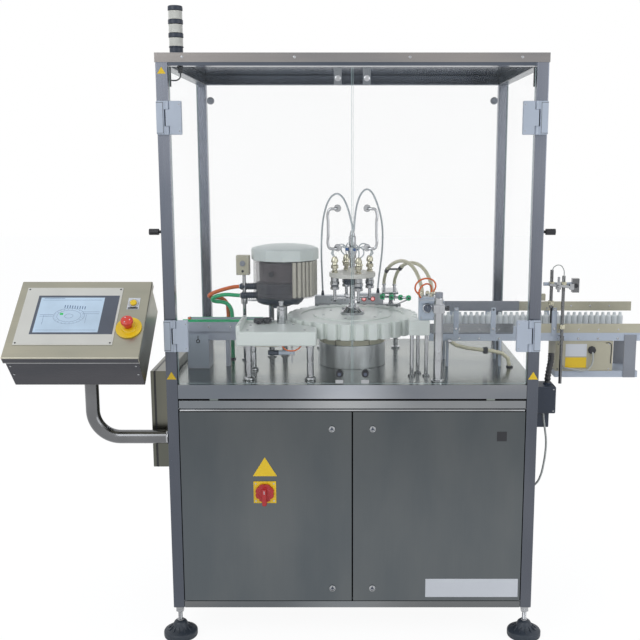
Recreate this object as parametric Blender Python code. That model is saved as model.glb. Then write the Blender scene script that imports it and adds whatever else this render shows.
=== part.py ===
"""Piston liquid filler: a guarded rotary filling machine on a stainless cabinet, in metres, +Z up.

The machine frame has X = 0 on the centre plane, Y = 0 on the front face of the posts and Z = 0 on the
floor. Every object hangs from one empty, which puts the middle of the overall footprint at the origin.
"""

import math

import bmesh
import bpy
from mathutils import Matrix, Vector

# Overall sizes of the welded frame
FRAME_WIDTH = 1.300
FRAME_DEPTH = 0.860
FRAME_TOP = 2.0687
TUBE = 0.040
POST_FOOT = 0.116
BASE_RAIL = 0.026
MID_RAIL = 0.030
MID_RAIL_SETBACK = 0.004
GAP = 0.0003  # between pieces that rest on each other
FACE_SETBACK = 0.001  # of table and panels behind the posts' outer faces

# Table and roof
TABLE_TOP = 0.948
TABLE_BAND = 0.050
TABLE_PLATE = 0.012
TABLE_SKIRT = 0.004
TABLE_LIFT = 0.007  # shadow gap between the table band and the middle rails
SPACER = 0.030
SPACER_X = 0.500
ROOF_SHEET = 0.0017
ROOF_RIM = 0.031

# Cabinet
PANEL_DEPTH = 0.020
PANEL_SHEET = 0.002
DOOR_CLEARANCE = 0.0025
DOOR_TOP_CLEARANCE = 0.010
DOOR_DEPTH = 0.020
DOOR_SHEET = 0.002
DOOR_AXIS_INSET = 0.004  # hinge axis from the door's two outer faces
PIVOT_RADIUS = 0.0032
LOCK_X = 0.072
LOCK_HEAD_RADIUS = 0.0125
LOCK_HEAD = 0.0047
LOCK_SHAFT_RADIUS = 0.006
LOCK_CLEARANCE = 0.0009
LOCK_FROM_DOOR_TOP = 0.062
LOCK_FROM_DOOR_FOOT = 0.048
LOCK_CAM = (0.012, 0.003, 0.028)
SWITCH_X = -0.311
SWITCH_Z = 0.557
SWITCH_PLATE = 0.080
SWITCH_PLATE_THICK = 0.003
SWITCH_RADIUS = 0.0335
SWITCH_BODY = 0.012
SWITCH_GRIP = (0.018, 0.018, 0.060)

# Levelling feet
FOOT_RADIUS = 0.0625
FOOT_RIM = 0.025
FOOT_CONE = 0.060
FOOT_SIDES = 16
SPINDLE_RADIUS = 0.008
NUT_RADIUS = 0.0155
NUT_HEIGHT = 0.021

# Guards
PANE = 0.005
PANE_SETBACK = 0.0015
GUARD_DOOR_SEAM = 0.0015
GUARD_DOOR_SIDE = 0.004
GUARD_DOOR_END = 0.0045
HINGE_AXIS_OUT = 0.002  # hinge axis outboard of the posts' inner faces
HINGE_AXIS_FRONT = 0.012
HINGE_THICK = 0.018
HINGE_HEIGHT = 0.110
HINGE_LOW_Z = 1.069
HINGE_HIGH_Z = 1.805
HINGE_BARREL_RADIUS = 0.0065
HINGE_WEB = 0.006
HINGE_BASE_NEAR = 0.010
HINGE_LEAF_NEAR = 0.0085
HINGE_LEAF_FAR = 0.047
HANDLE_X = 0.038
HANDLE_GRIP_X = 0.072
HANDLE_LOW_Z = 1.434
HANDLE_SPAN = 0.125
HANDLE_PROUD = 0.045
HANDLE_RADIUS = 0.0048
ROSETTE_RADIUS = 0.0125
ROSETTE = 0.004
STOP_X = 0.045
STOP_HEIGHT = 0.043  # of the door stop knobs above the table
STOP_RADIUS = 0.013
STOP_PROUD = 0.022
CATCH_X = 0.048
CATCH_WIDTH = 0.026
CATCH_HEIGHT = 0.057
CATCH_THICK = 0.005
SIDE_KNOB_Z = 1.478
SIDE_KNOB_IN = 0.012
SIDE_KNOB_RADIUS = 0.011
SIDE_KNOB_REACH = 0.050
CUTOUT_MARGIN = 0.030
CUTOUT_HEIGHT = 0.260

# Stack light, measured from the roof cover up
LIGHT_INSET = 0.061
LIGHT_Y = 0.060
LIGHT_RADIUS = 0.025
LIGHT_LENS_RADIUS = 0.0235
LIGHT_BASE = 0.0245
LIGHT_LENS = 0.029
LIGHT_RING = 0.0143
LIGHT_CAP = 0.0157

# Side enclosure
SIDE_BOX_Y = (0.060, 0.620)
SIDE_BOX_Z = (0.631, 0.984)
SIDE_BOX_DEPTH = 0.0545
SIDE_BOX_DOOR = 0.0122
SIDE_BOX_SEAM = 0.0008
SIDE_BOX_SHEET = 0.002

# Control panel on its arm
ARM_RADIUS = 0.02415
ARM_Y = 0.020
ARM_Z = 0.756
ARM_REACH = 0.265  # from the post's face to the vertical pipe
ARM_BEND = 0.095
ARM_TOP_Z = 1.060
HUB_RADIUS = 0.030
PANEL_WIDTH = 0.447
PANEL_LENGTH = 0.333
PANEL_THICK = 0.155
PANEL_LID = 0.028
PANEL_INSET = 0.006
PANEL_WALL = 0.003
PANEL_TILT = math.radians(40.7)
PANEL_CENTRE_X = 0.0035  # of the box from the pipe's axis
PANEL_CENTRE = (-0.1045, 1.2015)  # Y and Z of the middle of the sloped face
BEZEL = (-0.0385, -0.004, 0.323, 0.260)  # centre and size on the sloped face
BEZEL_THICK = 0.002
SCREEN = (-0.056, 0.0, 0.232, 0.180)
SCREEN_THICK = 0.002
ESTOP_AT = (0.173, -0.052)
ESTOP_PLATE_RADIUS = 0.043
ESTOP_PLATE = 0.006
ESTOP_HEAD_RADIUS = 0.020
ESTOP_HEAD = (0.0185, 0.034)
ESTOP_STEM_RADIUS = 0.012
BUTTON_AT = (0.173, 0.060)
BUTTON_RADIUS = 0.011
BUTTON_COLLAR = 0.018
BUTTON_HEAD = 0.009
BUTTON_CLEARANCE = 0.0008
COLLAR_RIM = 0.005

# Star wheel, turret and drum; heights are above the table
WHEEL_Y = 0.370
WHEEL_RADIUS = 0.250
WHEEL_LOW = 0.133
WHEEL_THICK = 0.059
WHEEL_LOBES = 30
GROOVE_WIDTH = 0.012
GROOVE_DEPTH = 0.015
SHAFT_RADIUS = 0.015
SHAFT_CLEARANCE = 0.0011
SHAFT_BELOW_TABLE = 0.060
DRUM_RADIUS = 0.127
DRUM_HEIGHT = 0.097
DRUM_NECK_RADIUS = 0.114
HUB_HEIGHT = 0.030
WHEEL_HUB_RADIUS = 0.045
COLUMN_RADIUS = 0.0105
COLUMN_TOP = 0.437
TURRET_PLATE = (0.326, 0.349)
TURRET_RADIUS = 0.087
HEADS = 4
HEAD_CIRCLE = 0.0705
HEAD_TURN = math.radians(19)
BARREL_RADIUS = 0.0145
BARREL_LOW = 0.288
FITTING_RADIUS = 0.010
FITTING_TOP = 0.420
PLUNGER_RADIUS = 0.006
PLUNGER_CLEARANCE = 0.0015
PLUNGER_LOW = 0.242
PLUNGER_ENGAGED = 0.006
PLUNGER_TRAVEL = 0.028
SPIDER = (0.2505, 0.2575)
SPIDER_CLEARANCE = 0.0009
UNION_RADIUS = 0.014
UNION_NECK_RADIUS = 0.0105
UNION_HEIGHT = 0.075
GEARBOX = (0.160, 0.160, 0.120)
MOTOR_RADIUS = 0.050
MOTOR_LENGTH = 0.200
MOTOR_FLANGE = 0.020

# Guide block left of the wheel
BLOCK_X = (-0.410, -0.127)
BLOCK_Y = (0.050, 0.2745)
BLOCK_Z = (0.127, 0.179)
BLOCK_WALL = 0.015
BLOCK_WALL_TOP = 0.202
BLOCK_CLEARANCE = 0.006
BLOCK_POST_RADIUS = 0.010
BLOCK_POST_FOOT = (0.020, 0.012)
BLOCK_POSTS = ((-0.370, 0.082), (-0.150, 0.082), (-0.370, 0.240))
BLOCK_KNOB = (-0.345, 0.215, 0.014, 0.020)
BLOCK_CYLINDER = (-0.272, 0.150, 0.013, 0.048)

# Bowl feeder
BOWL_AT = (-0.262, 0.450)
BOWL_SIDES = 12
BOWL_RADIUS = 0.125
BOWL_WALL = 0.004
BOWL_LOW = 0.250
BOWL_TOP = 0.394
BOWL_FLOOR = 0.004
BOWL_LID_RADIUS = 0.131
BOWL_LID = (0.046, 0.058)  # height of the lid's rim and of its crown
DRIVE_CLEARANCE = 0.0006
DRIVE_RADIUS = 0.095
DRIVE_Z = (0.221, 0.300)
BOWL_POST_RADIUS = 0.011
BOWL_POSTS = ((-0.320, 0.480), (-0.270, 0.505))
SENSOR_BOX = ((-0.447, -0.396), (0.400, 0.440), (0.337, 0.412))
SENSOR_POST = (-0.420, 0.425, 0.007)
SENSOR_ARM = ((-0.425, -0.345), (0.420, 0.430), (0.232, 0.240))
CABLE_RADIUS = 0.006
BOWL_CABLE_HIGH = (
    (-0.340, 0.445, 1.189), (-0.372, 0.444, 1.188), (-0.402, 0.441, 1.185), (-0.432, 0.438, 1.179),
    (-0.463, 0.435, 1.168), (-0.494, 0.432, 1.152), (-0.520, 0.430, 1.128), (-0.534, 0.430, 1.092),
    (-0.539, 0.430, 1.050), (-0.541, 0.430, 1.005), (-0.542, 0.430, 0.9505),
)
BOWL_CABLE_LOW = (
    (-0.335, 0.430, 1.176), (-0.366, 0.430, 1.174), (-0.396, 0.430, 1.168), (-0.418, 0.430, 1.154),
    (-0.432, 0.430, 1.128), (-0.437, 0.430, 1.095), (-0.438, 0.430, 1.050), (-0.438, 0.430, 1.005),
    (-0.438, 0.430, 0.9505),
)

# Dosing station right of the wheel
DOSING_BLOCK = ((0.203, 0.278), (0.120, 0.195), (0.153, 0.207))
DOSING_HOUSING = ((0.240, 0.298), (0.132, 0.188), (0.2065, 0.290))
DOSING_GAUGE_RADIUS = 0.017
DOSING_GAUGE = 0.010
DOSING_POSTS = ((0.215, 0.135), (0.240, 0.180), (0.268, 0.140))
DOSING_POST_RADIUS = 0.007
CYLINDER_AT = (0.302, 0.052)
PISTON_CLEARANCE = 0.001
CYLINDER_WALL = 0.0035
CYLINDER_TOP = 0.300
CLAMP = (0.020, 0.024, 0.030)
PISTON_RADIUS = 0.0115
PISTON_LOW = 0.180
PISTON_NECK = 0.006
PISTON_HEAD = (0.0145, 0.020)
LOOP_CENTRE = (0.262, 0.146, 1.262)
LOOP_RADIUS = 0.027
LOOP_CABLE_RADIUS = 0.003

# Filling station behind the wheel
STATION_Y = (0.640, 0.680)
STATION_BEAM = ((-0.155, 0.200), (0.176, 0.188))
STATION_BLOCKS = (((-0.155, -0.010), (0.188, 0.222)), ((0.020, 0.128), (0.188, 0.230)))
STATION_POSTS = (-0.130, 0.055, 0.180)
STATION_POST_RADIUS = 0.010
NOZZLE_ARM = ((0.119, 0.184), (0.535, 0.662), (0.243, 0.253))
NOZZLES = ((0.128, 0.570), (0.169, 0.552))
NOZZLE_RADIUS = 0.006
NOZZLE_Z = (0.215, 0.275)
ARM_RISER = (0.160, 0.660, 0.009)
VALVE_BAR_Z = 0.237
VALVES = ((0.120, 0.512), (0.156, 0.500), (0.191, 0.488), (0.222, 0.476))
VALVE_RADIUS = 0.009
VALVE_BAR_RADIUS = 0.005

# Right conveyor; the belt runs along X
CONVEYOR_Y = (0.300, 0.440)
CONVEYOR_START = 0.290
CONVEYOR_OUT = 0.440  # beyond the frame
BEAM_THICK = 0.010
BEAM_Z = (0.099, 0.127)
BELT_TOP = 0.137
BELT_RADIUS = 0.019
BELT_THICK = 0.003
BELT_INSET = 0.0015
BELT_END = 0.025
ROLLER_CLEARANCE = 0.0009
BED_INSET = 0.060
NEAR_RAIL = (0.130, 0.155)
FAR_RAIL = (0.193, 0.229)
RAIL_THICK = 0.004
BRACKET_X = (0.3914, 0.5312)
BRACKET_OUT = 0.1115  # of the outer bracket beyond the frame
BRACKET_WIDTH = 0.019
BRACKET_THICK = 0.004
BRACKET_Z = (0.120, 0.214)
FAR_BRACKET_OUT = 0.004
LEG_RADIUS = 0.006
LEG_X = (0.360, 0.560)
END_PLATE = (0.015, 0.060, 0.045)  # from the end, width, and how far it hangs under the beam
LOWER_BEAM = (0.024, 0.320)
LOWER_BEAM_DROP = 0.117
MAST_OUT = 0.137  # beyond the frame, as are the block, the short mast and the drive box below
MAST_Y = 0.278
MAST_RADIUS = 0.0063
MAST_DROP = 0.061
MAST_TOP = 0.350
MAST_ARM_Z = 0.319
MAST_BLOCK = ((0.168, 0.193), (0.266, 0.290), (0.288, 0.340))
SHORT_MAST_OUT = 0.092
SHORT_MAST_Z = (0.230, 0.372)
MAST_ARM_TAIL = 0.030
MAST_FOOT_WIDTH = 0.020
DRIVE_BOX_OUT = (0.121, 0.339)
DRIVE_BOX_Y = (0.302, 0.430)
DRIVE_CABLE_RADIUS = 0.004
DRIVE_CABLE = (  # X from the frame's outer face, in these three routes
    (0.258, 0.306, 1.012), (0.258, 0.293, 1.011), (0.260, 0.287, 0.998), (0.261, 0.286, 0.976),
    (0.256, 0.286, 0.955), (0.243, 0.286, 0.938), (0.222, 0.286, 0.9345), (0.198, 0.287, 0.937),
    (0.175, 0.288, 0.9415), (0.150, 0.296, 0.9425), (0.140, 0.308, 0.9425),
)
BOTTLE_RADIUS = 0.011
BOTTLE_BODY = 0.040
BOTTLE_HEIGHT = 0.061
BOTTLE_NECK_RADIUS = 0.0055
BOTTLE_TIE = 0.003
BOTTLE_START = 0.325

# Junction box outside the right panel
JUNCTION = (0.100, (0.100, 0.200), (0.815, 0.917))
JUNCTION_FOOT_Z = 0.760
CONDUIT_RADIUS = 0.012
CONDUIT_ROUTE = (
    (0.062, 0.150, 0.905), (0.063, 0.152, 0.940), (0.069, 0.160, 0.970), (0.077, 0.172, 0.998),
    (0.080, 0.186, 1.020),
)
JUNCTION_CABLE_RADIUS = 0.004
JUNCTION_CABLE = (
    (0.044, 0.120, 0.820), (0.047, 0.119, 0.790), (0.053, 0.118, 0.752), (0.058, 0.117, 0.710),
    (0.057, 0.117, 0.665), (0.052, 0.119, 0.620), (0.044, 0.122, 0.578), (0.030, 0.128, 0.545),
    (0.014, 0.134, 0.531), (-0.0002, 0.134, 0.530),
)

# Left outfeed conveyor
OUTFEED_Y = (0.292, 0.408)
OUTFEED_END = 0.0285  # inside the posts' inner face
OUTFEED_RIGHT = -0.345
OUTFEED_BODY = (0.102, 0.137)
OUTFEED_PROFILE = (0.137, 0.173)
OUTFEED_STRIP = (0.173, 0.182)
OUTFEED_BOX = (0.082, 0.020, 0.100)  # width, distance from the end, and depth
OUTFEED_BOX_PROUD = 0.030
OUTFEED_LEG = (-0.480, 0.015)

# Hoses
AIR_HOSE_RADIUS = 0.0038
AIR_HOSE_LEFT = (
    (0.004, 0.370, 1.446), (0.001, 0.376, 1.470), (-0.006, 0.388, 1.500), (-0.013, 0.402, 1.527),
    (-0.024, 0.420, 1.557), (-0.038, 0.440, 1.581), (-0.056, 0.457, 1.593), (-0.075, 0.475, 1.587),
    (-0.092, 0.496, 1.566), (-0.105, 0.517, 1.534), (-0.115, 0.540, 1.492), (-0.121, 0.563, 1.443),
    (-0.124, 0.585, 1.390), (-0.125, 0.605, 1.335), (-0.124, 0.625, 1.275), (-0.123, 0.640, 1.225),
    (-0.122, 0.650, 1.190), (-0.122, 0.650, 1.1707),
)
AIR_HOSE_RIGHT = (
    (0.004, 0.370, 1.446), (0.007, 0.376, 1.470), (0.010, 0.390, 1.505), (0.015, 0.408, 1.540),
    (0.024, 0.428, 1.573), (0.038, 0.448, 1.599), (0.056, 0.468, 1.610), (0.074, 0.489, 1.600),
    (0.089, 0.510, 1.574), (0.102, 0.531, 1.540), (0.113, 0.550, 1.500), (0.120, 0.570, 1.455),
    (0.122, 0.590, 1.405), (0.120, 0.612, 1.350), (0.115, 0.634, 1.295), (0.109, 0.652, 1.240),
    (0.106, 0.661, 1.200), (0.106, 0.661, 1.1790),
)
PRODUCT_HOSE_RADIUS = 0.007
PRODUCT_HOSE_FRONT = (
    (0.128, 0.570, 1.2235), (0.128, 0.569, 1.238), (0.130, 0.538, 1.262), (0.134, 0.505, 1.286),
    (0.143, 0.470, 1.308), (0.156, 0.432, 1.325), (0.172, 0.394, 1.338), (0.192, 0.352, 1.345),
    (0.212, 0.310, 1.340), (0.228, 0.272, 1.326), (0.240, 0.236, 1.305), (0.248, 0.202, 1.280),
    (0.252, 0.176, 1.255), (0.252, 0.176, 1.2387),
)
PRODUCT_HOSE_REAR = (
    (0.169, 0.552, 1.2235), (0.169, 0.551, 1.238), (0.173, 0.520, 1.266), (0.180, 0.488, 1.290),
    (0.192, 0.452, 1.312), (0.208, 0.412, 1.328), (0.228, 0.370, 1.336), (0.249, 0.328, 1.334),
    (0.266, 0.288, 1.322), (0.278, 0.250, 1.304), (0.286, 0.215, 1.282), (0.288, 0.176, 1.255),
    (0.288, 0.176, 1.2387),
)
HOSE_CLIP = ((0.126, 0.182), (0.466, 0.480), (1.288, 1.322))

# Worked out from the sizes above
HALF_WIDTH = FRAME_WIDTH / 2
INNER_X = HALF_WIDTH - TUBE
INNER_BACK = FRAME_DEPTH - TUBE
BASE_TOP = POST_FOOT + BASE_RAIL
MID_TOP = TABLE_TOP - TABLE_BAND - TABLE_LIFT
MID_LOW = MID_TOP - MID_RAIL
ROOF_TOP = FRAME_TOP + GAP + ROOF_SHEET
WHEEL_AT = Vector((0, WHEEL_Y, 0))
WHEEL_TOP = TABLE_TOP + WHEEL_LOW + WHEEL_THICK
DOOR_LOW = BASE_TOP + 0.002
DOOR_HIGH = MID_LOW - DOOR_TOP_CLEARANCE
DOOR_OUTER_X = INNER_X - DOOR_CLEARANCE
DOOR_AXIS_X = DOOR_OUTER_X - DOOR_AXIS_INSET
PANE_LOW = TABLE_TOP + GUARD_DOOR_END
PANE_HIGH = FRAME_TOP - TUBE - GUARD_DOOR_END
HINGE_X = INNER_X + HINGE_AXIS_OUT
ARM_X = -HALF_WIDTH - ARM_REACH
PANEL_MID_X = ARM_X + PANEL_CENTRE_X
CONVEYOR_END = HALF_WIDTH + CONVEYOR_OUT
SIDE_BOX_INNER = -HALF_WIDTH + FACE_SETBACK - GAP
FOOTPRINT_X = (PANEL_MID_X - PANEL_WIDTH / 2, CONVEYOR_END)
FOOTPRINT_Y = (
    PANEL_CENTRE[0] - PANEL_LENGTH / 2 * math.cos(PANEL_TILT),
    FRAME_DEPTH - TUBE / 2 + FOOT_RADIUS * math.cos(math.pi / FOOT_SIDES),
)
ORIGIN = Vector((-sum(FOOTPRINT_X) / 2, -sum(FOOTPRINT_Y) / 2, 0))

MATERIALS = {
    "brushed_stainless": ((0.52, 0.52, 0.50), 0.35, 1.0),
    "dark_stainless": ((0.38, 0.38, 0.36), 0.38, 1.0),
    "polished_steel": ((0.75, 0.75, 0.74), 0.15, 1.0),
    "clear_guard": ((0.86, 0.90, 0.90), 0.08, 0.0),
    "white_plastic": ((0.80, 0.81, 0.77), 0.45, 0.0),
    "black_plastic": ((0.03, 0.03, 0.04), 0.45, 0.0),
    "grey_plastic": ((0.55, 0.59, 0.66), 0.45, 0.0),
    "blue_black": ((0.05, 0.06, 0.08), 0.50, 0.0),
    "beige_paint": ((0.62, 0.60, 0.54), 0.45, 0.0),
    "red_plastic": ((0.65, 0.05, 0.04), 0.35, 0.0),
    "yellow_plastic": ((0.85, 0.65, 0.08), 0.40, 0.0),
    "hose": ((0.76, 0.73, 0.62), 0.40, 0.0),
}


def material(name):
    """The named finish, made the first time it is asked for."""
    found = bpy.data.materials.get(name)
    if found:
        return found
    colour, roughness, metallic = MATERIALS[name]
    made = bpy.data.materials.new(name)
    made.use_nodes = True
    shader = made.node_tree.nodes["Principled BSDF"]
    shader.inputs["Base Color"].default_value = (*colour, 1)
    shader.inputs["Roughness"].default_value = roughness
    shader.inputs["Metallic"].default_value = metallic
    return made


def box(x, y, z):
    """A box between the given low and high values along each axis."""
    shape = bmesh.new()
    size = Vector((x[1] - x[0], y[1] - y[0], z[1] - z[0]))
    centre = Vector((x[0] + x[1], y[0] + y[1], z[0] + z[1])) / 2
    bmesh.ops.create_cube(shape, size=1, matrix=Matrix.Translation(centre) @ Matrix.Diagonal((*size, 1)))
    return shape


def across(half):
    """The range from minus to plus a half width."""
    return (-half, half)


def above(low, high):
    """A height range measured from the table top."""
    return (TABLE_TOP + low, TABLE_TOP + high)


def turned(profile, centre, sides=16):
    """A solid of revolution about a vertical axis; the profile runs upwards as (radius, height) pairs."""
    shape = bmesh.new()
    rings = []
    for radius, height in profile:
        turns = [2 * math.pi * (side + 0.5) / sides for side in range(sides)]
        rings.append([
            shape.verts.new((
                centre[0] + radius * math.cos(turn), centre[1] + radius * math.sin(turn), height
            ))
            for turn in turns
        ])
    for low, high in zip(rings, rings[1:]):
        for side in range(sides):
            following = (side + 1) % sides
            shape.faces.new((low[side], low[following], high[following], high[side]))
    shape.faces.new(list(reversed(rings[0])))
    shape.faces.new(rings[-1])
    return shape


def rod(start, end, radius, sides=12, end_radius=None):
    """A round bar between two points, tapered when it has an end radius."""
    start = Vector(start)
    end = Vector(end)
    shape = bmesh.new()
    turn = (end - start).to_track_quat("Z", "Y").to_matrix().to_4x4()
    spin = Matrix.Rotation(math.pi / sides, 4, "Z")
    bmesh.ops.create_cone(
        shape, cap_ends=True, segments=sides, radius1=radius,
        radius2=radius if end_radius is None else end_radius, depth=(end - start).length,
        matrix=Matrix.Translation((start + end) / 2) @ turn @ spin,
    )
    return shape


def post(at, low, high, radius, sides=12):
    """A vertical round bar."""
    return rod((*at, low), (*at, high), radius, sides)


def prism(outline, z):
    """An upright block with the given outline, anticlockwise seen from above."""
    shape = bmesh.new()
    low = [shape.verts.new((*point, z[0])) for point in outline]
    high = [shape.verts.new((*point, z[1])) for point in outline]
    shape.faces.new(list(reversed(low)))
    shape.faces.new(high)
    count = len(outline)
    for index in range(count):
        following = (index + 1) % count
        shape.faces.new((low[index], low[following], high[following], high[index]))
    return shape


def pipe(points, radius, sides=8):
    """A round tube solid that follows the points."""
    points = [Vector(point) for point in points]
    shape = bmesh.new()
    rings = []
    heading = (points[1] - points[0]).normalized()
    turn = heading.to_track_quat("Z", "Y")
    for index, point in enumerate(points):
        before = points[max(index - 1, 0)]
        after = points[min(index + 1, len(points) - 1)]
        following = (after - before).normalized()
        turn = heading.rotation_difference(following) @ turn
        heading = following
        rings.append([
            shape.verts.new(
                point + turn @ Vector((
                    radius * math.cos(2 * math.pi * side / sides),
                    radius * math.sin(2 * math.pi * side / sides), 0,
                ))
            )
            for side in range(sides)
        ])
    for low, high in zip(rings, rings[1:]):
        for side in range(sides):
            other = (side + 1) % sides
            shape.faces.new((low[side], low[other], high[other], high[side]))
    shape.faces.new(list(reversed(rings[0])))
    shape.faces.new(rings[-1])
    return shape


def arc_points(centre, start, end, turns):
    """Points on a quarter bend from start round centre to end."""
    first = Vector(start) - Vector(centre)
    last = Vector(end) - Vector(centre)
    return [
        Vector(centre) + first * math.cos(math.pi / 2 * step / turns)
        + last * math.sin(math.pi / 2 * step / turns)
        for step in range(turns + 1)
    ]


def helper(shape):
    """A scratch object that holds one shape."""
    mesh = bpy.data.meshes.new("scratch")
    bmesh.ops.recalc_face_normals(shape, faces=shape.faces)
    shape.to_mesh(mesh)
    shape.free()
    made = bpy.data.objects.new("scratch", mesh)
    return made


def combine(shapes, operation):
    """One shape from the first and the rest, joined to it (UNION) or cut from it (DIFFERENCE)."""
    if len(shapes) == 1:
        return shapes[0]
    base = helper(shapes[0])
    others = bpy.data.collections.new("operands")
    bpy.context.scene.collection.children.link(others)
    bpy.context.scene.collection.objects.link(base)
    for shape in shapes[1:]:
        others.objects.link(helper(shape))
    modifier = base.modifiers.new("Combine", "BOOLEAN")
    modifier.operation = operation
    modifier.operand_type = "COLLECTION"
    modifier.collection = others
    modifier.solver = "EXACT"
    graph = bpy.context.evaluated_depsgraph_get()
    result = bmesh.new()
    result.from_mesh(bpy.data.meshes.new_from_object(base.evaluated_get(graph)))
    for leftover in [base, *others.objects]:
        bpy.data.objects.remove(leftover, do_unlink=True)
    bpy.data.collections.remove(others)
    return result


def fuse(*shapes):
    """One shape that holds all the given ones."""
    return combine(list(shapes), "UNION")


def cut(shape, *tools):
    """The first shape with the others cut away."""
    return combine([shape, *tools], "DIFFERENCE")


def tray(x, y, z, wall, open_side):
    """A sheet-metal box without its side at open_side, one of -x, +x, -y, +y, -z, +z."""
    spans = [list(span) for span in (x, y, z)]
    inner = [[span[0] + wall, span[1] - wall] for span in spans]
    axis = "xyz".index(open_side[1])
    end = 1 if open_side[0] == "+" else 0
    inner[axis][end] = spans[axis][end] + (wall if end else -wall)
    return cut(box(*spans), box(*inner))


def tilted(shape):
    """A shape drawn on the control panel's sloped face, put at its place."""
    place = Matrix.Translation((PANEL_MID_X, *PANEL_CENTRE)) @ Matrix.Rotation(PANEL_TILT, 4, "X")
    bmesh.ops.transform(shape, matrix=place, verts=shape.verts)
    return shape


def beyond_frame(route):
    """The points of a route drawn from the frame's right outer face, in the machine frame."""
    return [Vector(point) + Vector((HALF_WIDTH, 0, 0)) for point in route]


def on_panel(at, height=0.0):
    """A point on the control panel's sloped face, in the machine frame."""
    turn = Matrix.Rotation(PANEL_TILT, 4, "X")
    return Vector((PANEL_MID_X, *PANEL_CENTRE)) + turn @ Vector((*at, height))


def node(name, shape, finish, origin=(0, 0, 0), parent=None):
    """A finished object with its origin at the given point of the machine frame."""
    origin = Vector(origin)
    mesh = bpy.data.meshes.new(name)
    bmesh.ops.recalc_face_normals(shape, faces=shape.faces)
    bmesh.ops.translate(shape, vec=-origin, verts=shape.verts)
    shape.to_mesh(mesh)
    shape.free()
    mesh.shade_smooth()
    mesh.set_sharp_from_angle(angle=math.radians(35))
    mesh.materials.clear()
    mesh.materials.append(material(finish))
    made = bpy.data.objects.new(name, mesh)
    made["origin"] = tuple(origin)
    made.parent = parent or bpy.data.objects["machine"]
    made.location = origin - (Vector(parent["origin"]) if parent else Vector())
    bpy.context.scene.collection.objects.link(made)
    return made


def build_frame():
    """Posts and rails, welded into one frame."""
    half_tube = TUBE / 2
    shapes = []
    for x in (-HALF_WIDTH, INNER_X):
        for y in (0, INNER_BACK):
            shapes.append(box((x, x + TUBE), (y, y + TUBE), (POST_FOOT, FRAME_TOP)))
    levels = (
        (POST_FOOT, BASE_TOP, 0, TUBE),
        (MID_LOW, MID_TOP, MID_RAIL_SETBACK, MID_RAIL),
        (FRAME_TOP - TUBE, FRAME_TOP, 0, TUBE),
    )
    for low, high, setback, depth in levels:
        for y in (setback, FRAME_DEPTH - setback - depth):
            shapes.append(box(across(HALF_WIDTH - half_tube), (y, y + depth), (low, high)))
        for x in (-HALF_WIDTH + setback, HALF_WIDTH - setback - depth):
            shapes.append(box((x, x + depth), (half_tube, FRAME_DEPTH - half_tube), (low, high)))
    node("frame", fuse(*shapes), "brushed_stainless")


def build_roof_and_table():
    """The roof cover over the top rails, and the table pan between the posts."""
    fit = HALF_WIDTH + GAP
    outer = fit + ROOF_SHEET
    cover = cut(
        box(across(outer), (-GAP - ROOF_SHEET, FRAME_DEPTH + GAP + ROOF_SHEET), (ROOF_TOP - ROOF_RIM, ROOF_TOP)),
        box(across(fit), (-GAP, FRAME_DEPTH + GAP), (ROOF_TOP - 2 * ROOF_RIM, FRAME_TOP + GAP)),
    )
    node("roof_cover", cover, "brushed_stainless")
    back = FRAME_DEPTH - FACE_SETBACK
    side = HALF_WIDTH - FACE_SETBACK
    plate = box(across(side), (FACE_SETBACK, back), above(-TABLE_PLATE, 0))
    skirt_z = above(-TABLE_BAND, -TABLE_PLATE / 2)
    skirts = []
    for y in (FACE_SETBACK, back - TABLE_SKIRT):
        skirts.append(box(across(INNER_X - GAP), (y, y + TABLE_SKIRT), skirt_z))
    for x in (-side, side - TABLE_SKIRT):
        skirts.append(box((x, x + TABLE_SKIRT), (TUBE + GAP, INNER_BACK - GAP), skirt_z))
    for x in (-SPACER_X, SPACER_X - SPACER):
        for y in (MID_RAIL_SETBACK, FRAME_DEPTH - MID_RAIL_SETBACK - MID_RAIL):
            skirts.append(box((x, x + SPACER), (y, y + MID_RAIL), (MID_TOP + GAP, TABLE_TOP - TABLE_PLATE / 2)))
    notches = []
    for x in ((-HALF_WIDTH, -INNER_X + GAP), (INNER_X - GAP, HALF_WIDTH)):
        for y in ((0, TUBE + GAP), (INNER_BACK - GAP, FRAME_DEPTH)):
            notches.append(box(x, y, above(-2 * TABLE_BAND, TABLE_BAND)))
    shaft_hole = post((0, WHEEL_Y), TABLE_TOP - TABLE_BAND, TABLE_TOP + TABLE_BAND, SHAFT_RADIUS + SHAFT_CLEARANCE, 16)
    node("table_top", cut(fuse(plate, *skirts), shaft_hole, *notches), "brushed_stainless")


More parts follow.
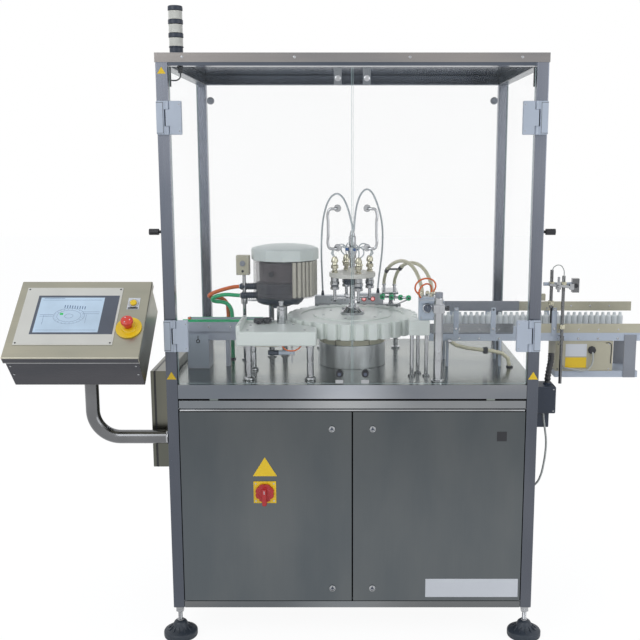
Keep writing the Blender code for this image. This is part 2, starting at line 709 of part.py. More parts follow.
def build_panels_and_guards():
    """Fixed sheet panels round the cabinet and clear panes round the chamber."""
    side = HALF_WIDTH - FACE_SETBACK
    between_posts = (TUBE + GAP, INNER_BACK - GAP)
    panel_z = (BASE_TOP + GAP, MID_LOW - GAP)
    node("left_side_panel", tray((-side, -side + PANEL_DEPTH), between_posts, panel_z, PANEL_SHEET, "+x"),
         "dark_stainless")
    node("right_side_panel", tray((side - PANEL_DEPTH, side), between_posts, panel_z, PANEL_SHEET, "-x"),
         "dark_stainless")
    back = FRAME_DEPTH - FACE_SETBACK
    node("rear_panel", tray(across(INNER_X - GAP), (back - PANEL_DEPTH, back), panel_z, PANEL_SHEET, "-y"),
         "dark_stainless")
    node("base_tray",
         box(across(INNER_X - GAP), (DOOR_DEPTH + DOOR_CLEARANCE, back - PANEL_DEPTH - GAP),
             (BASE_TOP + GAP, BASE_TOP + GAP + PANEL_SHEET)), "brushed_stainless")
    pane_z = (TABLE_TOP + GAP, FRAME_TOP - TUBE - GAP)
    outer = HALF_WIDTH - PANE_SETBACK
    knob_y = TUBE + SIDE_KNOB_IN
    panes = {}
    for name, sign in (("left_guard_window", -1), ("right_guard_window", 1)):
        span = sorted((sign * outer, sign * (outer - PANE)))
        knob_end = sign * (HALF_WIDTH + SIDE_KNOB_REACH)
        knob_start = sign * (HALF_WIDTH + SIDE_KNOB_REACH / 3)
        panes[name] = fuse(
            box(span, between_posts, pane_z),
            rod((sign * (outer - PANE / 2), knob_y, SIDE_KNOB_Z), (knob_end, knob_y, SIDE_KNOB_Z),
                SIDE_KNOB_RADIUS / 2, 8),
            rod((knob_start, knob_y, SIDE_KNOB_Z), (knob_end, knob_y, SIDE_KNOB_Z), SIDE_KNOB_RADIUS),
        )
    doorway = box(
        (INNER_X, HALF_WIDTH + TUBE), (CONVEYOR_Y[0] - CUTOUT_MARGIN, CONVEYOR_Y[1] + CUTOUT_MARGIN),
        above(-CUTOUT_HEIGHT, CUTOUT_HEIGHT),
    )
    panes["right_guard_window"] = cut(panes["right_guard_window"], doorway)
    for name, shape in panes.items():
        node(name, shape, "clear_guard")
    rear = FRAME_DEPTH - PANE_SETBACK
    node("rear_guard_window", box(across(INNER_X - GAP), (rear - PANE, rear), pane_z), "clear_guard")


def build_feet():
    """Four levelling feet, each a pad with its spindle and lock nut."""
    profile = (
        (FOOT_RADIUS, 0), (FOOT_RADIUS, FOOT_RIM), (NUT_RADIUS, FOOT_CONE), (SPINDLE_RADIUS, FOOT_CONE + 0.002),
        (SPINDLE_RADIUS, POST_FOOT - GAP - NUT_HEIGHT), (NUT_RADIUS, POST_FOOT - GAP - NUT_HEIGHT + 0.002),
        (NUT_RADIUS, POST_FOOT - GAP),
    )
    for end, y in (("front", TUBE / 2), ("rear", FRAME_DEPTH - TUBE / 2)):
        for side, x in (("left", -HALF_WIDTH + TUBE / 2), ("right", HALF_WIDTH - TUBE / 2)):
            node(f"levelling_foot_{end}_{side}", turned(profile, (x, y), FOOT_SIDES), "blue_black", (x, y, 0))


def build_stack_light():
    """A signal tower: base, three lenses between dark rings, and a cap."""
    height = ROOF_TOP + GAP
    profile = [(LIGHT_RADIUS, height)]
    height += LIGHT_BASE
    profile.append((LIGHT_RADIUS, height))
    for last in (False, False, True):
        profile.append((LIGHT_LENS_RADIUS, height + 0.0005))
        profile.append((LIGHT_LENS_RADIUS, height + LIGHT_LENS - 0.0005))
        height += LIGHT_LENS
        profile.append((LIGHT_RADIUS, height))
        if not last:
            height += LIGHT_RING
            profile.append((LIGHT_RADIUS, height))
    profile.append((LIGHT_RADIUS - 0.002, height + LIGHT_CAP))
    at = (-HALF_WIDTH + LIGHT_INSET, LIGHT_Y)
    node("stack_light", turned(profile, at, 14), "blue_black", (*at, ROOF_TOP))


def build_side_box():
    """A flat enclosure on the left side, with a door on its outer face hinged at the rear."""
    outer = SIDE_BOX_INNER - SIDE_BOX_DEPTH
    node("side_box_body", tray((outer, SIDE_BOX_INNER), SIDE_BOX_Y, SIDE_BOX_Z, SIDE_BOX_SHEET, "-x"),
         "brushed_stainless")
    face = outer - SIDE_BOX_SEAM
    node("side_box_door", tray((face - SIDE_BOX_DOOR, face), SIDE_BOX_Y, SIDE_BOX_Z, SIDE_BOX_SHEET, "+x"),
         "brushed_stainless", (face - SIDE_BOX_DOOR, SIDE_BOX_Y[1], SIDE_BOX_Z[0]))


def build_arm():
    """The bent pipe that carries the control panel."""
    corner = Vector((ARM_X + ARM_BEND, ARM_Y, ARM_Z + ARM_BEND))
    bend = arc_points(corner, corner - Vector((0, 0, ARM_BEND)), corner - Vector((ARM_BEND, 0, 0)), 8)
    points = [Vector((-HALF_WIDTH - GAP, ARM_Y, ARM_Z)), *bend, Vector((ARM_X, ARM_Y, ARM_TOP_Z))]
    node("arm_pipe", pipe(points, ARM_RADIUS, 14), "polished_steel")


def build_control_panel():
    """The tilted operator box, its front with the touch screen, and two buttons."""
    pivot = (ARM_X, ARM_Y, ARM_TOP_Z)
    half = (PANEL_WIDTH / 2, PANEL_LENGTH / 2)
    body = (half[0] - PANEL_INSET, half[1] - PANEL_INSET)
    tub = tilted(tray(across(body[0]), across(body[1]), (-PANEL_THICK, -PANEL_WALL - GAP), PANEL_WALL, "+z"))
    swivel = post((ARM_X, ARM_Y), ARM_TOP_Z + GAP, on_panel((0, 0), -PANEL_THICK + PANEL_WALL)[2] + HUB_RADIUS,
                  HUB_RADIUS, 16)
    inside = tilted(box(across(half[0]), across(half[1]), (-PANEL_THICK + PANEL_WALL / 2, PANEL_WIDTH)))
    housing = node("panel_housing", fuse(tub, cut(swivel, inside)), "brushed_stainless", pivot)
    lid = tray(across(half[0]), across(half[1]), (-PANEL_LID, 0), PANEL_WALL, "-z")
    plates = []
    for (x, y, width, height), low, high in (
        (BEZEL, -0.001, BEZEL_THICK), (SCREEN, BEZEL_THICK / 2, BEZEL_THICK + SCREEN_THICK),
    ):
        plates.append(box((x - width / 2, x + width / 2), (y - height / 2, y + height / 2), (low, high)))
    collar_radius = ESTOP_STEM_RADIUS + BUTTON_CLEARANCE + COLLAR_RIM
    plates += [
        rod((*ESTOP_AT, -0.001), (*ESTOP_AT, ESTOP_PLATE), ESTOP_PLATE_RADIUS, 20),
        rod((*ESTOP_AT, -0.001), (*ESTOP_AT, 2 * ESTOP_PLATE), collar_radius, 16),
        rod((*BUTTON_AT, -0.001), (*BUTTON_AT, BUTTON_RADIUS / 3), BUTTON_COLLAR, 16),
    ]
    holes = [
        rod((*ESTOP_AT, -0.1), (*ESTOP_AT, 0.1), ESTOP_STEM_RADIUS + BUTTON_CLEARANCE, 16),
        rod((*BUTTON_AT, -0.1), (*BUTTON_AT, 0.1), BUTTON_RADIUS + BUTTON_CLEARANCE, 16),
    ]
    node("panel_front", tilted(cut(fuse(lid, *plates), *holes)), "beige_paint", pivot, housing)
    estop = fuse(
        rod((*ESTOP_AT, -0.010), (*ESTOP_AT, ESTOP_HEAD[0] + 0.002), ESTOP_STEM_RADIUS, 16),
        rod((*ESTOP_AT, ESTOP_HEAD[0]), (*ESTOP_AT, ESTOP_HEAD[1]), ESTOP_HEAD_RADIUS, 16, ESTOP_HEAD_RADIUS * 0.8),
    )
    node("estop_button", tilted(estop), "red_plastic", on_panel(ESTOP_AT), housing)
    button = rod((*BUTTON_AT, -0.006), (*BUTTON_AT, BUTTON_HEAD), BUTTON_RADIUS, 16)
    node("push_button", tilted(button), "yellow_plastic", on_panel(BUTTON_AT), housing)


def build_cabinet_doors():
    """Two folded doors with pivots, turn locks, and the main switch on the left one."""
    for name, sign in (("left", -1), ("right", 1)):
        x = sorted((sign * DOOR_OUTER_X, sign * DOOR_CLEARANCE))
        axis = (sign * DOOR_AXIS_X, DOOR_AXIS_INSET)
        lock_at = [(sign * LOCK_X, DOOR_HIGH - LOCK_FROM_DOOR_TOP), (sign * LOCK_X, DOOR_LOW + LOCK_FROM_DOOR_FOOT)]
        door = tray(x, (0, DOOR_DEPTH), (DOOR_LOW, DOOR_HIGH), DOOR_SHEET, "+y")
        holes = [
            rod((at_x, -0.1, at_z), (at_x, 0.1, at_z), LOCK_SHAFT_RADIUS + LOCK_CLEARANCE)
            for at_x, at_z in lock_at
        ]
        door = cut(door, *holes)
        extras = [
            post(axis, BASE_TOP + GAP, DOOR_LOW + DOOR_SHEET / 2, PIVOT_RADIUS, 8),
            post(axis, DOOR_HIGH - DOOR_SHEET / 2, MID_LOW - GAP, PIVOT_RADIUS, 8),
        ]
        if sign < 0:
            half = SWITCH_PLATE / 2
            extras.append(box((SWITCH_X - half, SWITCH_X + half), (-SWITCH_PLATE_THICK, DOOR_SHEET / 2),
                              (SWITCH_Z - half, SWITCH_Z + half)))
        leaf = node(f"cabinet_door_{name}", fuse(door, *extras), "dark_stainless", (*axis, DOOR_LOW))
        for level, (at_x, at_z) in zip(("upper", "lower"), lock_at):
            width, thick, reach = LOCK_CAM
            upward = 1 if level == "upper" else -1
            cam_z = sorted((at_z - upward * LOCK_SHAFT_RADIUS, at_z + upward * (reach - LOCK_SHAFT_RADIUS)))
            cam_y = DOOR_SHEET + 2 * thick
            lock = fuse(
                rod((at_x, -GAP, at_z), (at_x, -GAP - LOCK_HEAD, at_z), LOCK_HEAD_RADIUS),
                rod((at_x, -LOCK_HEAD / 2, at_z), (at_x, cam_y + thick / 2, at_z), LOCK_SHAFT_RADIUS),
                box((at_x - width / 2, at_x + width / 2), (cam_y, cam_y + thick), cam_z),
            )
            node(f"{name}_{level}_lock", lock, "polished_steel", (at_x, 0, at_z), leaf)
    seat = -SWITCH_PLATE_THICK - GAP
    width, proud, length = SWITCH_GRIP
    knob = fuse(
        rod((SWITCH_X, seat, SWITCH_Z), (SWITCH_X, seat - SWITCH_BODY, SWITCH_Z), SWITCH_RADIUS, 16),
        box((SWITCH_X - width / 2, SWITCH_X + width / 2), (seat - SWITCH_BODY - proud, seat - SWITCH_BODY / 2),
            (SWITCH_Z - length / 2, SWITCH_Z + length / 2)),
    )
    node("main_switch_knob", knob, "red_plastic", (SWITCH_X, 0, SWITCH_Z), bpy.data.objects["cabinet_door_left"])


def hinge_barrel(sign, low, high, web_to):
    """One knuckle of a guard hinge with the web that ties it to its plate."""
    x = sign * HINGE_X
    web = sorted((x, x + sign * web_to))
    return [
        post((x, -HINGE_AXIS_FRONT), low, high, HINGE_BARREL_RADIUS),
        box(web, (-HINGE_AXIS_FRONT - HINGE_WEB / 2, -HINGE_AXIS_FRONT + HINGE_WEB / 2), (low, high)),
    ]


def build_guard_doors():
    """Two clear doors with hinge leaves, catches and stop knobs; their hinge bases; and two bow handles."""
    for name, sign in (("left", -1), ("right", 1)):
        pane_x = sorted((sign * GUARD_DOOR_SEAM, sign * (INNER_X - GUARD_DOOR_SIDE)))
        shapes = [box(pane_x, (0, PANE), (PANE_LOW, PANE_HIGH))]
        for level, low in (("lower", HINGE_LOW_Z), ("upper", HINGE_HIGH_Z)):
            quarter = HINGE_HEIGHT / 4
            leaf_x = sorted((sign * (HINGE_X - HINGE_LEAF_NEAR), sign * (HINGE_X - HINGE_LEAF_FAR)))
            shapes.append(box(leaf_x, (-HINGE_THICK, PANE / 2), (low, low + HINGE_HEIGHT)))
            shapes += hinge_barrel(sign, low + quarter + GAP, low + 3 * quarter - GAP,
                                   -(HINGE_LEAF_NEAR + HINGE_WEB / 2))
            base_x = sorted((sign * (HINGE_X + HINGE_BASE_NEAR), sign * (HALF_WIDTH - FACE_SETBACK)))
            base = [box(base_x, (-HINGE_THICK, -GAP), (low, low + HINGE_HEIGHT))]
            reach = HINGE_BASE_NEAR + HINGE_WEB / 2
            base += hinge_barrel(sign, low, low + quarter, reach)
            base += hinge_barrel(sign, low + 3 * quarter, low + HINGE_HEIGHT, reach)
            node(f"hinge_base_{name}_{level}", fuse(*base), "grey_plastic", (sign * HINGE_X, -HINGE_AXIS_FRONT, low))
        shapes.append(rod((sign * STOP_X, PANE / 2, TABLE_TOP + STOP_HEIGHT),
                          (sign * STOP_X, -STOP_PROUD, TABLE_TOP + STOP_HEIGHT), STOP_RADIUS))
        catch = sorted((sign * (CATCH_X - CATCH_WIDTH / 2), sign * (CATCH_X + CATCH_WIDTH / 2)))
        shapes.append(box(catch, (-CATCH_THICK, PANE / 2), (PANE_HIGH - CATCH_HEIGHT, PANE_HIGH - 0.001)))
        door = node(f"guard_door_{name}", fuse(*shapes), "clear_guard", (sign * HINGE_X, -HINGE_AXIS_FRONT, PANE_LOW))
        node(f"door_handle_{name}", bow_handle(sign), "polished_steel", (sign * HANDLE_X, 0, HANDLE_LOW_Z), door)


def bow_handle(sign):
    """A bow handle on two rosettes, its grip set outboard and proud of the pane."""
    grip_low = HANDLE_LOW_Z + 2 * HANDLE_RADIUS
    grip_high = HANDLE_LOW_Z + HANDLE_SPAN - 2 * HANDLE_RADIUS
    proud = -HANDLE_PROUD + HANDLE_RADIUS
    half_way = (HANDLE_X + HANDLE_GRIP_X) / 2

    def end(z, inward):
        return [
            (sign * HANDLE_X, -GAP, z), (sign * HANDLE_X, proud * 0.55, z),
            (sign * (HANDLE_X + 0.004), proud * 0.85, z), (sign * half_way, proud, z),
            (sign * (HANDLE_GRIP_X - 0.004), proud, z + inward * 0.003),
            (sign * HANDLE_GRIP_X, proud, z + inward * 0.014),
        ]

    route = end(grip_low, 1) + list(reversed(end(grip_high, -1)))
    rosettes = [
        rod((sign * HANDLE_X, -GAP, z), (sign * HANDLE_X, -GAP - ROSETTE, z), ROSETTE_RADIUS)
        for z in (grip_low, grip_high)
    ]
    return fuse(pipe(route, HANDLE_RADIUS), *rosettes)


def wheel_outline():
    """Lobes with flat outer faces and narrow pockets between them, anticlockwise."""
    outline = []
    for lobe in range(WHEEL_LOBES):
        middle = 2 * math.pi * (lobe + 0.5) / WHEEL_LOBES
        for radius, side in (
            (WHEEL_RADIUS, -1), (WHEEL_RADIUS - GROOVE_DEPTH, -1), (WHEEL_RADIUS - GROOVE_DEPTH, 1),
            (WHEEL_RADIUS, 1),
        ):
            width = GROOVE_WIDTH if radius == WHEEL_RADIUS else GROOVE_WIDTH / 2
            turn = middle + side * width / 2 / radius
            outline.append((radius * math.cos(turn), WHEEL_Y + radius * math.sin(turn)))
    return outline


def head_places(radius):
    """Centres of the filling heads on their circle."""
    return [
        (radius * math.cos(HEAD_TURN + 2 * math.pi * head / HEADS),
         WHEEL_Y + radius * math.sin(HEAD_TURN + 2 * math.pi * head / HEADS))
        for head in range(HEADS)
    ]


def build_wheel_and_turret():
    """Drum, star wheel with its shaft, turret with its heads, plungers and index drive."""
    centre = (0, WHEEL_Y)
    bore = SHAFT_RADIUS + SHAFT_CLEARANCE
    drum = turned((
        (DRUM_RADIUS, TABLE_TOP + GAP), (DRUM_RADIUS, TABLE_TOP + DRUM_HEIGHT),
        (DRUM_NECK_RADIUS, TABLE_TOP + DRUM_HEIGHT + 0.002), (DRUM_NECK_RADIUS, TABLE_TOP + WHEEL_LOW - GAP),
    ), centre, 24)
    node("wheel_drum", cut(drum, post(centre, 0, FRAME_TOP, bore, 16)), "brushed_stainless")
    shaft_low = TABLE_TOP - SHAFT_BELOW_TABLE
    wheel = fuse(
        prism(wheel_outline(), (TABLE_TOP + WHEEL_LOW, WHEEL_TOP)),
        post(centre, shaft_low, TABLE_TOP + WHEEL_LOW + WHEEL_THICK / 2, SHAFT_RADIUS, 16),
    )
    star = node("star_wheel", wheel, "white_plastic", (*centre, WHEEL_TOP))
    hub_low = WHEEL_TOP + GAP
    shapes = [
        post(centre, hub_low, WHEEL_TOP + HUB_HEIGHT, WHEEL_HUB_RADIUS, 12),
        post(centre, hub_low + HUB_HEIGHT / 2, TABLE_TOP + COLUMN_TOP, COLUMN_RADIUS, 16),
        post(centre, *above(*TURRET_PLATE), TURRET_RADIUS, 20),
    ]
    for at in head_places(HEAD_CIRCLE):
        shapes.append(post(at, TABLE_TOP + BARREL_LOW, TABLE_TOP + TURRET_PLATE[1] - 0.004, BARREL_RADIUS))
        shapes.append(post(at, TABLE_TOP + TURRET_PLATE[1] - 0.004, TABLE_TOP + FITTING_TOP, FITTING_RADIUS, 8))
    bore_top = TABLE_TOP + BARREL_LOW + PLUNGER_ENGAGED + PLUNGER_TRAVEL + 0.004
    bores = [post(at, TABLE_TOP + PLUNGER_LOW, bore_top, PLUNGER_RADIUS + PLUNGER_CLEARANCE) for at in head_places(HEAD_CIRCLE)]
    turret = node("turret_head", cut(fuse(*shapes), *bores), "polished_steel", (*centre, WHEEL_TOP), star)
    spider_bore = post(centre, TABLE_TOP, FRAME_TOP, COLUMN_RADIUS + SPIDER_CLEARANCE, 16)
    spider = cut(post(centre, *above(*SPIDER), HEAD_CIRCLE + 0.010, 16), spider_bore)
    rods = [
        post(at, TABLE_TOP + PLUNGER_LOW, TABLE_TOP + BARREL_LOW + PLUNGER_ENGAGED, PLUNGER_RADIUS)
        for at in head_places(HEAD_CIRCLE)
    ]
    node("turret_plungers", fuse(spider, *rods), "black_plastic", (*centre, TABLE_TOP + SPIDER[0]), turret)
    width, depth, height = GEARBOX
    drive_top = TABLE_TOP - TABLE_PLATE - GAP
    motor_z = drive_top - height / 2
    gearbox = fuse(
        box(across(width / 2), (WHEEL_Y - depth / 2, WHEEL_Y + depth / 2), (drive_top - height, drive_top)),
        rod((width / 2 - 0.005, WHEEL_Y, motor_z), (width / 2 + MOTOR_FLANGE, WHEEL_Y, motor_z), MOTOR_RADIUS + 0.008),
        rod((width / 2, WHEEL_Y, motor_z), (width / 2 + MOTOR_LENGTH, WHEEL_Y, motor_z), MOTOR_RADIUS),
    )
    shaft_room = post(centre, shaft_low - 0.010, TABLE_TOP, bore, 16)
    node("index_drive", cut(gearbox, shaft_room), "grey_plastic")


def build_guide_block():
    """The white guide block that hugs the wheel, on three posts."""
    clear = WHEEL_RADIUS + BLOCK_CLEARANCE
    reach = math.sqrt(clear ** 2 - BLOCK_X[1] ** 2)
    first = math.atan2(-reach, BLOCK_X[1])
    last = math.atan2(BLOCK_Y[1] - WHEEL_Y, -math.sqrt(clear ** 2 - (BLOCK_Y[1] - WHEEL_Y) ** 2))
    turns = 8
    arc = [
        (clear * math.cos(first + (last - first) * step / turns),
         WHEEL_Y + clear * math.sin(first + (last - first) * step / turns))
        for step in range(turns + 1)
    ]
    outline = [(BLOCK_X[0], BLOCK_Y[0]), (BLOCK_X[1], BLOCK_Y[0]), *arc, (BLOCK_X[0], BLOCK_Y[1])]
    shapes = [
        prism(outline, above(*BLOCK_Z)),
        box((BLOCK_X[0], BLOCK_X[0] + BLOCK_WALL), BLOCK_Y, above(BLOCK_Z[0], BLOCK_WALL_TOP)),
    ]
    top = TABLE_TOP + BLOCK_Z[1]
    for x, y, radius, height in (BLOCK_KNOB, BLOCK_CYLINDER):
        shapes.append(post((x, y), top - 0.002, top + height, radius))
    node("guide_block", fuse(*shapes), "white_plastic")


def build_bowl_feeder():
    """Bowl feeder: drive on its posts, clear bowl guard and lift-off lid."""
    sides = BOWL_SIDES
    drive_at = BOWL_AT
    shapes = [post(drive_at, *above(*DRIVE_Z), DRIVE_RADIUS, sides)]
    for at in BOWL_POSTS:
        shapes.append(post(at, TABLE_TOP + GAP, TABLE_TOP + DRIVE_Z[0] + 0.004, BOWL_POST_RADIUS))
    x, y, z = SENSOR_BOX
    shapes.append(box(x, y, above(*z)))
    shapes.append(post(SENSOR_POST[:2], TABLE_TOP + GAP, TABLE_TOP + z[0] + 0.004, SENSOR_POST[2], 8))
    shapes.append(box(*SENSOR_ARM[:2], above(*SENSOR_ARM[2])))
    for route in (BOWL_CABLE_HIGH, BOWL_CABLE_LOW):
        shapes.append(pipe(route, CABLE_RADIUS, 6))
    node("bowl_drive", fuse(*shapes), "black_plastic")
    wall = cut(
        post(BOWL_AT, *above(BOWL_LOW, BOWL_TOP), BOWL_RADIUS, sides),
        post(BOWL_AT, *above(BOWL_LOW + BOWL_FLOOR, BOWL_TOP + BOWL_FLOOR), BOWL_RADIUS - BOWL_WALL, sides),
        post(BOWL_AT, *above(BOWL_LOW - BOWL_FLOOR, BOWL_TOP), DRIVE_RADIUS + DRIVE_CLEARANCE, sides),
    )
    node("bowl_guard", wall, "clear_guard")
    low = TABLE_TOP + BOWL_TOP + GAP
    lid = turned((
        (BOWL_LID_RADIUS, low), (BOWL_LID_RADIUS, low + BOWL_LID[0]), (BOWL_LID_RADIUS / 2, low + BOWL_LID[1]),
    ), BOWL_AT, sides)
    node("bowl_lid", lid, "white_plastic", (*BOWL_AT, low))


def build_dosing_station():
    """Dosing valve block on rods, the polished dosing cylinder and its piston with a star knob."""
    x, y, z = DOSING_HOUSING
    face = y[0]
    gauge_at = ((x[0] + x[1]) / 2, TABLE_TOP + (z[0] + z[1]) / 2 - 0.006)
    shapes = [
        box(DOSING_BLOCK[0], DOSING_BLOCK[1], above(*DOSING_BLOCK[2])),
        box(x, y, above(*z)),
        rod((gauge_at[0], face + 0.004, gauge_at[1]), (gauge_at[0], face - DOSING_GAUGE, gauge_at[1]),
            DOSING_GAUGE_RADIUS, 16),
    ]
    for at in DOSING_POSTS:
        shapes.append(post(at, TABLE_TOP + GAP, TABLE_TOP + DOSING_BLOCK[2][0] + 0.004, DOSING_POST_RADIUS, 10))
    loop = [
        (LOOP_CENTRE[0] + LOOP_RADIUS * math.cos(math.pi * step / 8), LOOP_CENTRE[1],
         LOOP_CENTRE[2] - 0.028 + 1.6 * LOOP_RADIUS * math.sin(math.pi * step / 8))
        for step in range(9)
    ]
    shapes.append(pipe(loop, LOOP_CABLE_RADIUS, 6))
    node("dosing_station", fuse(*shapes), "grey_plastic")
    cap_x, cap_y, cap_z = CLAMP
    centre = CYLINDER_AT
    top = TABLE_TOP + CYLINDER_TOP
    cylinder = fuse(
        post(centre, TABLE_TOP + GAP, top, PISTON_RADIUS + PISTON_CLEARANCE + CYLINDER_WALL, 16),
        box((centre[0] - cap_x, centre[0] + cap_x), (centre[1] - cap_y, centre[1] + cap_y), (top - cap_z, top - 0.004)),
    )
    bore = post(centre, TABLE_TOP + PISTON_LOW - 0.010, top + 0.010, PISTON_RADIUS + PISTON_CLEARANCE, 16)
    node("dosing_cylinder", cut(cylinder, bore), "polished_steel")
    head_radius, head_height = PISTON_HEAD
    piston = fuse(
        post(centre, TABLE_TOP + PISTON_LOW, top, PISTON_RADIUS, 16),
        post(centre, top - PISTON_NECK, top + PISTON_NECK, PISTON_RADIUS * 0.7),
        turned(((head_radius, top + GAP), (head_radius, top + head_height)), centre, 12),
    )
    node("dosing_piston", piston, "black_plastic", (*centre, top))


def build_filling_station():
    """Beam with sensor blocks on posts behind the wheel, and the arm that holds the product nozzles."""
    beam_x, beam_z = STATION_BEAM
    shapes = [box(beam_x, STATION_Y, above(*beam_z))]
    for x, z in STATION_BLOCKS:
        shapes.append(box(x, STATION_Y, above(z[0] - 0.004, z[1])))
    middle = sum(STATION_Y) / 2
    for x in STATION_POSTS:
        shapes.append(post((x, middle), TABLE_TOP + GAP, TABLE_TOP + beam_z[0] + 0.004, STATION_POST_RADIUS))
    x, y, z = NOZZLE_ARM
    shapes.append(box(x, y, above(*z)))
    riser_x, riser_y, riser_radius = ARM_RISER
    shapes.append(post((riser_x, riser_y), TABLE_TOP + beam_z[1] - 0.004, TABLE_TOP + z[1] - 0.002, riser_radius))
    for at in NOZZLES:
        shapes.append(post(at, *above(*NOZZLE_Z), NOZZLE_RADIUS, 10))
    bar_z = TABLE_TOP + VALVE_BAR_Z
    shapes.append(rod((*VALVES[0], bar_z), (*VALVES[-1], bar_z), VALVE_BAR_RADIUS, 8))
    for at in VALVES:
        shapes.append(turned((
            (VALVE_RADIUS * 0.55, bar_z - VALVE_RADIUS * 0.8), (VALVE_RADIUS, bar_z - VALVE_RADIUS * 0.35),
            (VALVE_RADIUS, bar_z + VALVE_RADIUS * 0.35), (VALVE_RADIUS * 0.55, bar_z + VALVE_RADIUS * 0.8),
        ), at, 8))
    link = ((VALVES[0][0] + VALVES[1][0]) / 2, (VALVES[0][1] + VALVES[1][1]) / 2)
    shapes.append(box((link[0] - 0.005, link[0] + 0.005), (link[1] - 0.004, y[0] + 0.004), above(0.236, z[1])))
    node("filling_station", fuse(*shapes), "beige_paint")


def belt_loop(centre, radius, y):
    """A belt-shaped block: straight between two ends, round over them."""
    turns = 8
    outline = []
    for middle, first in ((centre[1], -90), (centre[0], 90)):
        for step in range(turns + 1):
            turn = math.radians(first + 180 * step / turns)
            outline.append((middle + radius * math.cos(turn), radius * math.sin(turn)))
    shape = prism(outline, (-y[1], -y[0]))
    height = TABLE_TOP + BELT_TOP - BELT_RADIUS
    place = Matrix.Translation((0, 0, height)) @ Matrix.Rotation(math.pi / 2, 4, "X")
    bmesh.ops.transform(shape, matrix=place, verts=shape.verts)
    return shape


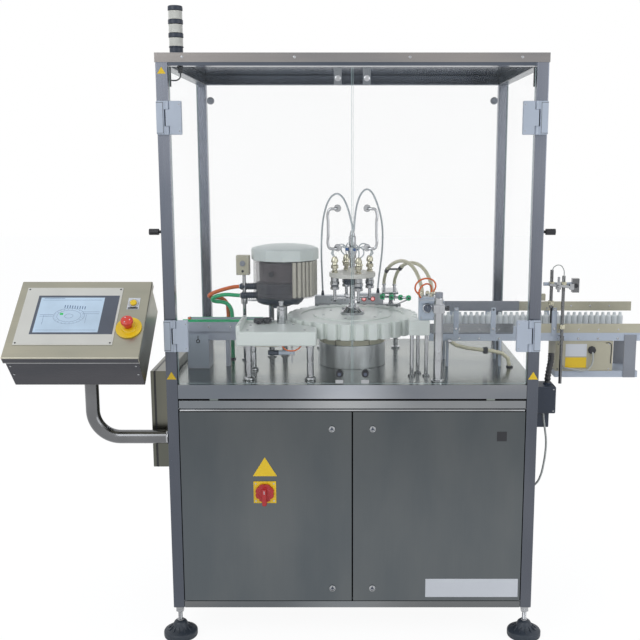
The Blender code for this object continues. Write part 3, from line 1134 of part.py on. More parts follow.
def build_conveyor():
    """Infeed conveyor with rails, belt, drive roller, drive box, sensor mast and the queue of bottles."""
    near, far = CONVEYOR_Y
    start, end = CONVEYOR_START, CONVEYOR_END
    middle = (near + far) / 2
    beams = [
        box((start, end), (near, near + BEAM_THICK), above(*BEAM_Z)),
        box((start, end), (far - BEAM_THICK, far), above(*BEAM_Z)),
    ]
    belt_y = (near + BEAM_THICK + BELT_INSET, far - BEAM_THICK - BELT_INSET)
    bed_top = TABLE_TOP + BELT_TOP - BELT_THICK - GAP
    shapes = beams + [
        box((start + BED_INSET, end - BED_INSET - BELT_END), (near + 0.002, far - 0.002), (bed_top - 0.010, bed_top)),
        box((start, end), (near, near + RAIL_THICK), above(BEAM_Z[1] - 0.002, NEAR_RAIL[1])),
        box((start, end), (far - RAIL_THICK, far), above(*FAR_RAIL)),
    ]
    for x in (*BRACKET_X, HALF_WIDTH + BRACKET_OUT):
        span = (x - BRACKET_WIDTH / 2, x + BRACKET_WIDTH / 2)
        shapes.append(box(span, (near - BRACKET_THICK, near + 0.002), above(*BRACKET_Z)))
        shapes.append(box(span, (far - 0.002, far + FAR_BRACKET_OUT), above(BEAM_Z[0] + 0.004, FAR_RAIL[1])))
    for x in LEG_X:
        for y in (near + BEAM_THICK / 2, far - BEAM_THICK / 2):
            shapes.append(post((x, y), TABLE_TOP + GAP, TABLE_TOP + BEAM_Z[0] + 0.004, LEG_RADIUS, 8))
    beam_low = TABLE_TOP + BEAM_Z[0]
    inset, width, drop = END_PLATE
    plate_x = (end - inset - width * 0.75, end - inset)
    lower_z = (beam_low - LOWER_BEAM_DROP - LOWER_BEAM[0], beam_low - LOWER_BEAM_DROP)
    for y in ((near - 0.004, near + 0.002), (far - 0.002, far + 0.004)):
        shapes.append(box(plate_x, y, (lower_z[0], TABLE_TOP + BEAM_Z[1] - 0.004)))
    shapes.append(box((end - LOWER_BEAM[1], end - inset / 3), (near, far), lower_z))
    mast_x = HALF_WIDTH + MAST_OUT
    short_x = HALF_WIDTH + SHORT_MAST_OUT
    foot_x = (mast_x - MAST_FOOT_WIDTH / 2, mast_x + MAST_FOOT_WIDTH / 2)
    shapes.append(box(foot_x, (MAST_Y, near + 0.004), above(BEAM_Z[0] + 0.004, BEAM_Z[1] - 0.006)))
    shapes.append(post((mast_x, MAST_Y), TABLE_TOP - MAST_DROP, TABLE_TOP + MAST_TOP, MAST_RADIUS, 10))
    shapes.append(post((short_x, MAST_Y), *above(*SHORT_MAST_Z), MAST_RADIUS, 10))
    block_x = [HALF_WIDTH + x for x in MAST_BLOCK[0]]
    arm_z = TABLE_TOP + MAST_ARM_Z
    shapes.append(rod((short_x - MAST_ARM_TAIL, MAST_Y, arm_z), (block_x[0] + 0.004, MAST_Y, arm_z),
                      MAST_RADIUS * 1.1, 8))
    shapes.append(box(block_x, MAST_BLOCK[1], above(*MAST_BLOCK[2])))
    node("conveyor_frame", fuse(*shapes), "brushed_stainless")
    loop_x = (start + BELT_END, end - BELT_END)
    hollow = belt_loop(loop_x, BELT_RADIUS - BELT_THICK, (belt_y[0] - 0.010, belt_y[1] + 0.010))
    node("conveyor_belt", cut(belt_loop(loop_x, BELT_RADIUS, belt_y), hollow), "grey_plastic")
    axle_z = TABLE_TOP + BELT_TOP - BELT_RADIUS
    roller_radius = BELT_RADIUS - BELT_THICK - ROLLER_CLEARANCE
    roller_y = (near + BEAM_THICK + GAP, far - BEAM_THICK - GAP)
    node("conveyor_drive_roller",
         rod((loop_x[1], roller_y[0], axle_z), (loop_x[1], roller_y[1], axle_z), roller_radius, 16),
         "polished_steel", (loop_x[1], middle, axle_z))
    box_top = beam_low - GAP
    box_x = (HALF_WIDTH + DRIVE_BOX_OUT[0], HALF_WIDTH + DRIVE_BOX_OUT[1])
    drive = fuse(
        box(box_x, (near + 0.001, DRIVE_BOX_Y[1]), (lower_z[1] + GAP, box_top)),
        pipe(beyond_frame(DRIVE_CABLE), DRIVE_CABLE_RADIUS, 6),
    )
    node("conveyor_drive_box", drive, "beige_paint")
    count = int((end - BELT_END - BOTTLE_START) / (2 * BOTTLE_RADIUS))
    low = TABLE_TOP + BELT_TOP + GAP
    bottles = []
    for index in range(count):
        at = (BOTTLE_START + 2 * BOTTLE_RADIUS * index, middle)
        bottles.append(turned((
            (BOTTLE_RADIUS, low), (BOTTLE_RADIUS, low + BOTTLE_BODY), (BOTTLE_NECK_RADIUS, low + BOTTLE_HEIGHT),
        ), at, 6))
    tie_end = BOTTLE_START + 2 * BOTTLE_RADIUS * (count - 1)
    bottles.append(box((BOTTLE_START, tie_end), (middle - BOTTLE_TIE, middle + BOTTLE_TIE),
                       (low + BOTTLE_BODY / 2, low + BOTTLE_BODY / 2 + 2 * BOTTLE_TIE)))
    node("bottle_queue", fuse(*bottles), "white_plastic")


def build_junction_box():
    """Black box on the right side panel with its ribbed conduit and the cable that leaves below it."""
    depth, y, z = JUNCTION
    inner = HALF_WIDTH - FACE_SETBACK + GAP
    shapes = [
        box((inner, HALF_WIDTH + depth - 0.014), y, z),
        box((inner, inner + 0.020), (y[0] + 0.030, y[1] - 0.030), (JUNCTION_FOOT_Z, z[0] + 0.004)),
        pipe(beyond_frame(CONDUIT_ROUTE), CONDUIT_RADIUS, 8),
        pipe(beyond_frame(JUNCTION_CABLE), JUNCTION_CABLE_RADIUS, 6),
    ]
    node("junction_box", fuse(*shapes), "blue_black")


def build_outfeed():
    """The short conveyor that takes bottles away to the left, with its drive box and leg."""
    left = -INNER_X - OUTFEED_END
    span = (left, OUTFEED_RIGHT)
    near, far = OUTFEED_Y
    width, inset, depth = OUTFEED_BOX
    box_x = (left + inset, left + inset + width)
    shapes = [
        box(span, (near + 0.004, far - 0.004), above(*OUTFEED_BODY)),
        box(span, (near, near + 0.010), above(OUTFEED_BODY[1] - 0.002, OUTFEED_PROFILE[1])),
        box(span, (far - 0.010, far), above(OUTFEED_BODY[1] - 0.002, OUTFEED_PROFILE[1])),
        box(span, (near + 0.001, near + 0.009), above(OUTFEED_PROFILE[1] - 0.002, OUTFEED_STRIP[1])),
        box(box_x, (near - OUTFEED_BOX_PROUD, near - OUTFEED_BOX_PROUD + depth), (TABLE_TOP + GAP, TABLE_TOP + OUTFEED_BODY[0] + 0.004)),
        box((OUTFEED_LEG[0], OUTFEED_LEG[0] + OUTFEED_LEG[1]), (near + 0.010, near + 0.040),
            (TABLE_TOP + GAP, TABLE_TOP + OUTFEED_BODY[0] + 0.004)),
    ]
    node("outfeed_conveyor", fuse(*shapes), "grey_plastic")


def build_hoses():
    """Rotary union with its two air hoses, and two product hoses held together by a clip."""
    air = [pipe(route, AIR_HOSE_RADIUS, 6) for route in (AIR_HOSE_LEFT, AIR_HOSE_RIGHT)]
    low = TABLE_TOP + COLUMN_TOP + GAP
    union = turned((
        (UNION_RADIUS, low), (UNION_RADIUS, low + UNION_HEIGHT * 0.6),
        (UNION_NECK_RADIUS, low + UNION_HEIGHT * 0.65), (UNION_NECK_RADIUS, low + UNION_HEIGHT),
    ), (0, WHEEL_Y), 12)
    node("air_union_and_hoses", fuse(union, *air), "hose")
    product = [
        pipe(route, PRODUCT_HOSE_RADIUS, 8)
        for route in (PRODUCT_HOSE_FRONT, PRODUCT_HOSE_REAR)
    ]
    node("product_hoses", fuse(*product, box(*HOSE_CLIP)), "hose")


def build_block_posts():
    """The three posts under the guide block, tied by a bar under it."""
    top = TABLE_TOP + BLOCK_Z[0] - GAP
    foot_radius, foot_height = BLOCK_POST_FOOT
    shapes = [post(at, TABLE_TOP + GAP, top, BLOCK_POST_RADIUS) for at in BLOCK_POSTS]
    shapes += [post(at, TABLE_TOP + GAP, TABLE_TOP + foot_height, foot_radius) for at in BLOCK_POSTS]
    (left_x, front_y), (right_x, _), (_, back_y) = BLOCK_POSTS
    tie_z = (top - 0.008, top - 0.001)
    shapes.append(box((left_x, right_x), (front_y - 0.004, front_y + 0.004), tie_z))
    shapes.append(box((left_x - 0.004, left_x + 0.004), (front_y, back_y), tie_z))
    node("guide_posts", fuse(*shapes), "polished_steel")


def main():
    """Clears the scene and builds the machine under one empty."""
    for leftover in list(bpy.data.objects):
        bpy.data.objects.remove(leftover, do_unlink=True)
    machine = bpy.data.objects.new("machine", None)
    machine.location = ORIGIN
    bpy.context.scene.collection.objects.link(machine)
    build_frame()
    build_roof_and_table()
    build_panels_and_guards()
    build_feet()
    build_stack_light()
    build_side_box()
    build_arm()
    build_control_panel()
    build_cabinet_doors()
    build_guard_doors()
    build_wheel_and_turret()
    build_guide_block()
    build_block_posts()
    build_bowl_feeder()
    build_dosing_station()
    build_filling_station()
    build_conveyor()
    build_junction_box()
    build_outfeed()
    build_hoses()


main()
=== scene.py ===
"""Finishes and visible meshes of a piston liquid filler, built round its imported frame.

Places are metres in the machine frame: X = 0 on the centre plane, Y = 0 on the posts' front faces and
Z = 0 on the floor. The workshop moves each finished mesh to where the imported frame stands.
"""

import logging
import math
from dataclasses import dataclass
from enum import Enum

import bpy
from mathutils import Matrix, Vector


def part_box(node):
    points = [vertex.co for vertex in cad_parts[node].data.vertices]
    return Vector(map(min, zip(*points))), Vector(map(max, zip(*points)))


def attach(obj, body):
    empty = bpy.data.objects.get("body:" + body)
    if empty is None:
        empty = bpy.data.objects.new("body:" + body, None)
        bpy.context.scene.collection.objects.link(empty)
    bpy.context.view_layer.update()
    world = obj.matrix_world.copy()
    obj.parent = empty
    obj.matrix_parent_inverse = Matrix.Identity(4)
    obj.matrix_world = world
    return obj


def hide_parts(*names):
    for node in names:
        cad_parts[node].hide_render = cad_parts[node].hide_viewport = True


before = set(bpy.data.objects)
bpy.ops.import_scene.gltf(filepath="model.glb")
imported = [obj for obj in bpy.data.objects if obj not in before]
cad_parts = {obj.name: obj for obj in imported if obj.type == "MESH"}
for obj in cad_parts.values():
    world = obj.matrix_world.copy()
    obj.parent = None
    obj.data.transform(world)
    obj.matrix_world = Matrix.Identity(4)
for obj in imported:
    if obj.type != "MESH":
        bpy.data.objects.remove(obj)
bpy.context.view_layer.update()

logging.basicConfig(level=logging.INFO, format="%(message)s")
log = logging.getLogger("filler")

Span = tuple[float, float]
Point = tuple[float, float, float]
Profile = tuple[Span, ...]

HALF_WIDTH = 0.65
DEPTH = 0.86
TUBE = 0.04
INNER_X = HALF_WIDTH - TUBE
INNER_BACK = DEPTH - TUBE
FRAME_TOP = 2.0687
POST_FOOT = 0.116
BASE_TOP = 0.142
TABLE = 0.948
MID_RAIL = (0.861, 0.891)
UP = (0.0, 0.0, 1.0)
FRONT = (0.0, -1.0, 0.0)


class Grain(Enum):
    """Which way a surface is brushed, as the pattern's scale along X, Y and Z."""

    ALONG_X = (5.0, 420.0, 420.0)
    ALONG_Y = (420.0, 5.0, 420.0)
    ALONG_Z = (420.0, 420.0, 5.0)
    ROUND = (60.0, 60.0, 700.0)
    MOULDED = (520.0, 520.0, 520.0)
    CLOUDY = (14.0, 14.0, 14.0)


@dataclass(frozen=True)
class Finish:
    """One surface finish: a colour that wanders with the grain, with uneven gloss and a fine relief.

    The colour is written as display red, green and blue from 0 to 255. The painted shade by height is a
    height, the share of the colour there, a second height and its share. The painted highlight is an X, how
    far it reaches and its share of the colour.
    """

    name: str
    slot: str
    colour: tuple[int, int, int]
    roughness: float
    metallic: float = 0.0
    grain: Grain = Grain.MOULDED
    wander: float = 0.1
    cloud: float = 0.12
    relief: float = 0.08
    gloss_spread: float = 0.06
    alpha: float = 1.0
    glow: float = 0.0
    coat: float = 0.0
    tint: float = 0.0
    # Painted shade: the colour's share at two heights, darker or lighter in between.
    painted_height_shade: tuple[float, ...] = ()
    # Painted highlight: the colour brightened round an X.
    glint: tuple[float, ...] = ()

    def drift(self) -> tuple[tuple[float, float, float, float], tuple[float, float, float, float], Span]:
        """The darkest and brightest share of the colour across wide areas, and the drift's two scales."""
        cool = (1 - self.cloud) * (1 - self.tint), 1 - self.cloud, (1 - self.cloud) * (1 + self.tint), 1.0
        warm = (1 + self.cloud) * (1 + self.tint), 1 + self.cloud, (1 + self.cloud) * (1 - self.tint), 1.0
        return cool, warm, (3.1, 1.1)

    def graded(self, made: bpy.types.Material, tone: bpy.types.NodeSocket) -> bpy.types.NodeSocket:
        """Paints shade into a colour along the height, and a painted highlight round the glint.

        Args:
            made: The material that the nodes go into.
            tone: The colour to grade.

        Returns:
            The graded colour.
        """
        nodes = made.node_tree.nodes
        link = made.node_tree.links.new
        axes = nodes.new("ShaderNodeSeparateXYZ")
        link(nodes["Texture Coordinate"].outputs["Object"], axes.inputs["Vector"])
        grades = []
        if self.painted_height_shade:
            grades.append((axes.outputs["Z"], self.painted_height_shade))
        if self.glint:
            middle, reach, share = self.glint
            away = nodes.new("ShaderNodeMath")
            away.operation = "SUBTRACT"
            away.inputs[1].default_value = middle
            link(axes.outputs["X"], away.inputs[0])
            size = nodes.new("ShaderNodeMath")
            size.operation = "ABSOLUTE"
            link(away.outputs["Value"], size.inputs[0])
            grades.append((size.outputs["Value"], (0.0, share, reach, 1.0)))
        for value, (first, first_share, last, last_share) in grades:
            spread = nodes.new("ShaderNodeMapRange")
            spread.interpolation_type = "SMOOTHSTEP"
            spread.inputs["From Min"].default_value = first
            spread.inputs["From Max"].default_value = last
            spread.inputs["To Min"].default_value = first_share
            spread.inputs["To Max"].default_value = last_share
            link(value, spread.inputs["Value"])
            scaled = nodes.new("ShaderNodeVectorMath")
            scaled.operation = "SCALE"
            link(tone, scaled.inputs["Vector"])
            link(spread.outputs["Result"], scaled.inputs["Scale"])
            tone = scaled.outputs["Vector"]
        return tone

    def shade(self, factor: float) -> tuple[float, float, float, float]:
        """The colour in scene-linear values, brightened by a factor."""
        linear = []
        for part in self.colour:
            value = part / 255
            value = value / 12.92 if value <= 0.04045 else ((value + 0.055) / 1.055) ** 2.4
            linear.append(min(value * factor, 1.0))
        return (*linear, 1.0)

    def material(self) -> bpy.types.Material:
        """The Blender material of this finish, made the first time it is asked for.

        Returns:
            The material, whose pattern reads object coordinates.
        """
        found = bpy.data.materials.get(self.name)
        if found:
            return found
        made = bpy.data.materials.new(self.name)
        made.use_nodes = True
        nodes = made.node_tree.nodes
        link = made.node_tree.links.new
        shader = nodes["Principled BSDF"]
        place = nodes.new("ShaderNodeTexCoord")
        stretch = nodes.new("ShaderNodeMapping")
        stretch.inputs["Scale"].default_value = self.grain.value
        streak = nodes.new("ShaderNodeTexNoise")
        streak.inputs["Scale"].default_value = 1.0
        streak.inputs["Detail"].default_value = 3.0
        cool, warm, (across, along) = self.drift()
        wide = nodes.new("ShaderNodeMapping")
        wide.inputs["Scale"].default_value = [along if part < 10 else across for part in self.grain.value]
        cloud = nodes.new("ShaderNodeTexNoise")
        cloud.inputs["Scale"].default_value = 1.6
        cloud.inputs["Detail"].default_value = 4.0
        link(place.outputs["Object"], stretch.inputs["Vector"])
        link(stretch.outputs["Vector"], streak.inputs["Vector"])
        link(place.outputs["Object"], wide.inputs["Vector"])
        link(wide.outputs["Vector"], cloud.inputs["Vector"])
        fine = nodes.new("ShaderNodeMix")
        fine.data_type = "RGBA"
        fine.inputs[6].default_value = self.shade(1 - self.wander)
        fine.inputs[7].default_value = self.shade(1 + self.wander)
        link(streak.outputs["Fac"], fine.inputs[0])
        spread = nodes.new("ShaderNodeMapRange")
        spread.inputs["From Min"].default_value = 0.34
        spread.inputs["From Max"].default_value = 0.66
        link(cloud.outputs["Fac"], spread.inputs["Value"])
        drift = nodes.new("ShaderNodeMix")
        drift.data_type = "RGBA"
        drift.inputs[6].default_value = cool
        drift.inputs[7].default_value = warm
        link(spread.outputs["Result"], drift.inputs[0])
        blend = nodes.new("ShaderNodeVectorMath")
        blend.operation = "MULTIPLY"
        link(fine.outputs[2], blend.inputs[0])
        link(drift.outputs[2], blend.inputs[1])
        # Painted shade by height and a painted highlight round an X go into the colour here.
        tone = self.graded(made, blend.outputs["Vector"])
        link(tone, shader.inputs["Base Color"])
        gloss = nodes.new("ShaderNodeMapRange")
        gloss.inputs["To Min"].default_value = max(self.roughness - self.gloss_spread, 0.02)
        gloss.inputs["To Max"].default_value = self.roughness + self.gloss_spread
        link(streak.outputs["Fac"], gloss.inputs["Value"])
        link(gloss.outputs["Result"], shader.inputs["Roughness"])
        bump = nodes.new("ShaderNodeBump")
        bump.inputs["Strength"].default_value = self.relief
        bump.inputs["Distance"].default_value = 0.0004
        link(streak.outputs["Fac"], bump.inputs["Height"])
        link(bump.outputs["Normal"], shader.inputs["Normal"])
        shader.inputs["Metallic"].default_value = self.metallic
        shader.inputs["Alpha"].default_value = self.alpha
        shader.inputs["Coat Weight"].default_value = self.coat
        if self.glow:
            link(tone, shader.inputs["Emission Color"])
            shader.inputs["Emission Strength"].default_value = self.glow
        return made


# Posts: painted shade, darker towards the floor.
POST_STEEL = Finish("post_steel", "brushed_stainless", (126, 131, 142), 0.26, 1.0, Grain.ALONG_Z, 0.05, 0.12,
    0.04, tint=0.02, painted_height_shade=(0.75, 0.52, 1.9, 1.0))
# Long rails: painted shade, the base rail darker than the mid rail, and a painted highlight round the middle.
RAIL_STEEL = Finish("rail_steel", "brushed_stainless", (134, 137, 140), 0.24, 1.0, Grain.ALONG_X, 0.05, 0.14,
    0.04, tint=0.03, painted_height_shade=(0.14, 0.62, 0.86, 1.0), glint=(0.0, 0.3, 1.5))
SIDE_RAIL_STEEL = Finish("side_rail_steel", "brushed_stainless", (126, 130, 134), 0.28, 1.0, Grain.ALONG_Y,
    0.05, 0.12, 0.04, tint=0.03)
TABLE_STEEL = Finish("table_steel", "brushed_stainless", (126, 133, 130), 0.21, 1.0, Grain.ALONG_X, 0.05,
    0.16, 0.08, tint=0.03)
# Table band: a painted highlight round the middle.
BAND_STEEL = Finish("band_steel", "brushed_stainless", (124, 128, 134), 0.22, 1.0, Grain.ALONG_X, 0.05, 0.14,
    0.04, tint=0.03, glint=(0.0, 0.24, 1.9))
ROOF_STEEL = Finish("roof_steel", "brushed_stainless", (141, 139, 139), 0.24, 1.0, Grain.ALONG_X, 0.05, 0.12,
    0.03, tint=0.03)
# A darker, bluer copy of the roof steel: painted shade and reflection under the roof, on its rear faces and on
# the top rails.
SHADED_UNDER_STEEL = Finish("shaded_under_steel", "brushed_stainless", (86, 93, 104), 0.16, 1.0, Grain.ALONG_X, 0.03, 0.16,
    0.01, tint=0.03)
# Cabinet sheets: painted shade, darker towards the top under the table.
DOOR_STEEL = Finish("door_steel", "cabinet_stainless", (97, 102, 105), 0.32, 1.0, Grain.ALONG_Z, 0.05, 0.09,
    0.04, tint=0.02, painted_height_shade=(0.35, 1.0, 0.86, 0.8))
HOUSING_STEEL = Finish("housing_steel", "brushed_stainless", (164, 162, 148), 0.3, 1.0, Grain.ALONG_X, 0.05,
    0.12, 0.04, tint=0.02)
BOX_STEEL = Finish("enclosure_steel", "brushed_stainless", (106, 106, 97), 0.3, 1.0, Grain.ALONG_Z, 0.05,
    0.16, 0.04, tint=0.03)
# A dark copy of the housing steel: painted shade on the panel's faces that face forward and down.
SHADED_TUB_STEEL = Finish("shaded_tub_steel", "brushed_stainless", (72, 73, 78), 0.26, 1.0, Grain.ALONG_X, 0.05, 0.2, 0.04,
    tint=0.04)
TURNED_STEEL = Finish("turned_steel", "machined_steel", (172, 176, 178), 0.34, 1.0, Grain.ROUND, 0.06)
CHROME = Finish("chrome", "polished_steel", (168, 170, 173), 0.1, 1.0, Grain.MOULDED, 0.03, 0.2, 0.03, 0.02)
PIPE_STEEL = Finish("pipe_steel", "polished_steel", (112, 113, 115), 0.2, 1.0, Grain.MOULDED, 0.05, 0.15,
    0.04)
BRASS = Finish("nickel_brass", "machined_steel", (190, 187, 168), 0.24, 1.0, Grain.MOULDED, 0.08, 0.2)
CLEAR = Finish("clear_sheet", "clear_guard", (236, 242, 244), 0.05, alpha=0.022, relief=0.01,
    gloss_spread=0.03)
CLEAR_EDGE = Finish("clear_edge", "clear_guard", (186, 206, 204), 0.12, alpha=0.45, relief=0.02)
SMOKY = Finish("smoky_sheet", "clear_guard", (104, 100, 104), 0.08, alpha=0.26, relief=0.03, coat=0.4)
BROWN_BOWL = Finish("brown_bowl", "blue_black_plastic", (96, 84, 86), 0.3, wander=0.14, cloud=0.3)
FLUTE = Finish("fluted_tube", "clear_guard", (214, 208, 192), 0.14, alpha=0.8, relief=0.03, coat=0.4)
FOOT_RUBBER = Finish("foot_moulding", "foot_rubber", (44, 52, 62), 0.48, wander=0.18)
BLUE_BLACK = Finish("blue_black_moulding", "blue_black_plastic", (40, 50, 66), 0.42, wander=0.16)
LENS = Finish("signal_lens", "white_plastic", (222, 221, 212), 0.2, grain=Grain.CLOUDY, coat=0.5)
HINGE_GREY = Finish("hinge_moulding", "grey_paint", (186, 194, 206), 0.42, wander=0.06, cloud=0.06)
GREY_PAINT = Finish("grey_coating", "grey_paint", (182, 188, 200), 0.4, wander=0.06)
SLATE = Finish("slate_moulding", "grey_paint", (84, 92, 108), 0.4, wander=0.06)
DARK_SLATE = Finish("dark_slate_moulding", "grey_paint", (84, 90, 102), 0.34, wander=0.06)
MID_GREY = Finish("mid_grey_coating", "grey_paint", (138, 141, 148), 0.4, wander=0.06)
PALE_GREY = Finish("pale_grey_coating", "grey_paint", (184, 194, 206), 0.4, wander=0.06)
BEIGE_PAINT = Finish("beige_coating", "beige_paint", (186, 180, 158), 0.44, wander=0.07)
BEZEL = Finish("bezel_moulding", "beige_paint", (216, 213, 204), 0.46, wander=0.05, cloud=0.05)
POLYMER = Finish("white_polymer", "white_plastic", (224, 229, 222), 0.4, grain=Grain.CLOUDY, wander=0.04,
    cloud=0.04, coat=0.15)
BOTTLE = Finish("bottle_polymer", "white_plastic", (224, 227, 226), 0.32, grain=Grain.CLOUDY, wander=0.03,
    cloud=0.04)
LID_POLYMER = Finish("lid_polymer", "white_plastic", (220, 226, 221), 0.4, grain=Grain.CLOUDY, wander=0.05,
    cloud=0.06)
IVORY = Finish("ivory_polymer", "white_plastic", (222, 216, 190), 0.42, grain=Grain.CLOUDY, wander=0.08)
BLACK = Finish("black_moulding", "black_plastic", (34, 35, 40), 0.38, wander=0.2)
RED = Finish("red_moulding", "red_plastic", (226, 58, 40), 0.3, wander=0.06, coat=0.3)
SWITCH_RED = Finish("switch_red_moulding", "red_plastic", (176, 24, 28), 0.32, wander=0.08, coat=0.3)
BLUE = Finish("blue_moulding", "hose", (52, 92, 150), 0.34, wander=0.08)
ROSE_GLOW = Finish("rose_sensor_glow", "red_plastic", (255, 176, 176), 0.3, wander=0.05, glow=0.7)
YELLOW = Finish("yellow_moulding", "yellow_plastic", (240, 200, 24), 0.36, wander=0.05, coat=0.2)
GREEN = Finish("green_moulding", "hose", (42, 186, 122), 0.36, wander=0.08)
ORANGE = Finish("orange_sheath", "hose", (226, 106, 34), 0.4, wander=0.08)
CREAM_HOSE = Finish("cream_hose", "hose", (214, 208, 178), 0.34, grain=Grain.CLOUDY, wander=0.08, coat=0.3)
AIR_HOSE = Finish("air_hose", "hose", (196, 202, 204), 0.26, grain=Grain.CLOUDY, wander=0.06, coat=0.4)
GREY_SHEATH = Finish("grey_sheath", "hose", (178, 180, 176), 0.42, wander=0.08)
BELT = Finish("belt_moulding", "belt_plastic", (150, 156, 164), 0.46, wander=0.12)
PLATE_WHITE = Finish("blank_plate", "white_plastic", (216, 218, 222), 0.34, wander=0.03, cloud=0.03)
SCREEN = Finish("screen_glass", "grey_paint", (170, 188, 204), 0.16, grain=Grain.CLOUDY, cloud=0.12,
    glow=0.32)
SCREEN_LINE = Finish("screen_line", "grey_paint", (92, 112, 142), 0.2, grain=Grain.CLOUDY, glow=0.15)
SCREEN_MARK = Finish("screen_mark", "grey_paint", (54, 176, 92), 0.2, grain=Grain.CLOUDY, glow=0.3)


def ring_points(count: int, radius: float, centre: Span, first: float = 0.0) -> list[Span]:
    """Evenly spaced places on a circle.

    Args:
        count: How many places.
        radius: The circle's radius.
        centre: X and Y of its centre.
        first: The first place's angle, in radians.

    Returns:
        X and Y of each place, anticlockwise.
    """
    turns = [first + 2 * math.pi * step / count for step in range(count)]
    return [(centre[0] + radius * math.cos(turn), centre[1] + radius * math.sin(turn)) for turn in turns]


def swept(centre: Span, radius: float, first: float, last: float, steps: int) -> list[Span]:
    """Places along an arc.

    Args:
        centre: X and Y of the arc's centre.
        radius: Its radius.
        first: The first place's angle, in radians.
        last: The last place's angle, in radians.
        steps: How many steps the arc is cut into.

    Returns:
        X and Y of each place, ends included.
    """
    turns = [first + (last - first) * step / steps for step in range(steps + 1)]
    return [(centre[0] + radius * math.cos(turn), centre[1] + radius * math.sin(turn)) for turn in turns]


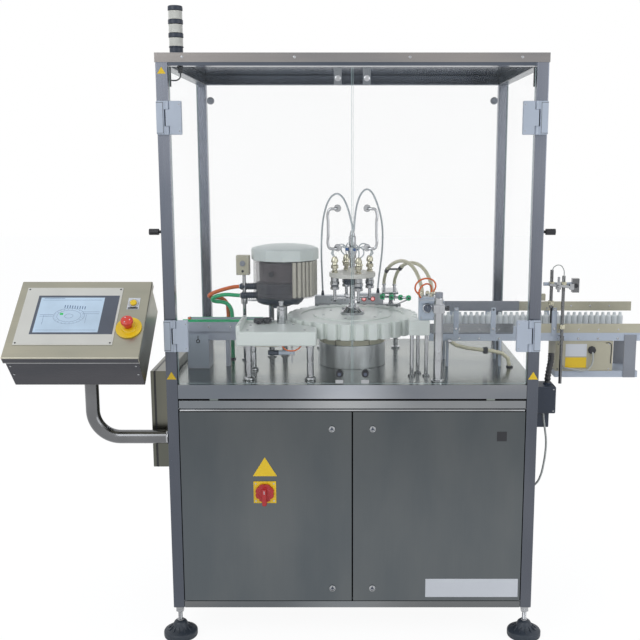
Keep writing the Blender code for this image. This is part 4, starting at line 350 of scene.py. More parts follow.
@dataclass
class Workshop:
    """The modelling steps that every sub-assembly uses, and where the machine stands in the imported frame."""

    origin: Vector
    made: int = 0

    def clear(self) -> None:
        """Leaves nothing selected."""
        bpy.ops.object.select_all(action="DESELECT")

    def pick(self, piece: bpy.types.Object) -> None:
        """Makes one piece the only selected one, and the active one."""
        self.clear()
        piece.select_set(True)
        bpy.context.view_layer.objects.active = piece

    def fix(self, piece: bpy.types.Object) -> bpy.types.Object:
        """Writes a piece's place, turn and size into its mesh."""
        self.pick(piece)
        bpy.ops.object.transform_apply(location=True, rotation=True, scale=True)
        return piece

    def ease(self, piece: bpy.types.Object, edge: float, segments: int = 2,
            angle: float = 35.0) -> bpy.types.Object:
        """Rounds a piece's sharp edges.

        Args:
            piece: The piece, whose mesh is closed.
            edge: The rounding's width, or 0 for none.
            segments: Faces across the rounding.
            angle: The least angle of an edge that is rounded, in degrees.

        Returns:
            The same piece.
        """
        if edge > 0:
            self.pick(piece)
            bevel = piece.modifiers.new("Edges", "BEVEL")
            bevel.width = edge
            bevel.segments = segments
            bevel.limit_method = "ANGLE"
            bevel.angle_limit = math.radians(angle)
            bpy.ops.object.modifier_apply(modifier=bevel.name)
        return piece

    def aim(self, piece: bpy.types.Object, at: Point, toward: Point) -> bpy.types.Object:
        """Turns a piece's own Z axis along a direction, at a place of the machine, and fixes it there.

        Args:
            piece: The piece, drawn about its own origin.
            at: Where its origin goes.
            toward: The direction of its Z axis.

        Returns:
            The same piece.
        """
        piece.rotation_mode = "QUATERNION"
        piece.rotation_quaternion = Vector(toward).to_track_quat("Z", "Y")
        piece.location = self.origin + Vector(at)
        return self.fix(piece)

    def block(self, x: Span, y: Span, z: Span, edge: float = 0.0012, segments: int = 2) -> bpy.types.Object:
        """A block between low and high values on each axis, with eased edges.

        Args:
            x: Low and high X.
            y: Low and high Y.
            z: Low and high Z.
            edge: The width of its rounded edges.
            segments: Faces across each rounding.

        Returns:
            The new piece.
        """
        self.clear()
        low = Vector((min(x), min(y), min(z)))
        high = Vector((max(x), max(y), max(z)))
        bpy.ops.mesh.primitive_cube_add(size=1, location=self.origin + (low + high) / 2, scale=high - low)
        piece = self.fix(bpy.context.object)
        return self.ease(piece, min(edge, 0.45 * min(high - low)), segments)

    def turned(self, at: Point, profile: Profile, toward: Point = UP, sides: int = 32,
            edge: float = 0.0) -> bpy.types.Object:
        """A turned piece: a disc extruded and resized along a profile.

        Args:
            at: The machine place of the profile's zero height.
            profile: Radius and height of each step, from the start of the axis to its end.
            toward: The direction of the axis.
            sides: Faces round the piece.
            edge: The width of its rounded edges.

        Returns:
            The new piece.
        """
        self.clear()
        radius, height = profile[0]
        bpy.ops.mesh.primitive_circle_add(vertices=sides, radius=radius, fill_type="NGON",
            location=(0, 0, height))
        piece = self.fix(bpy.context.object)
        bpy.ops.object.mode_set(mode="EDIT")
        bpy.ops.mesh.select_all(action="SELECT")
        for following, top in profile[1:]:
            bpy.ops.mesh.extrude_region_move(TRANSFORM_OT_translate={"value": (0, 0, top - height)})
            grow = following / radius
            bpy.ops.transform.resize(value=(grow, grow, 1), center_override=(0, 0, top))
            radius, height = following, top
        bpy.ops.mesh.select_all(action="SELECT")
        bpy.ops.mesh.normals_make_consistent(inside=False)
        bpy.ops.object.mode_set(mode="OBJECT")
        self.ease(piece, edge)
        return self.aim(piece, at, toward)

    def rod(self, start: Point, end: Point, radius: float, edge: float = 0.0006,
            sides: int = 20) -> bpy.types.Object:
        """A round bar between two places, with eased ends.

        Args:
            start: Its first end.
            end: Its other end.
            radius: Its radius.
            edge: The width of the easing at each end.
            sides: Faces round the bar.

        Returns:
            The new piece.
        """
        length = (Vector(end) - Vector(start)).length
        direction = tuple(Vector(end) - Vector(start))
        ends = ((radius - edge, 0), (radius, edge), (radius, length - edge), (radius - edge, length))
        return self.turned(start, ends, direction, sides)

    def prism(self, outline: list[Span], z: Span, edge: float = 0.0012,
            segments: int = 2) -> bpy.types.Object:
        """An upright block on an outline: a filled loop whose points are placed, then extruded.

        Args:
            outline: X and Y of each corner, anticlockwise.
            z: Low and high Z.
            edge: The width of its rounded edges.
            segments: Faces across each rounding.

        Returns:
            The new piece.
        """
        self.clear()
        bpy.ops.mesh.primitive_circle_add(vertices=len(outline), radius=1, fill_type="NGON")
        piece = bpy.context.object
        for vertex, (x, y) in zip(piece.data.vertices, outline):
            vertex.co = self.origin + Vector((x, y, z[0]))
        bpy.ops.object.mode_set(mode="EDIT")
        bpy.ops.mesh.select_all(action="SELECT")
        bpy.ops.mesh.extrude_region_move(TRANSFORM_OT_translate={"value": (0, 0, z[1] - z[0])})
        bpy.ops.mesh.select_all(action="SELECT")
        bpy.ops.mesh.normals_make_consistent(inside=False)
        bpy.ops.object.mode_set(mode="OBJECT")
        return self.ease(piece, edge, segments)

    def tube(self, points: list[Point], radius: float, sides: int = 12, smooth: bool = True,
            swell: tuple[float, ...] = ()) -> bpy.types.Object:
        """A round tube along a route.

        Args:
            points: The places that it runs through.
            radius: Its radius.
            sides: Faces round the tube.
            smooth: Whether the route is a curve through the places, or straight between them.
            swell: The share of the radius at each place in turn, repeated along the route.

        Returns:
            The new piece, as a mesh with closed ends.
        """
        self.clear()
        line = bpy.data.curves.new("route", "CURVE")
        line.dimensions = "3D"
        line.bevel_depth = radius
        line.bevel_resolution = max((sides - 4) // 2, 1)
        line.use_fill_caps = True
        line.resolution_u = 6
        spline = line.splines.new("BEZIER" if smooth else "POLY")
        places = spline.bezier_points if smooth else spline.points
        places.add(len(points) - 1)
        for index, (place, point) in enumerate(zip(places, points)):
            spot = self.origin + Vector(point)
            place.co = spot if smooth else (*spot, 1)
            if smooth:
                place.handle_left_type = "AUTO"
                place.handle_right_type = "AUTO"
            if swell:
                place.radius = swell[index % len(swell)]
        piece = bpy.data.objects.new("route", line)
        bpy.context.scene.collection.objects.link(piece)
        self.pick(piece)
        bpy.ops.object.convert(target="MESH")
        piece = bpy.context.object
        bpy.ops.object.mode_set(mode="EDIT")
        bpy.ops.mesh.select_all(action="SELECT")
        bpy.ops.mesh.remove_doubles(threshold=0.00001)
        bpy.ops.mesh.normals_make_consistent(inside=False)
        bpy.ops.object.mode_set(mode="OBJECT")
        return piece

    def skin(self, node: str, edge: float = 0.0012) -> bpy.types.Object:
        """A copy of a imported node, merged, freed of needless edges and eased.

        Args:
            node: The node's name.
            edge: The width of its rounded edges.

        Returns:
            The new piece, which doesn't yet ride on a body.
        """
        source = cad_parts[node]
        piece = bpy.data.objects.new(node, source.data.copy())
        bpy.context.scene.collection.objects.link(piece)
        piece.data.materials.clear()
        self.pick(piece)
        bpy.ops.object.mode_set(mode="EDIT")
        bpy.ops.mesh.select_all(action="SELECT")
        bpy.ops.mesh.remove_doubles(threshold=0.00002)
        bpy.ops.mesh.dissolve_limited(angle_limit=math.radians(1.0))
        bpy.ops.object.mode_set(mode="OBJECT")
        return self.ease(piece, edge)

    def drill(self, piece: bpy.types.Object, tool: bpy.types.Object) -> bpy.types.Object:
        """Cuts a tool's shape out of a piece and removes the tool.

        Args:
            piece: The piece to cut.
            tool: The closed shape that is cut away.

        Returns:
            The cut piece.
        """
        self.pick(piece)
        hole = piece.modifiers.new("Hole", "BOOLEAN")
        hole.operation = "DIFFERENCE"
        hole.object = tool
        bpy.ops.object.modifier_apply(modifier=hole.name)
        bpy.data.objects.remove(tool, do_unlink=True)
        return piece

    def copies(self, piece: bpy.types.Object, moves: list[Point]) -> list[bpy.types.Object]:
        """A piece and its moved copies, each with its own mesh.

        Args:
            piece: The piece to copy.
            moves: How far each copy lies from it.

        Returns:
            The piece and its copies.
        """
        found = [piece]
        for move in moves:
            self.pick(piece)
            bpy.ops.object.duplicate(linked=False)
            bpy.ops.transform.translate(value=move)
            found.append(self.fix(bpy.context.object))
        return found

    def coat(self, pieces: list[bpy.types.Object], finish: Finish,
            smooth: float = 40.0) -> list[bpy.types.Object]:
        """Gives pieces a finish and smooth shading across gentle edges.

        Args:
            pieces: The pieces.
            finish: Their finish.
            smooth: The angle up to which an edge is shaded smooth, in degrees.

        Returns:
            The same pieces.
        """
        for piece in pieces:
            self.pick(piece)
            bpy.ops.object.shade_smooth_by_angle(angle=math.radians(smooth))
            level = piece.modifiers.new("Level", "WEIGHTED_NORMAL")
            level.keep_sharp = True
            bpy.ops.object.modifier_apply(modifier=level.name)
            piece.data.materials.clear()
            piece.data.materials.append(finish.material())
            piece["slot"] = finish.slot
        return pieces

    def recoat(self, piece: bpy.types.Object, finish: Finish, chosen: "Zone") -> bpy.types.Object:
        """Gives the faces of a piece that lie in a zone another finish.

        Args:
            piece: The piece.
            finish: The other finish.
            chosen: The zone, in the machine frame.

        Returns:
            The same piece.
        """
        piece.data.materials.append(finish.material())
        index = len(piece.data.materials) - 1
        for face in piece.data.polygons:
            if chosen.holds(face.center - self.origin):
                face.material_index = index
        return piece

    def fit(self, name: str, body: str, pieces: list[bpy.types.Object],
            replaces: tuple[str, ...] = ()) -> bpy.types.Object:
        """Joins pieces into one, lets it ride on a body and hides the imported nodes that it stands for.

        Args:
            name: The joined piece's name.
            body: The body that it rides on.
            pieces: The pieces, coated already.
            replaces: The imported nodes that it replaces.

        Returns:
            The joined piece.
        """
        self.clear()
        for piece in pieces:
            piece.select_set(True)
        bpy.context.view_layer.objects.active = pieces[0]
        if len(pieces) > 1:
            bpy.ops.object.join()
        joined = bpy.context.view_layer.objects.active
        del joined["slot"]
        joined.name = name
        joined.data.name = name
        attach(joined, body)
        if replaces:
            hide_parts(*replaces)
        self.made += 1
        log.info("%s: %d faces", name, len(joined.data.polygons))
        return joined

    def triangle(self, x: float, z: float, width: float, y: float = 0.0,
            depth: float = 0.0008) -> bpy.types.Object:
        """A plain upright triangular plate.

        Args:
            x: Its middle.
            z: Its foot.
            width: Its width.
            y: The face that it sits on.
            depth: How thick it is.

        Returns:
            The plate.
        """
        plate = self.prism([(-width / 2, 0), (width / 2, 0), (0, width * 0.81)], (0, depth), 0.0)
        turn = Matrix.Translation(self.origin + Vector((x, y, z))) @ Matrix.Rotation(math.pi / 2, 4, "X")
        plate.data.transform(turn @ Matrix.Translation(-self.origin))
        return self.coat([self.ease(plate, width * 0.03, 2, 60)], YELLOW)[0]

    def paint_node(self, node: str, finish: Finish) -> None:
        """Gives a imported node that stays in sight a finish."""
        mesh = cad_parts[node].data
        mesh.materials.clear()
        mesh.materials.append(finish.material())

    def screws(self, places: list[Point], radius: float, toward: Point = FRONT,
            height: float = 0.0016) -> list[bpy.types.Object]:
        """Socket-head screws, the first one modelled and the rest copied.

        Args:
            places: Where each head sits on its face.
            radius: The head's radius.
            toward: The way the heads face.
            height: How far a head stands proud.

        Returns:
            The screws.
        """
        socket = radius * 0.45
        profile = ((radius, 0.0), (radius, height * 0.7), (radius * 0.85, height), (socket, height),
            (socket * 0.9, height * 0.35))
        first = self.turned(places[0], profile, toward, 12)
        moves = [tuple(Vector(place) - Vector(places[0])) for place in places[1:]]
        return self.coat(self.copies(first, moves), CHROME)


@dataclass(frozen=True)
class Zone:
    """A box of the machine frame that picks the faces whose middles lie in it."""

    x: Span = (-9.0, 9.0)
    y: Span = (-9.0, 9.0)
    z: Span = (-9.0, 9.0)

    def holds(self, point: Vector) -> bool:
        """Whether a place lies in the zone."""
        spans = (self.x, self.y, self.z)
        return all(span[0] <= value <= span[1] for span, value in zip(spans, point))


@dataclass
class MachineFrame:
    """Welded square tube frame with its roof cover and table pan."""

    shop: Workshop
    corner: float = 0.003
    rail_setback: float = 0.004
    rail_depth: float = 0.03
    lip_z: Span = (0.8535, 0.86)

    def build(self) -> None:
        """Builds the posts, rails, roof cover and table."""
        self.posts_and_rails()
        self.roof()
        self.table()

    def posts_and_rails(self) -> None:
        """Four posts, three levels of rails butted between them, and a bright lip over the cabinet doors."""
        shop = self.shop
        first = shop.block((-HALF_WIDTH, -INNER_X), (0, TUBE), (POST_FOOT, FRAME_TOP), self.corner, 3)
        moves = [(HALF_WIDTH + INNER_X, 0, 0), (0, INNER_BACK, 0), (HALF_WIDTH + INNER_X, INNER_BACK, 0)]
        posts = shop.coat(shop.copies(first, moves), POST_STEEL)
        levels = (((POST_FOOT, BASE_TOP), 0.0, TUBE), (MID_RAIL, self.rail_setback, self.rail_depth),
            ((FRAME_TOP - TUBE, FRAME_TOP), 0.0, TUBE))
        long_rails = []
        side_rails = []
        for z, setback, depth in levels:
            for y in (setback, DEPTH - setback - depth):
                long_rails.append(shop.block((-INNER_X, INNER_X), (y, y + depth), z, self.corner))
            for x in (-HALF_WIDTH + setback, HALF_WIDTH - setback - depth):
                side_rails.append(shop.block((x, x + depth), (TUBE, INNER_BACK), z, self.corner))
        # The base and mid rails carry painted shade by height and a painted highlight in the middle.
        shop.coat(long_rails[:4], RAIL_STEEL)
        # The top rails sit under the roof and take the darker copy of the steel: painted shade.
        shop.coat(long_rails[4:], SHADED_UNDER_STEEL)
        long_rails += shop.coat([shop.block((-0.6065, 0.6065), (-0.0012, 0.008), self.lip_z, 0.003, 4)],
            CHROME)
        shop.coat(side_rails, SIDE_RAIL_STEEL)
        welds = []
        for z in (BASE_TOP, MID_RAIL[0], FRAME_TOP - TUBE):
            for x in (-INNER_X, INNER_X):
                welds.append(shop.tube([(x, 0.004, z), (x, TUBE - 0.006, z)], 0.0016, 8, smooth=False))
        shop.coat(welds, TURNED_STEEL)
        signs = [shop.triangle(x, z, width) for x, z, width in ((-0.63, 0.968, 0.034), (0.63, 0.968, 0.034),
            (-0.63, 2.003, 0.028))]
        shop.fit("frame_tubes", "machine", posts + long_rails + side_rails + welds + signs, ("frame",))

    def roof(self) -> None:
        """The folded roof cover with its clamp screws, and the pads under it for the door catches."""
        shop = self.shop
        cover = shop.coat([shop.skin("roof_cover", 0.0008)], ROOF_STEEL)
        # Faces that face down or to the rear take the darker copy of the steel: painted shade and reflection.
        cover[0].data.materials.append(SHADED_UNDER_STEEL.material())
        for face in cover[0].data.polygons:
            if face.normal.z < -0.5 or face.normal.y > 0.5:
                face.material_index = 1
        places = [(x, -0.0018, 2.056) for x in (-0.56, -0.19, 0.19, 0.56)]
        cover += shop.screws(places, 0.0045)
        shop.fit("roof_sheet", "machine", cover, ("roof_cover",))
        guides = []
        for sign in (-1, 1):
            guides.append(shop.block((sign * 0.6066, sign * 0.601), (0.006, 0.018), (1.962, 2.026), 0.0012))
        shop.coat(guides, BLACK)
        lamps = [shop.turned((sign * 0.59, 0.822, 1.964), ((0.012, 0), (0.015, 0.003), (0.015, 0.014),
            (0.011, 0.02)), FRONT) for sign in (-1, 1)]
        shop.coat(lamps, MID_GREY)
        gland = [shop.turned((-0.578, 0.06, 2.03), ((0.01, 0), (0.01, -0.006), (0.008, -0.008),
            (0.008, -0.018), (0.005, -0.021))), shop.tube([(-0.578, 0.06, 2.012), (-0.578, 0.059, 1.998),
            (-0.586, 0.056, 1.988), (-0.599, 0.052, 1.985), (-0.609, 0.046, 1.986)], 0.0024, 10)]
        shop.coat(gland, BLACK)
        shop.fit("roof_fittings", "machine", guides + lamps + gland)

    def table(self) -> None:
        """The table pan with its folded front band."""
        pan = self.shop.skin("table_top", 0.0022)
        self.shop.coat([pan], TABLE_STEEL)
        # The front and rear bands carry a painted highlight round the middle.
        self.shop.recoat(pan, BAND_STEEL, Zone(y=(-0.1, 0.0035)))
        self.shop.recoat(pan, BAND_STEEL, Zone(y=(DEPTH - 0.0035, 1.0)))
        self.shop.fit("table_pan", "machine", [pan], ("table_top",))


@dataclass
class CabinetShell:
    """Fixed sheet panels, the inner tray and the drive under the table."""

    shop: Workshop
    screw_z: tuple[float, ...] = (0.19, 0.5, 0.81)

    def build(self) -> None:
        """Builds the three panels with their screws, and finishes what stands inside."""
        shop = self.shop
        for side, sign in (("left", -1), ("right", 1)):
            node = f"{side}_side_panel"
            face = sign * (HALF_WIDTH - 0.001)
            panel = shop.coat([shop.skin(node, 0.0012)], DOOR_STEEL)
            places = [(face, y, z) for y in (0.06, 0.8) for z in self.screw_z]
            panel += shop.screws(places, 0.0055, (sign, 0, 0), 0.001)
            shop.fit(f"{side}_cabinet_panel", "machine", panel, (node,))
        rear = shop.coat([shop.skin("rear_panel", 0.0012)], DOOR_STEEL)
        places = [(x, DEPTH - 0.001, z) for x in (-0.585, 0.0, 0.585) for z in self.screw_z]
        rear += shop.screws(places, 0.0055, (0, 1, 0), 0.001)
        shop.fit("rear_cabinet_panel", "machine", rear, ("rear_panel",))
        shop.paint_node("base_tray", SIDE_RAIL_STEEL)
        self.drive()

    def drive(self) -> None:
        """The wheel's index drive: a finned gearbox and a motor with its fan cover."""
        shop = self.shop
        axis = 0.8757
        housing = [shop.skin("index_drive", 0.003)]
        fins = [shop.turned((0.112 + 0.014 * step, 0.37, axis), ((0.0535, 0), (0.055, 0.0015),
            (0.055, 0.0045), (0.0535, 0.006)), (1, 0, 0), 32) for step in range(10)]
        shop.coat(housing + fins, SLATE)
        shop.fit("wheel_drive", "machine", housing + fins, ("index_drive",))


@dataclass
class CabinetDoors:
    """Folded doors with turn locks, plates and the main switch."""

    shop: Workshop
    lock_x: float = 0.072
    lock_z: Span = (0.789, 0.192)
    switch: Span = (-0.311, 0.557)
    scallops: int = 8

    def build(self) -> None:
        """Builds both doors, their four locks and the switch knob."""
        self.left_door()
        self.right_door()
        for side, sign in (("left", -1), ("right", 1)):
            for level, z in zip(("upper", "lower"), self.lock_z):
                self.lock(f"{side}_{level}_lock", sign * self.lock_x, z, 1 if level == "upper" else -1)
        self.switch_knob()

    def left_door(self) -> None:
        """The left door with the switch's yellow plate and a plain triangular plate over it."""
        shop = self.shop
        x, z = self.switch
        door = shop.coat([shop.skin("cabinet_door_left", 0.001)], DOOR_STEEL)
        shop.recoat(door[0], YELLOW, Zone((x - 0.042, x + 0.042), (-0.01, -0.0006), (z - 0.042, z + 0.042)))
        collar = shop.coat([shop.turned((x, -0.0028, z), ((0.031, 0), (0.031, 0.0008), (0.029, 0.0008)),
            FRONT)], BLACK)
        corners = [(x + dx, -0.003, z + dz) for dx in (-0.032, 0.032) for dz in (-0.032, 0.032)]
        sign = [shop.triangle(-0.31, 0.616, 0.086)]
        pull = shop.coat([shop.block((-0.0058, -0.003), (0.0004, 0.018), (0.15, 0.846), 0.0006)], DOOR_STEEL)
        shop.fit("left_door_sheet", "cabinet_door_left", door + collar + shop.screws(corners, 0.0028, FRONT,
            0.0008) + sign + pull, ("cabinet_door_left",))

    def right_door(self) -> None:
        """The right door with a small dark plate and a blank white one."""
        shop = self.shop
        door = shop.coat([shop.skin("cabinet_door_right", 0.001)], DOOR_STEEL)
        dark = shop.coat([shop.block((0.5095, 0.5445), (-0.0008, 0.0002), (0.7445, 0.7795), 0.0003)], BLACK)
        blank = shop.coat([shop.block((0.2645, 0.5995), (-0.0009, 0.0002), (0.158, 0.228), 0.0003)],
            PLATE_WHITE)
        shop.fit("right_door_sheet", "cabinet_door_right", door + dark + blank, ("cabinet_door_right",))

    def lock(self, node: str, x: float, z: float, upward: int) -> None:
        """A quarter-turn lock: a dished head with a slotted insert, a shaft and a cam.

        Args:
            node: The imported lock's name.
            x: Its middle.
            z: Its height.
            upward: 1 where the cam points up, -1 where it points down.
        """
        shop = self.shop
        profile = ((0.0122, 0.0003), (0.0125, 0.0012), (0.012, 0.0036), (0.0108, 0.0047), (0.0092, 0.0047),
            (0.0084, 0.0014))
        head = [shop.turned((x, 0, z), profile, FRONT, 32)]
        insert = [shop.turned((x, 0, z), ((0.0082, 0.001), (0.008, 0.0026), (0.006, 0.0038), (0.004, 0.004)),
            FRONT, 3)]
        head.append(shop.rod((x, 0.0008, z), (x, 0.0092, z), 0.0058))
        low, high = sorted((z - upward * 0.006, z + upward * 0.022))
        head.append(shop.block((x - 0.006, x + 0.006), (0.0081, 0.0109), (low, high), 0.0008))
        slot = shop.coat([shop.block((x - 0.0008, x + 0.0008), (-0.0046, -0.0036), (z - 0.0045, z + 0.0045),
            0.0002)], BLACK)
        shop.fit(f"{node}_set", node, shop.coat(head, CHROME) + shop.coat(insert, SLATE) + slot, (node,))

    def switch_knob(self) -> None:
        """The main switch's scalloped red knob with its grip bar and white pointer."""
        shop = self.shop
        x, z = self.switch
        outline = []
        for step in range(96):
            turn = 2 * math.pi * step / 96
            radius = 0.0335 - 0.0042 * max(0.0, math.cos(self.scallops * turn)) ** 2
            outline.append((radius * math.cos(turn), radius * math.sin(turn)))
        disc = shop.prism(outline, (0.0033, 0.015), 0.0016)
        shift = Matrix.Translation(-shop.origin)
        turn = Matrix.Rotation(math.pi / 2, 4, "X")
        disc.data.transform(Matrix.Translation(shop.origin + Vector((x, 0, z))) @ turn @ shift)
        grip = shop.block((x - 0.0086, x + 0.0086), (-0.033, -0.012), (z - 0.043, z + 0.02), 0.006, 4)
        hub = shop.turned((x, -0.014, z), ((0.0215, 0), (0.0215, 0.002), (0.0185, 0.005)), FRONT)
        line = shop.coat([shop.block((x - 0.0012, x + 0.0012), (-0.0333, -0.0325), (z + 0.002, z + 0.014),
            0.0003)], PLATE_WHITE)
        shop.fit("switch_knob", "main_switch_knob", shop.coat([disc, grip, hub], SWITCH_RED) + line,
            ("main_switch_knob",))


@dataclass
class LevellingFeet:
    """Levelling feet: ribbed pads on threaded spindles with lock nuts."""

    shop: Workshop
    pitch: float = 0.0026
    spindle: float = 0.008

    def build(self) -> None:
        """Builds the four feet under the posts."""
        for end, y in (("front", TUBE / 2), ("rear", DEPTH - TUBE / 2)):
            for side, x in (("left", -HALF_WIDTH + TUBE / 2), ("right", HALF_WIDTH - TUBE / 2)):
                self.foot(f"{end}_{side}", (x, y, 0.0))

    def foot(self, place: str, at: Point) -> None:
        """One foot.

        Args:
            place: Which post it stands under.
            at: The middle of its underside.
        """
        shop = self.shop
        pad = shop.turned(at, ((0.056, 0.0), (0.06, 0.0015), (0.0611, 0.006), (0.06, 0.0072), (0.06, 0.0088),
            (0.0612, 0.01), (0.0612, 0.019), (0.059, 0.0232), (0.054, 0.0258), (0.04, 0.03), (0.033, 0.0345),
            (0.029, 0.041), (0.0262, 0.048), (0.0225, 0.055), (0.0165, 0.06)), sides=48)
        ribs = []
        for x, y in ring_points(12, 0.046, at[:2]):
            ribs.append(shop.rod((x, y, 0.0274), (at[0] + (x - at[0]) * 0.62, at[1] + (y - at[1]) * 0.62,
                0.042), 0.002, 0.0005, 8))
        shop.coat([pad, *ribs], FOOT_RUBBER)
        steps = [(0.0125, 0.059), (0.0125, 0.064), (self.spindle, 0.066)]
        height = 0.066
        while height < 0.093:
            steps += [(self.spindle - 0.0007, height + self.pitch / 2), (self.spindle, height + self.pitch)]
            height += self.pitch
        thread = shop.turned(at, tuple(steps), sides=20)
        nut = shop.turned(at, ((0.014, 0.0947), (0.0153, 0.096), (0.0153, 0.106), (0.014, 0.1075)), sides=6)
        washer = shop.turned(at, ((0.0155, 0.1078), (0.0155, 0.1155)), sides=24, edge=0.0006)
        shop.coat([thread, nut, washer], CHROME, 25)
        shop.fit(f"foot_{place}", "machine", [pad, *ribs, thread, nut, washer], (f"levelling_foot_{place}",))


@dataclass
class GuardSheets:
    """Clear fixed windows and the two clear doors with hinges, catches, stop knobs and handles."""

    shop: Workshop
    hinge_x: float = 0.612
    hinge_low: tuple[float, float] = (1.069, 1.805)
    hinge_height: float = 0.11
    handle_z: float = 1.434

    def build(self) -> None:
        """Builds the windows, then each door with its hinges."""
        shop = self.shop
        for node, name in (("left_guard_window", "left"), ("right_guard_window", "right")):
            sign = -1 if name == "left" else 1
            pane = shop.coat([shop.skin(node, 0.0006)], CLEAR)
            outside = sorted((sign * (HALF_WIDTH - 0.001), sign * 0.75))
            shop.recoat(pane[0], BLACK, Zone(x=tuple(outside)))
            knob = shop.turned((sign * 0.6665, 0.052, 1.478), ((0.0075, 0), (0.0105, 0.002), (0.0108, 0.01),
                (0.009, 0.016), (0.009, 0.022), (0.0109, 0.027), (0.0106, 0.0325)), (sign, 0, 0), 20)
            pane += shop.coat([knob], BLACK)
            bars = [shop.block((sign * 0.644, sign * 0.6475), (y, y + 0.0022), (0.952, 2.026), 0.0004)
                for y in (0.0406, 0.8172)]
            shop.fit(f"{name}_window", "machine", pane + shop.coat(bars, CLEAR_EDGE), (node,))
        rear = shop.coat([shop.skin("rear_guard_window", 0.0006)], CLEAR)
        shop.fit("rear_window", "machine", rear, ("rear_guard_window",))
        for side, sign in (("left", -1), ("right", 1)):
            self.door(side, sign)
            self.handle(side, sign)
            for level, low in zip(("lower", "upper"), self.hinge_low):
                self.hinge_base(side, sign, level, low)

    def knuckle(self, sign: int, low: float, high: float, reach: float) -> list[bpy.types.Object]:
        """A hinge knuckle with the web that ties it to its plate.

        Args:
            sign: -1 on the left, 1 on the right.
            low: Its foot.
            high: Its head.
            reach: How far the web runs outboard, or inboard where negative.

        Returns:
            Its pieces.
        """
        x = sign * self.hinge_x
        return [self.shop.rod((x, -0.012, low), (x, -0.012, high), 0.0065, 0.0008, 24),
            self.shop.block((x, x + sign * reach), (-0.015, -0.009), (low, high), 0.0006)]

    def hinge_base(self, side: str, sign: int, level: str, low: float) -> None:
        """The post's half of a hinge: a rounded block with two knuckles and a dark seam.

        Args:
            side: Which door.
            sign: -1 on the left, 1 on the right.
            level: upper or lower.
            low: The hinge's foot.
        """
        shop = self.shop
        high = low + self.hinge_height
        quarter = self.hinge_height / 4
        block = shop.block((sign * 0.622, sign * 0.649), (-0.018, -0.0004), (low, high), 0.004, 4)
        lower = self.knuckle(sign, low, low + quarter, 0.013)
        upper = self.knuckle(sign, high - quarter, high, 0.013)
        body = shop.coat([block, *lower, *upper], HINGE_GREY)
        edge = sign * 0.6252
        seam = [shop.block((edge, edge + sign * 0.0014), (-0.0183, -0.017), (low + 0.005, high - 0.005),
            0.0003)]
        seam += [shop.block((edge, sign * 0.648), (-0.0183, -0.017), (z, z + 0.0014), 0.0003)
            for z in (low + 0.0045, high - 0.0059)]
        shop.fit(f"{side}_{level}_hinge_block", "machine", body + shop.coat(seam, BLACK),
            (f"hinge_base_{side}_{level}",))

    def door(self, side: str, sign: int) -> None:
        """One clear door with all that is fixed to it.

        Args:
            side: Which door.
            sign: -1 on the left, 1 on the right.
        """
        shop = self.shop
        pane = shop.coat([shop.block((sign * 0.0016, sign * 0.6059), (0.0, 0.005), (0.9526, 2.0241), 0.0008)],
            CLEAR)
        seam = [shop.block((sign * 0.0016, sign * 0.0034), (0.0004, 0.0046), (0.9527, 2.024), 0.0004),
            shop.block((sign * 0.6043, sign * 0.6059), (0.0004, 0.0046), (0.9527, 2.024), 0.0004),
            shop.block((sign * 0.0036, sign * 0.604), (0.0004, 0.0046), (0.9527, 0.954), 0.0004)]
        shop.coat(seam, CLEAR_EDGE)
        leaves = []
        screws = []
        for low in self.hinge_low:
            high = low + self.hinge_height
            quarter = self.hinge_height / 4
            near, far = sign * 0.6035, sign * 0.565
            leaves.append(shop.block((near, far), (-0.018, -0.0002), (low, high), 0.0036, 4))
            leaves += self.knuckle(sign, low + quarter + 0.0004, high - quarter - 0.0004, -0.0115)
            leaves.append(shop.block((sign * 0.5655, sign * 0.604), (-0.02, -0.0172),
                (low + 0.0006, high - 0.0006), 0.0013, 3))
            leaves.append(shop.block((sign * 0.602, sign * 0.6172), (-0.0199, -0.0172),
                (low + quarter + 0.0008, high - quarter - 0.0008), 0.001, 3))
            screws += shop.screws([(sign * 0.572, -0.02, z) for z in (low + 0.012, high - 0.012)], 0.0022,
                FRONT, 0.0004)
        shop.coat(leaves, HINGE_GREY)
        knob = shop.turned((sign * 0.045, 0.0048, 0.991), ((0.0128, 0.0), (0.013, 0.004), (0.0116, 0.0056),
            (0.0116, 0.01), (0.013, 0.012), (0.013, 0.02), (0.0112, 0.0245), (0.007, 0.0264)), FRONT, 32)
        knob_face = shop.turned((sign * 0.045, -0.0212, 0.991), ((0.006, 0), (0.0056, 0.0006)), FRONT, 24)
        shop.coat([knob], BLACK)
        shop.coat([knob_face], SLATE)
        foot = shop.coat([shop.block((sign * 0.031, sign * 0.059), (-0.0036, 0.0), (0.9545, 0.968), 0.001)],
            CHROME)
        strip = shop.coat([shop.block((sign * 0.035, sign * 0.061), (-0.0048, 0.0002), (1.9665, 2.023),
            0.0012)], SIDE_RAIL_STEEL)
        bolt = shop.turned((sign * 0.048, -0.0046, 1.988), ((0.01, 0), (0.01, 0.001), (0.0085, 0.0024),
            (0.005, 0.0032)), FRONT, 24)
        shop.coat([bolt], CHROME)
        shop.fit(f"{side}_guard_door", f"guard_door_{side}", pane + seam + leaves + screws + [knob,
            knob_face] + foot + strip + [bolt], (f"guard_door_{side}",))

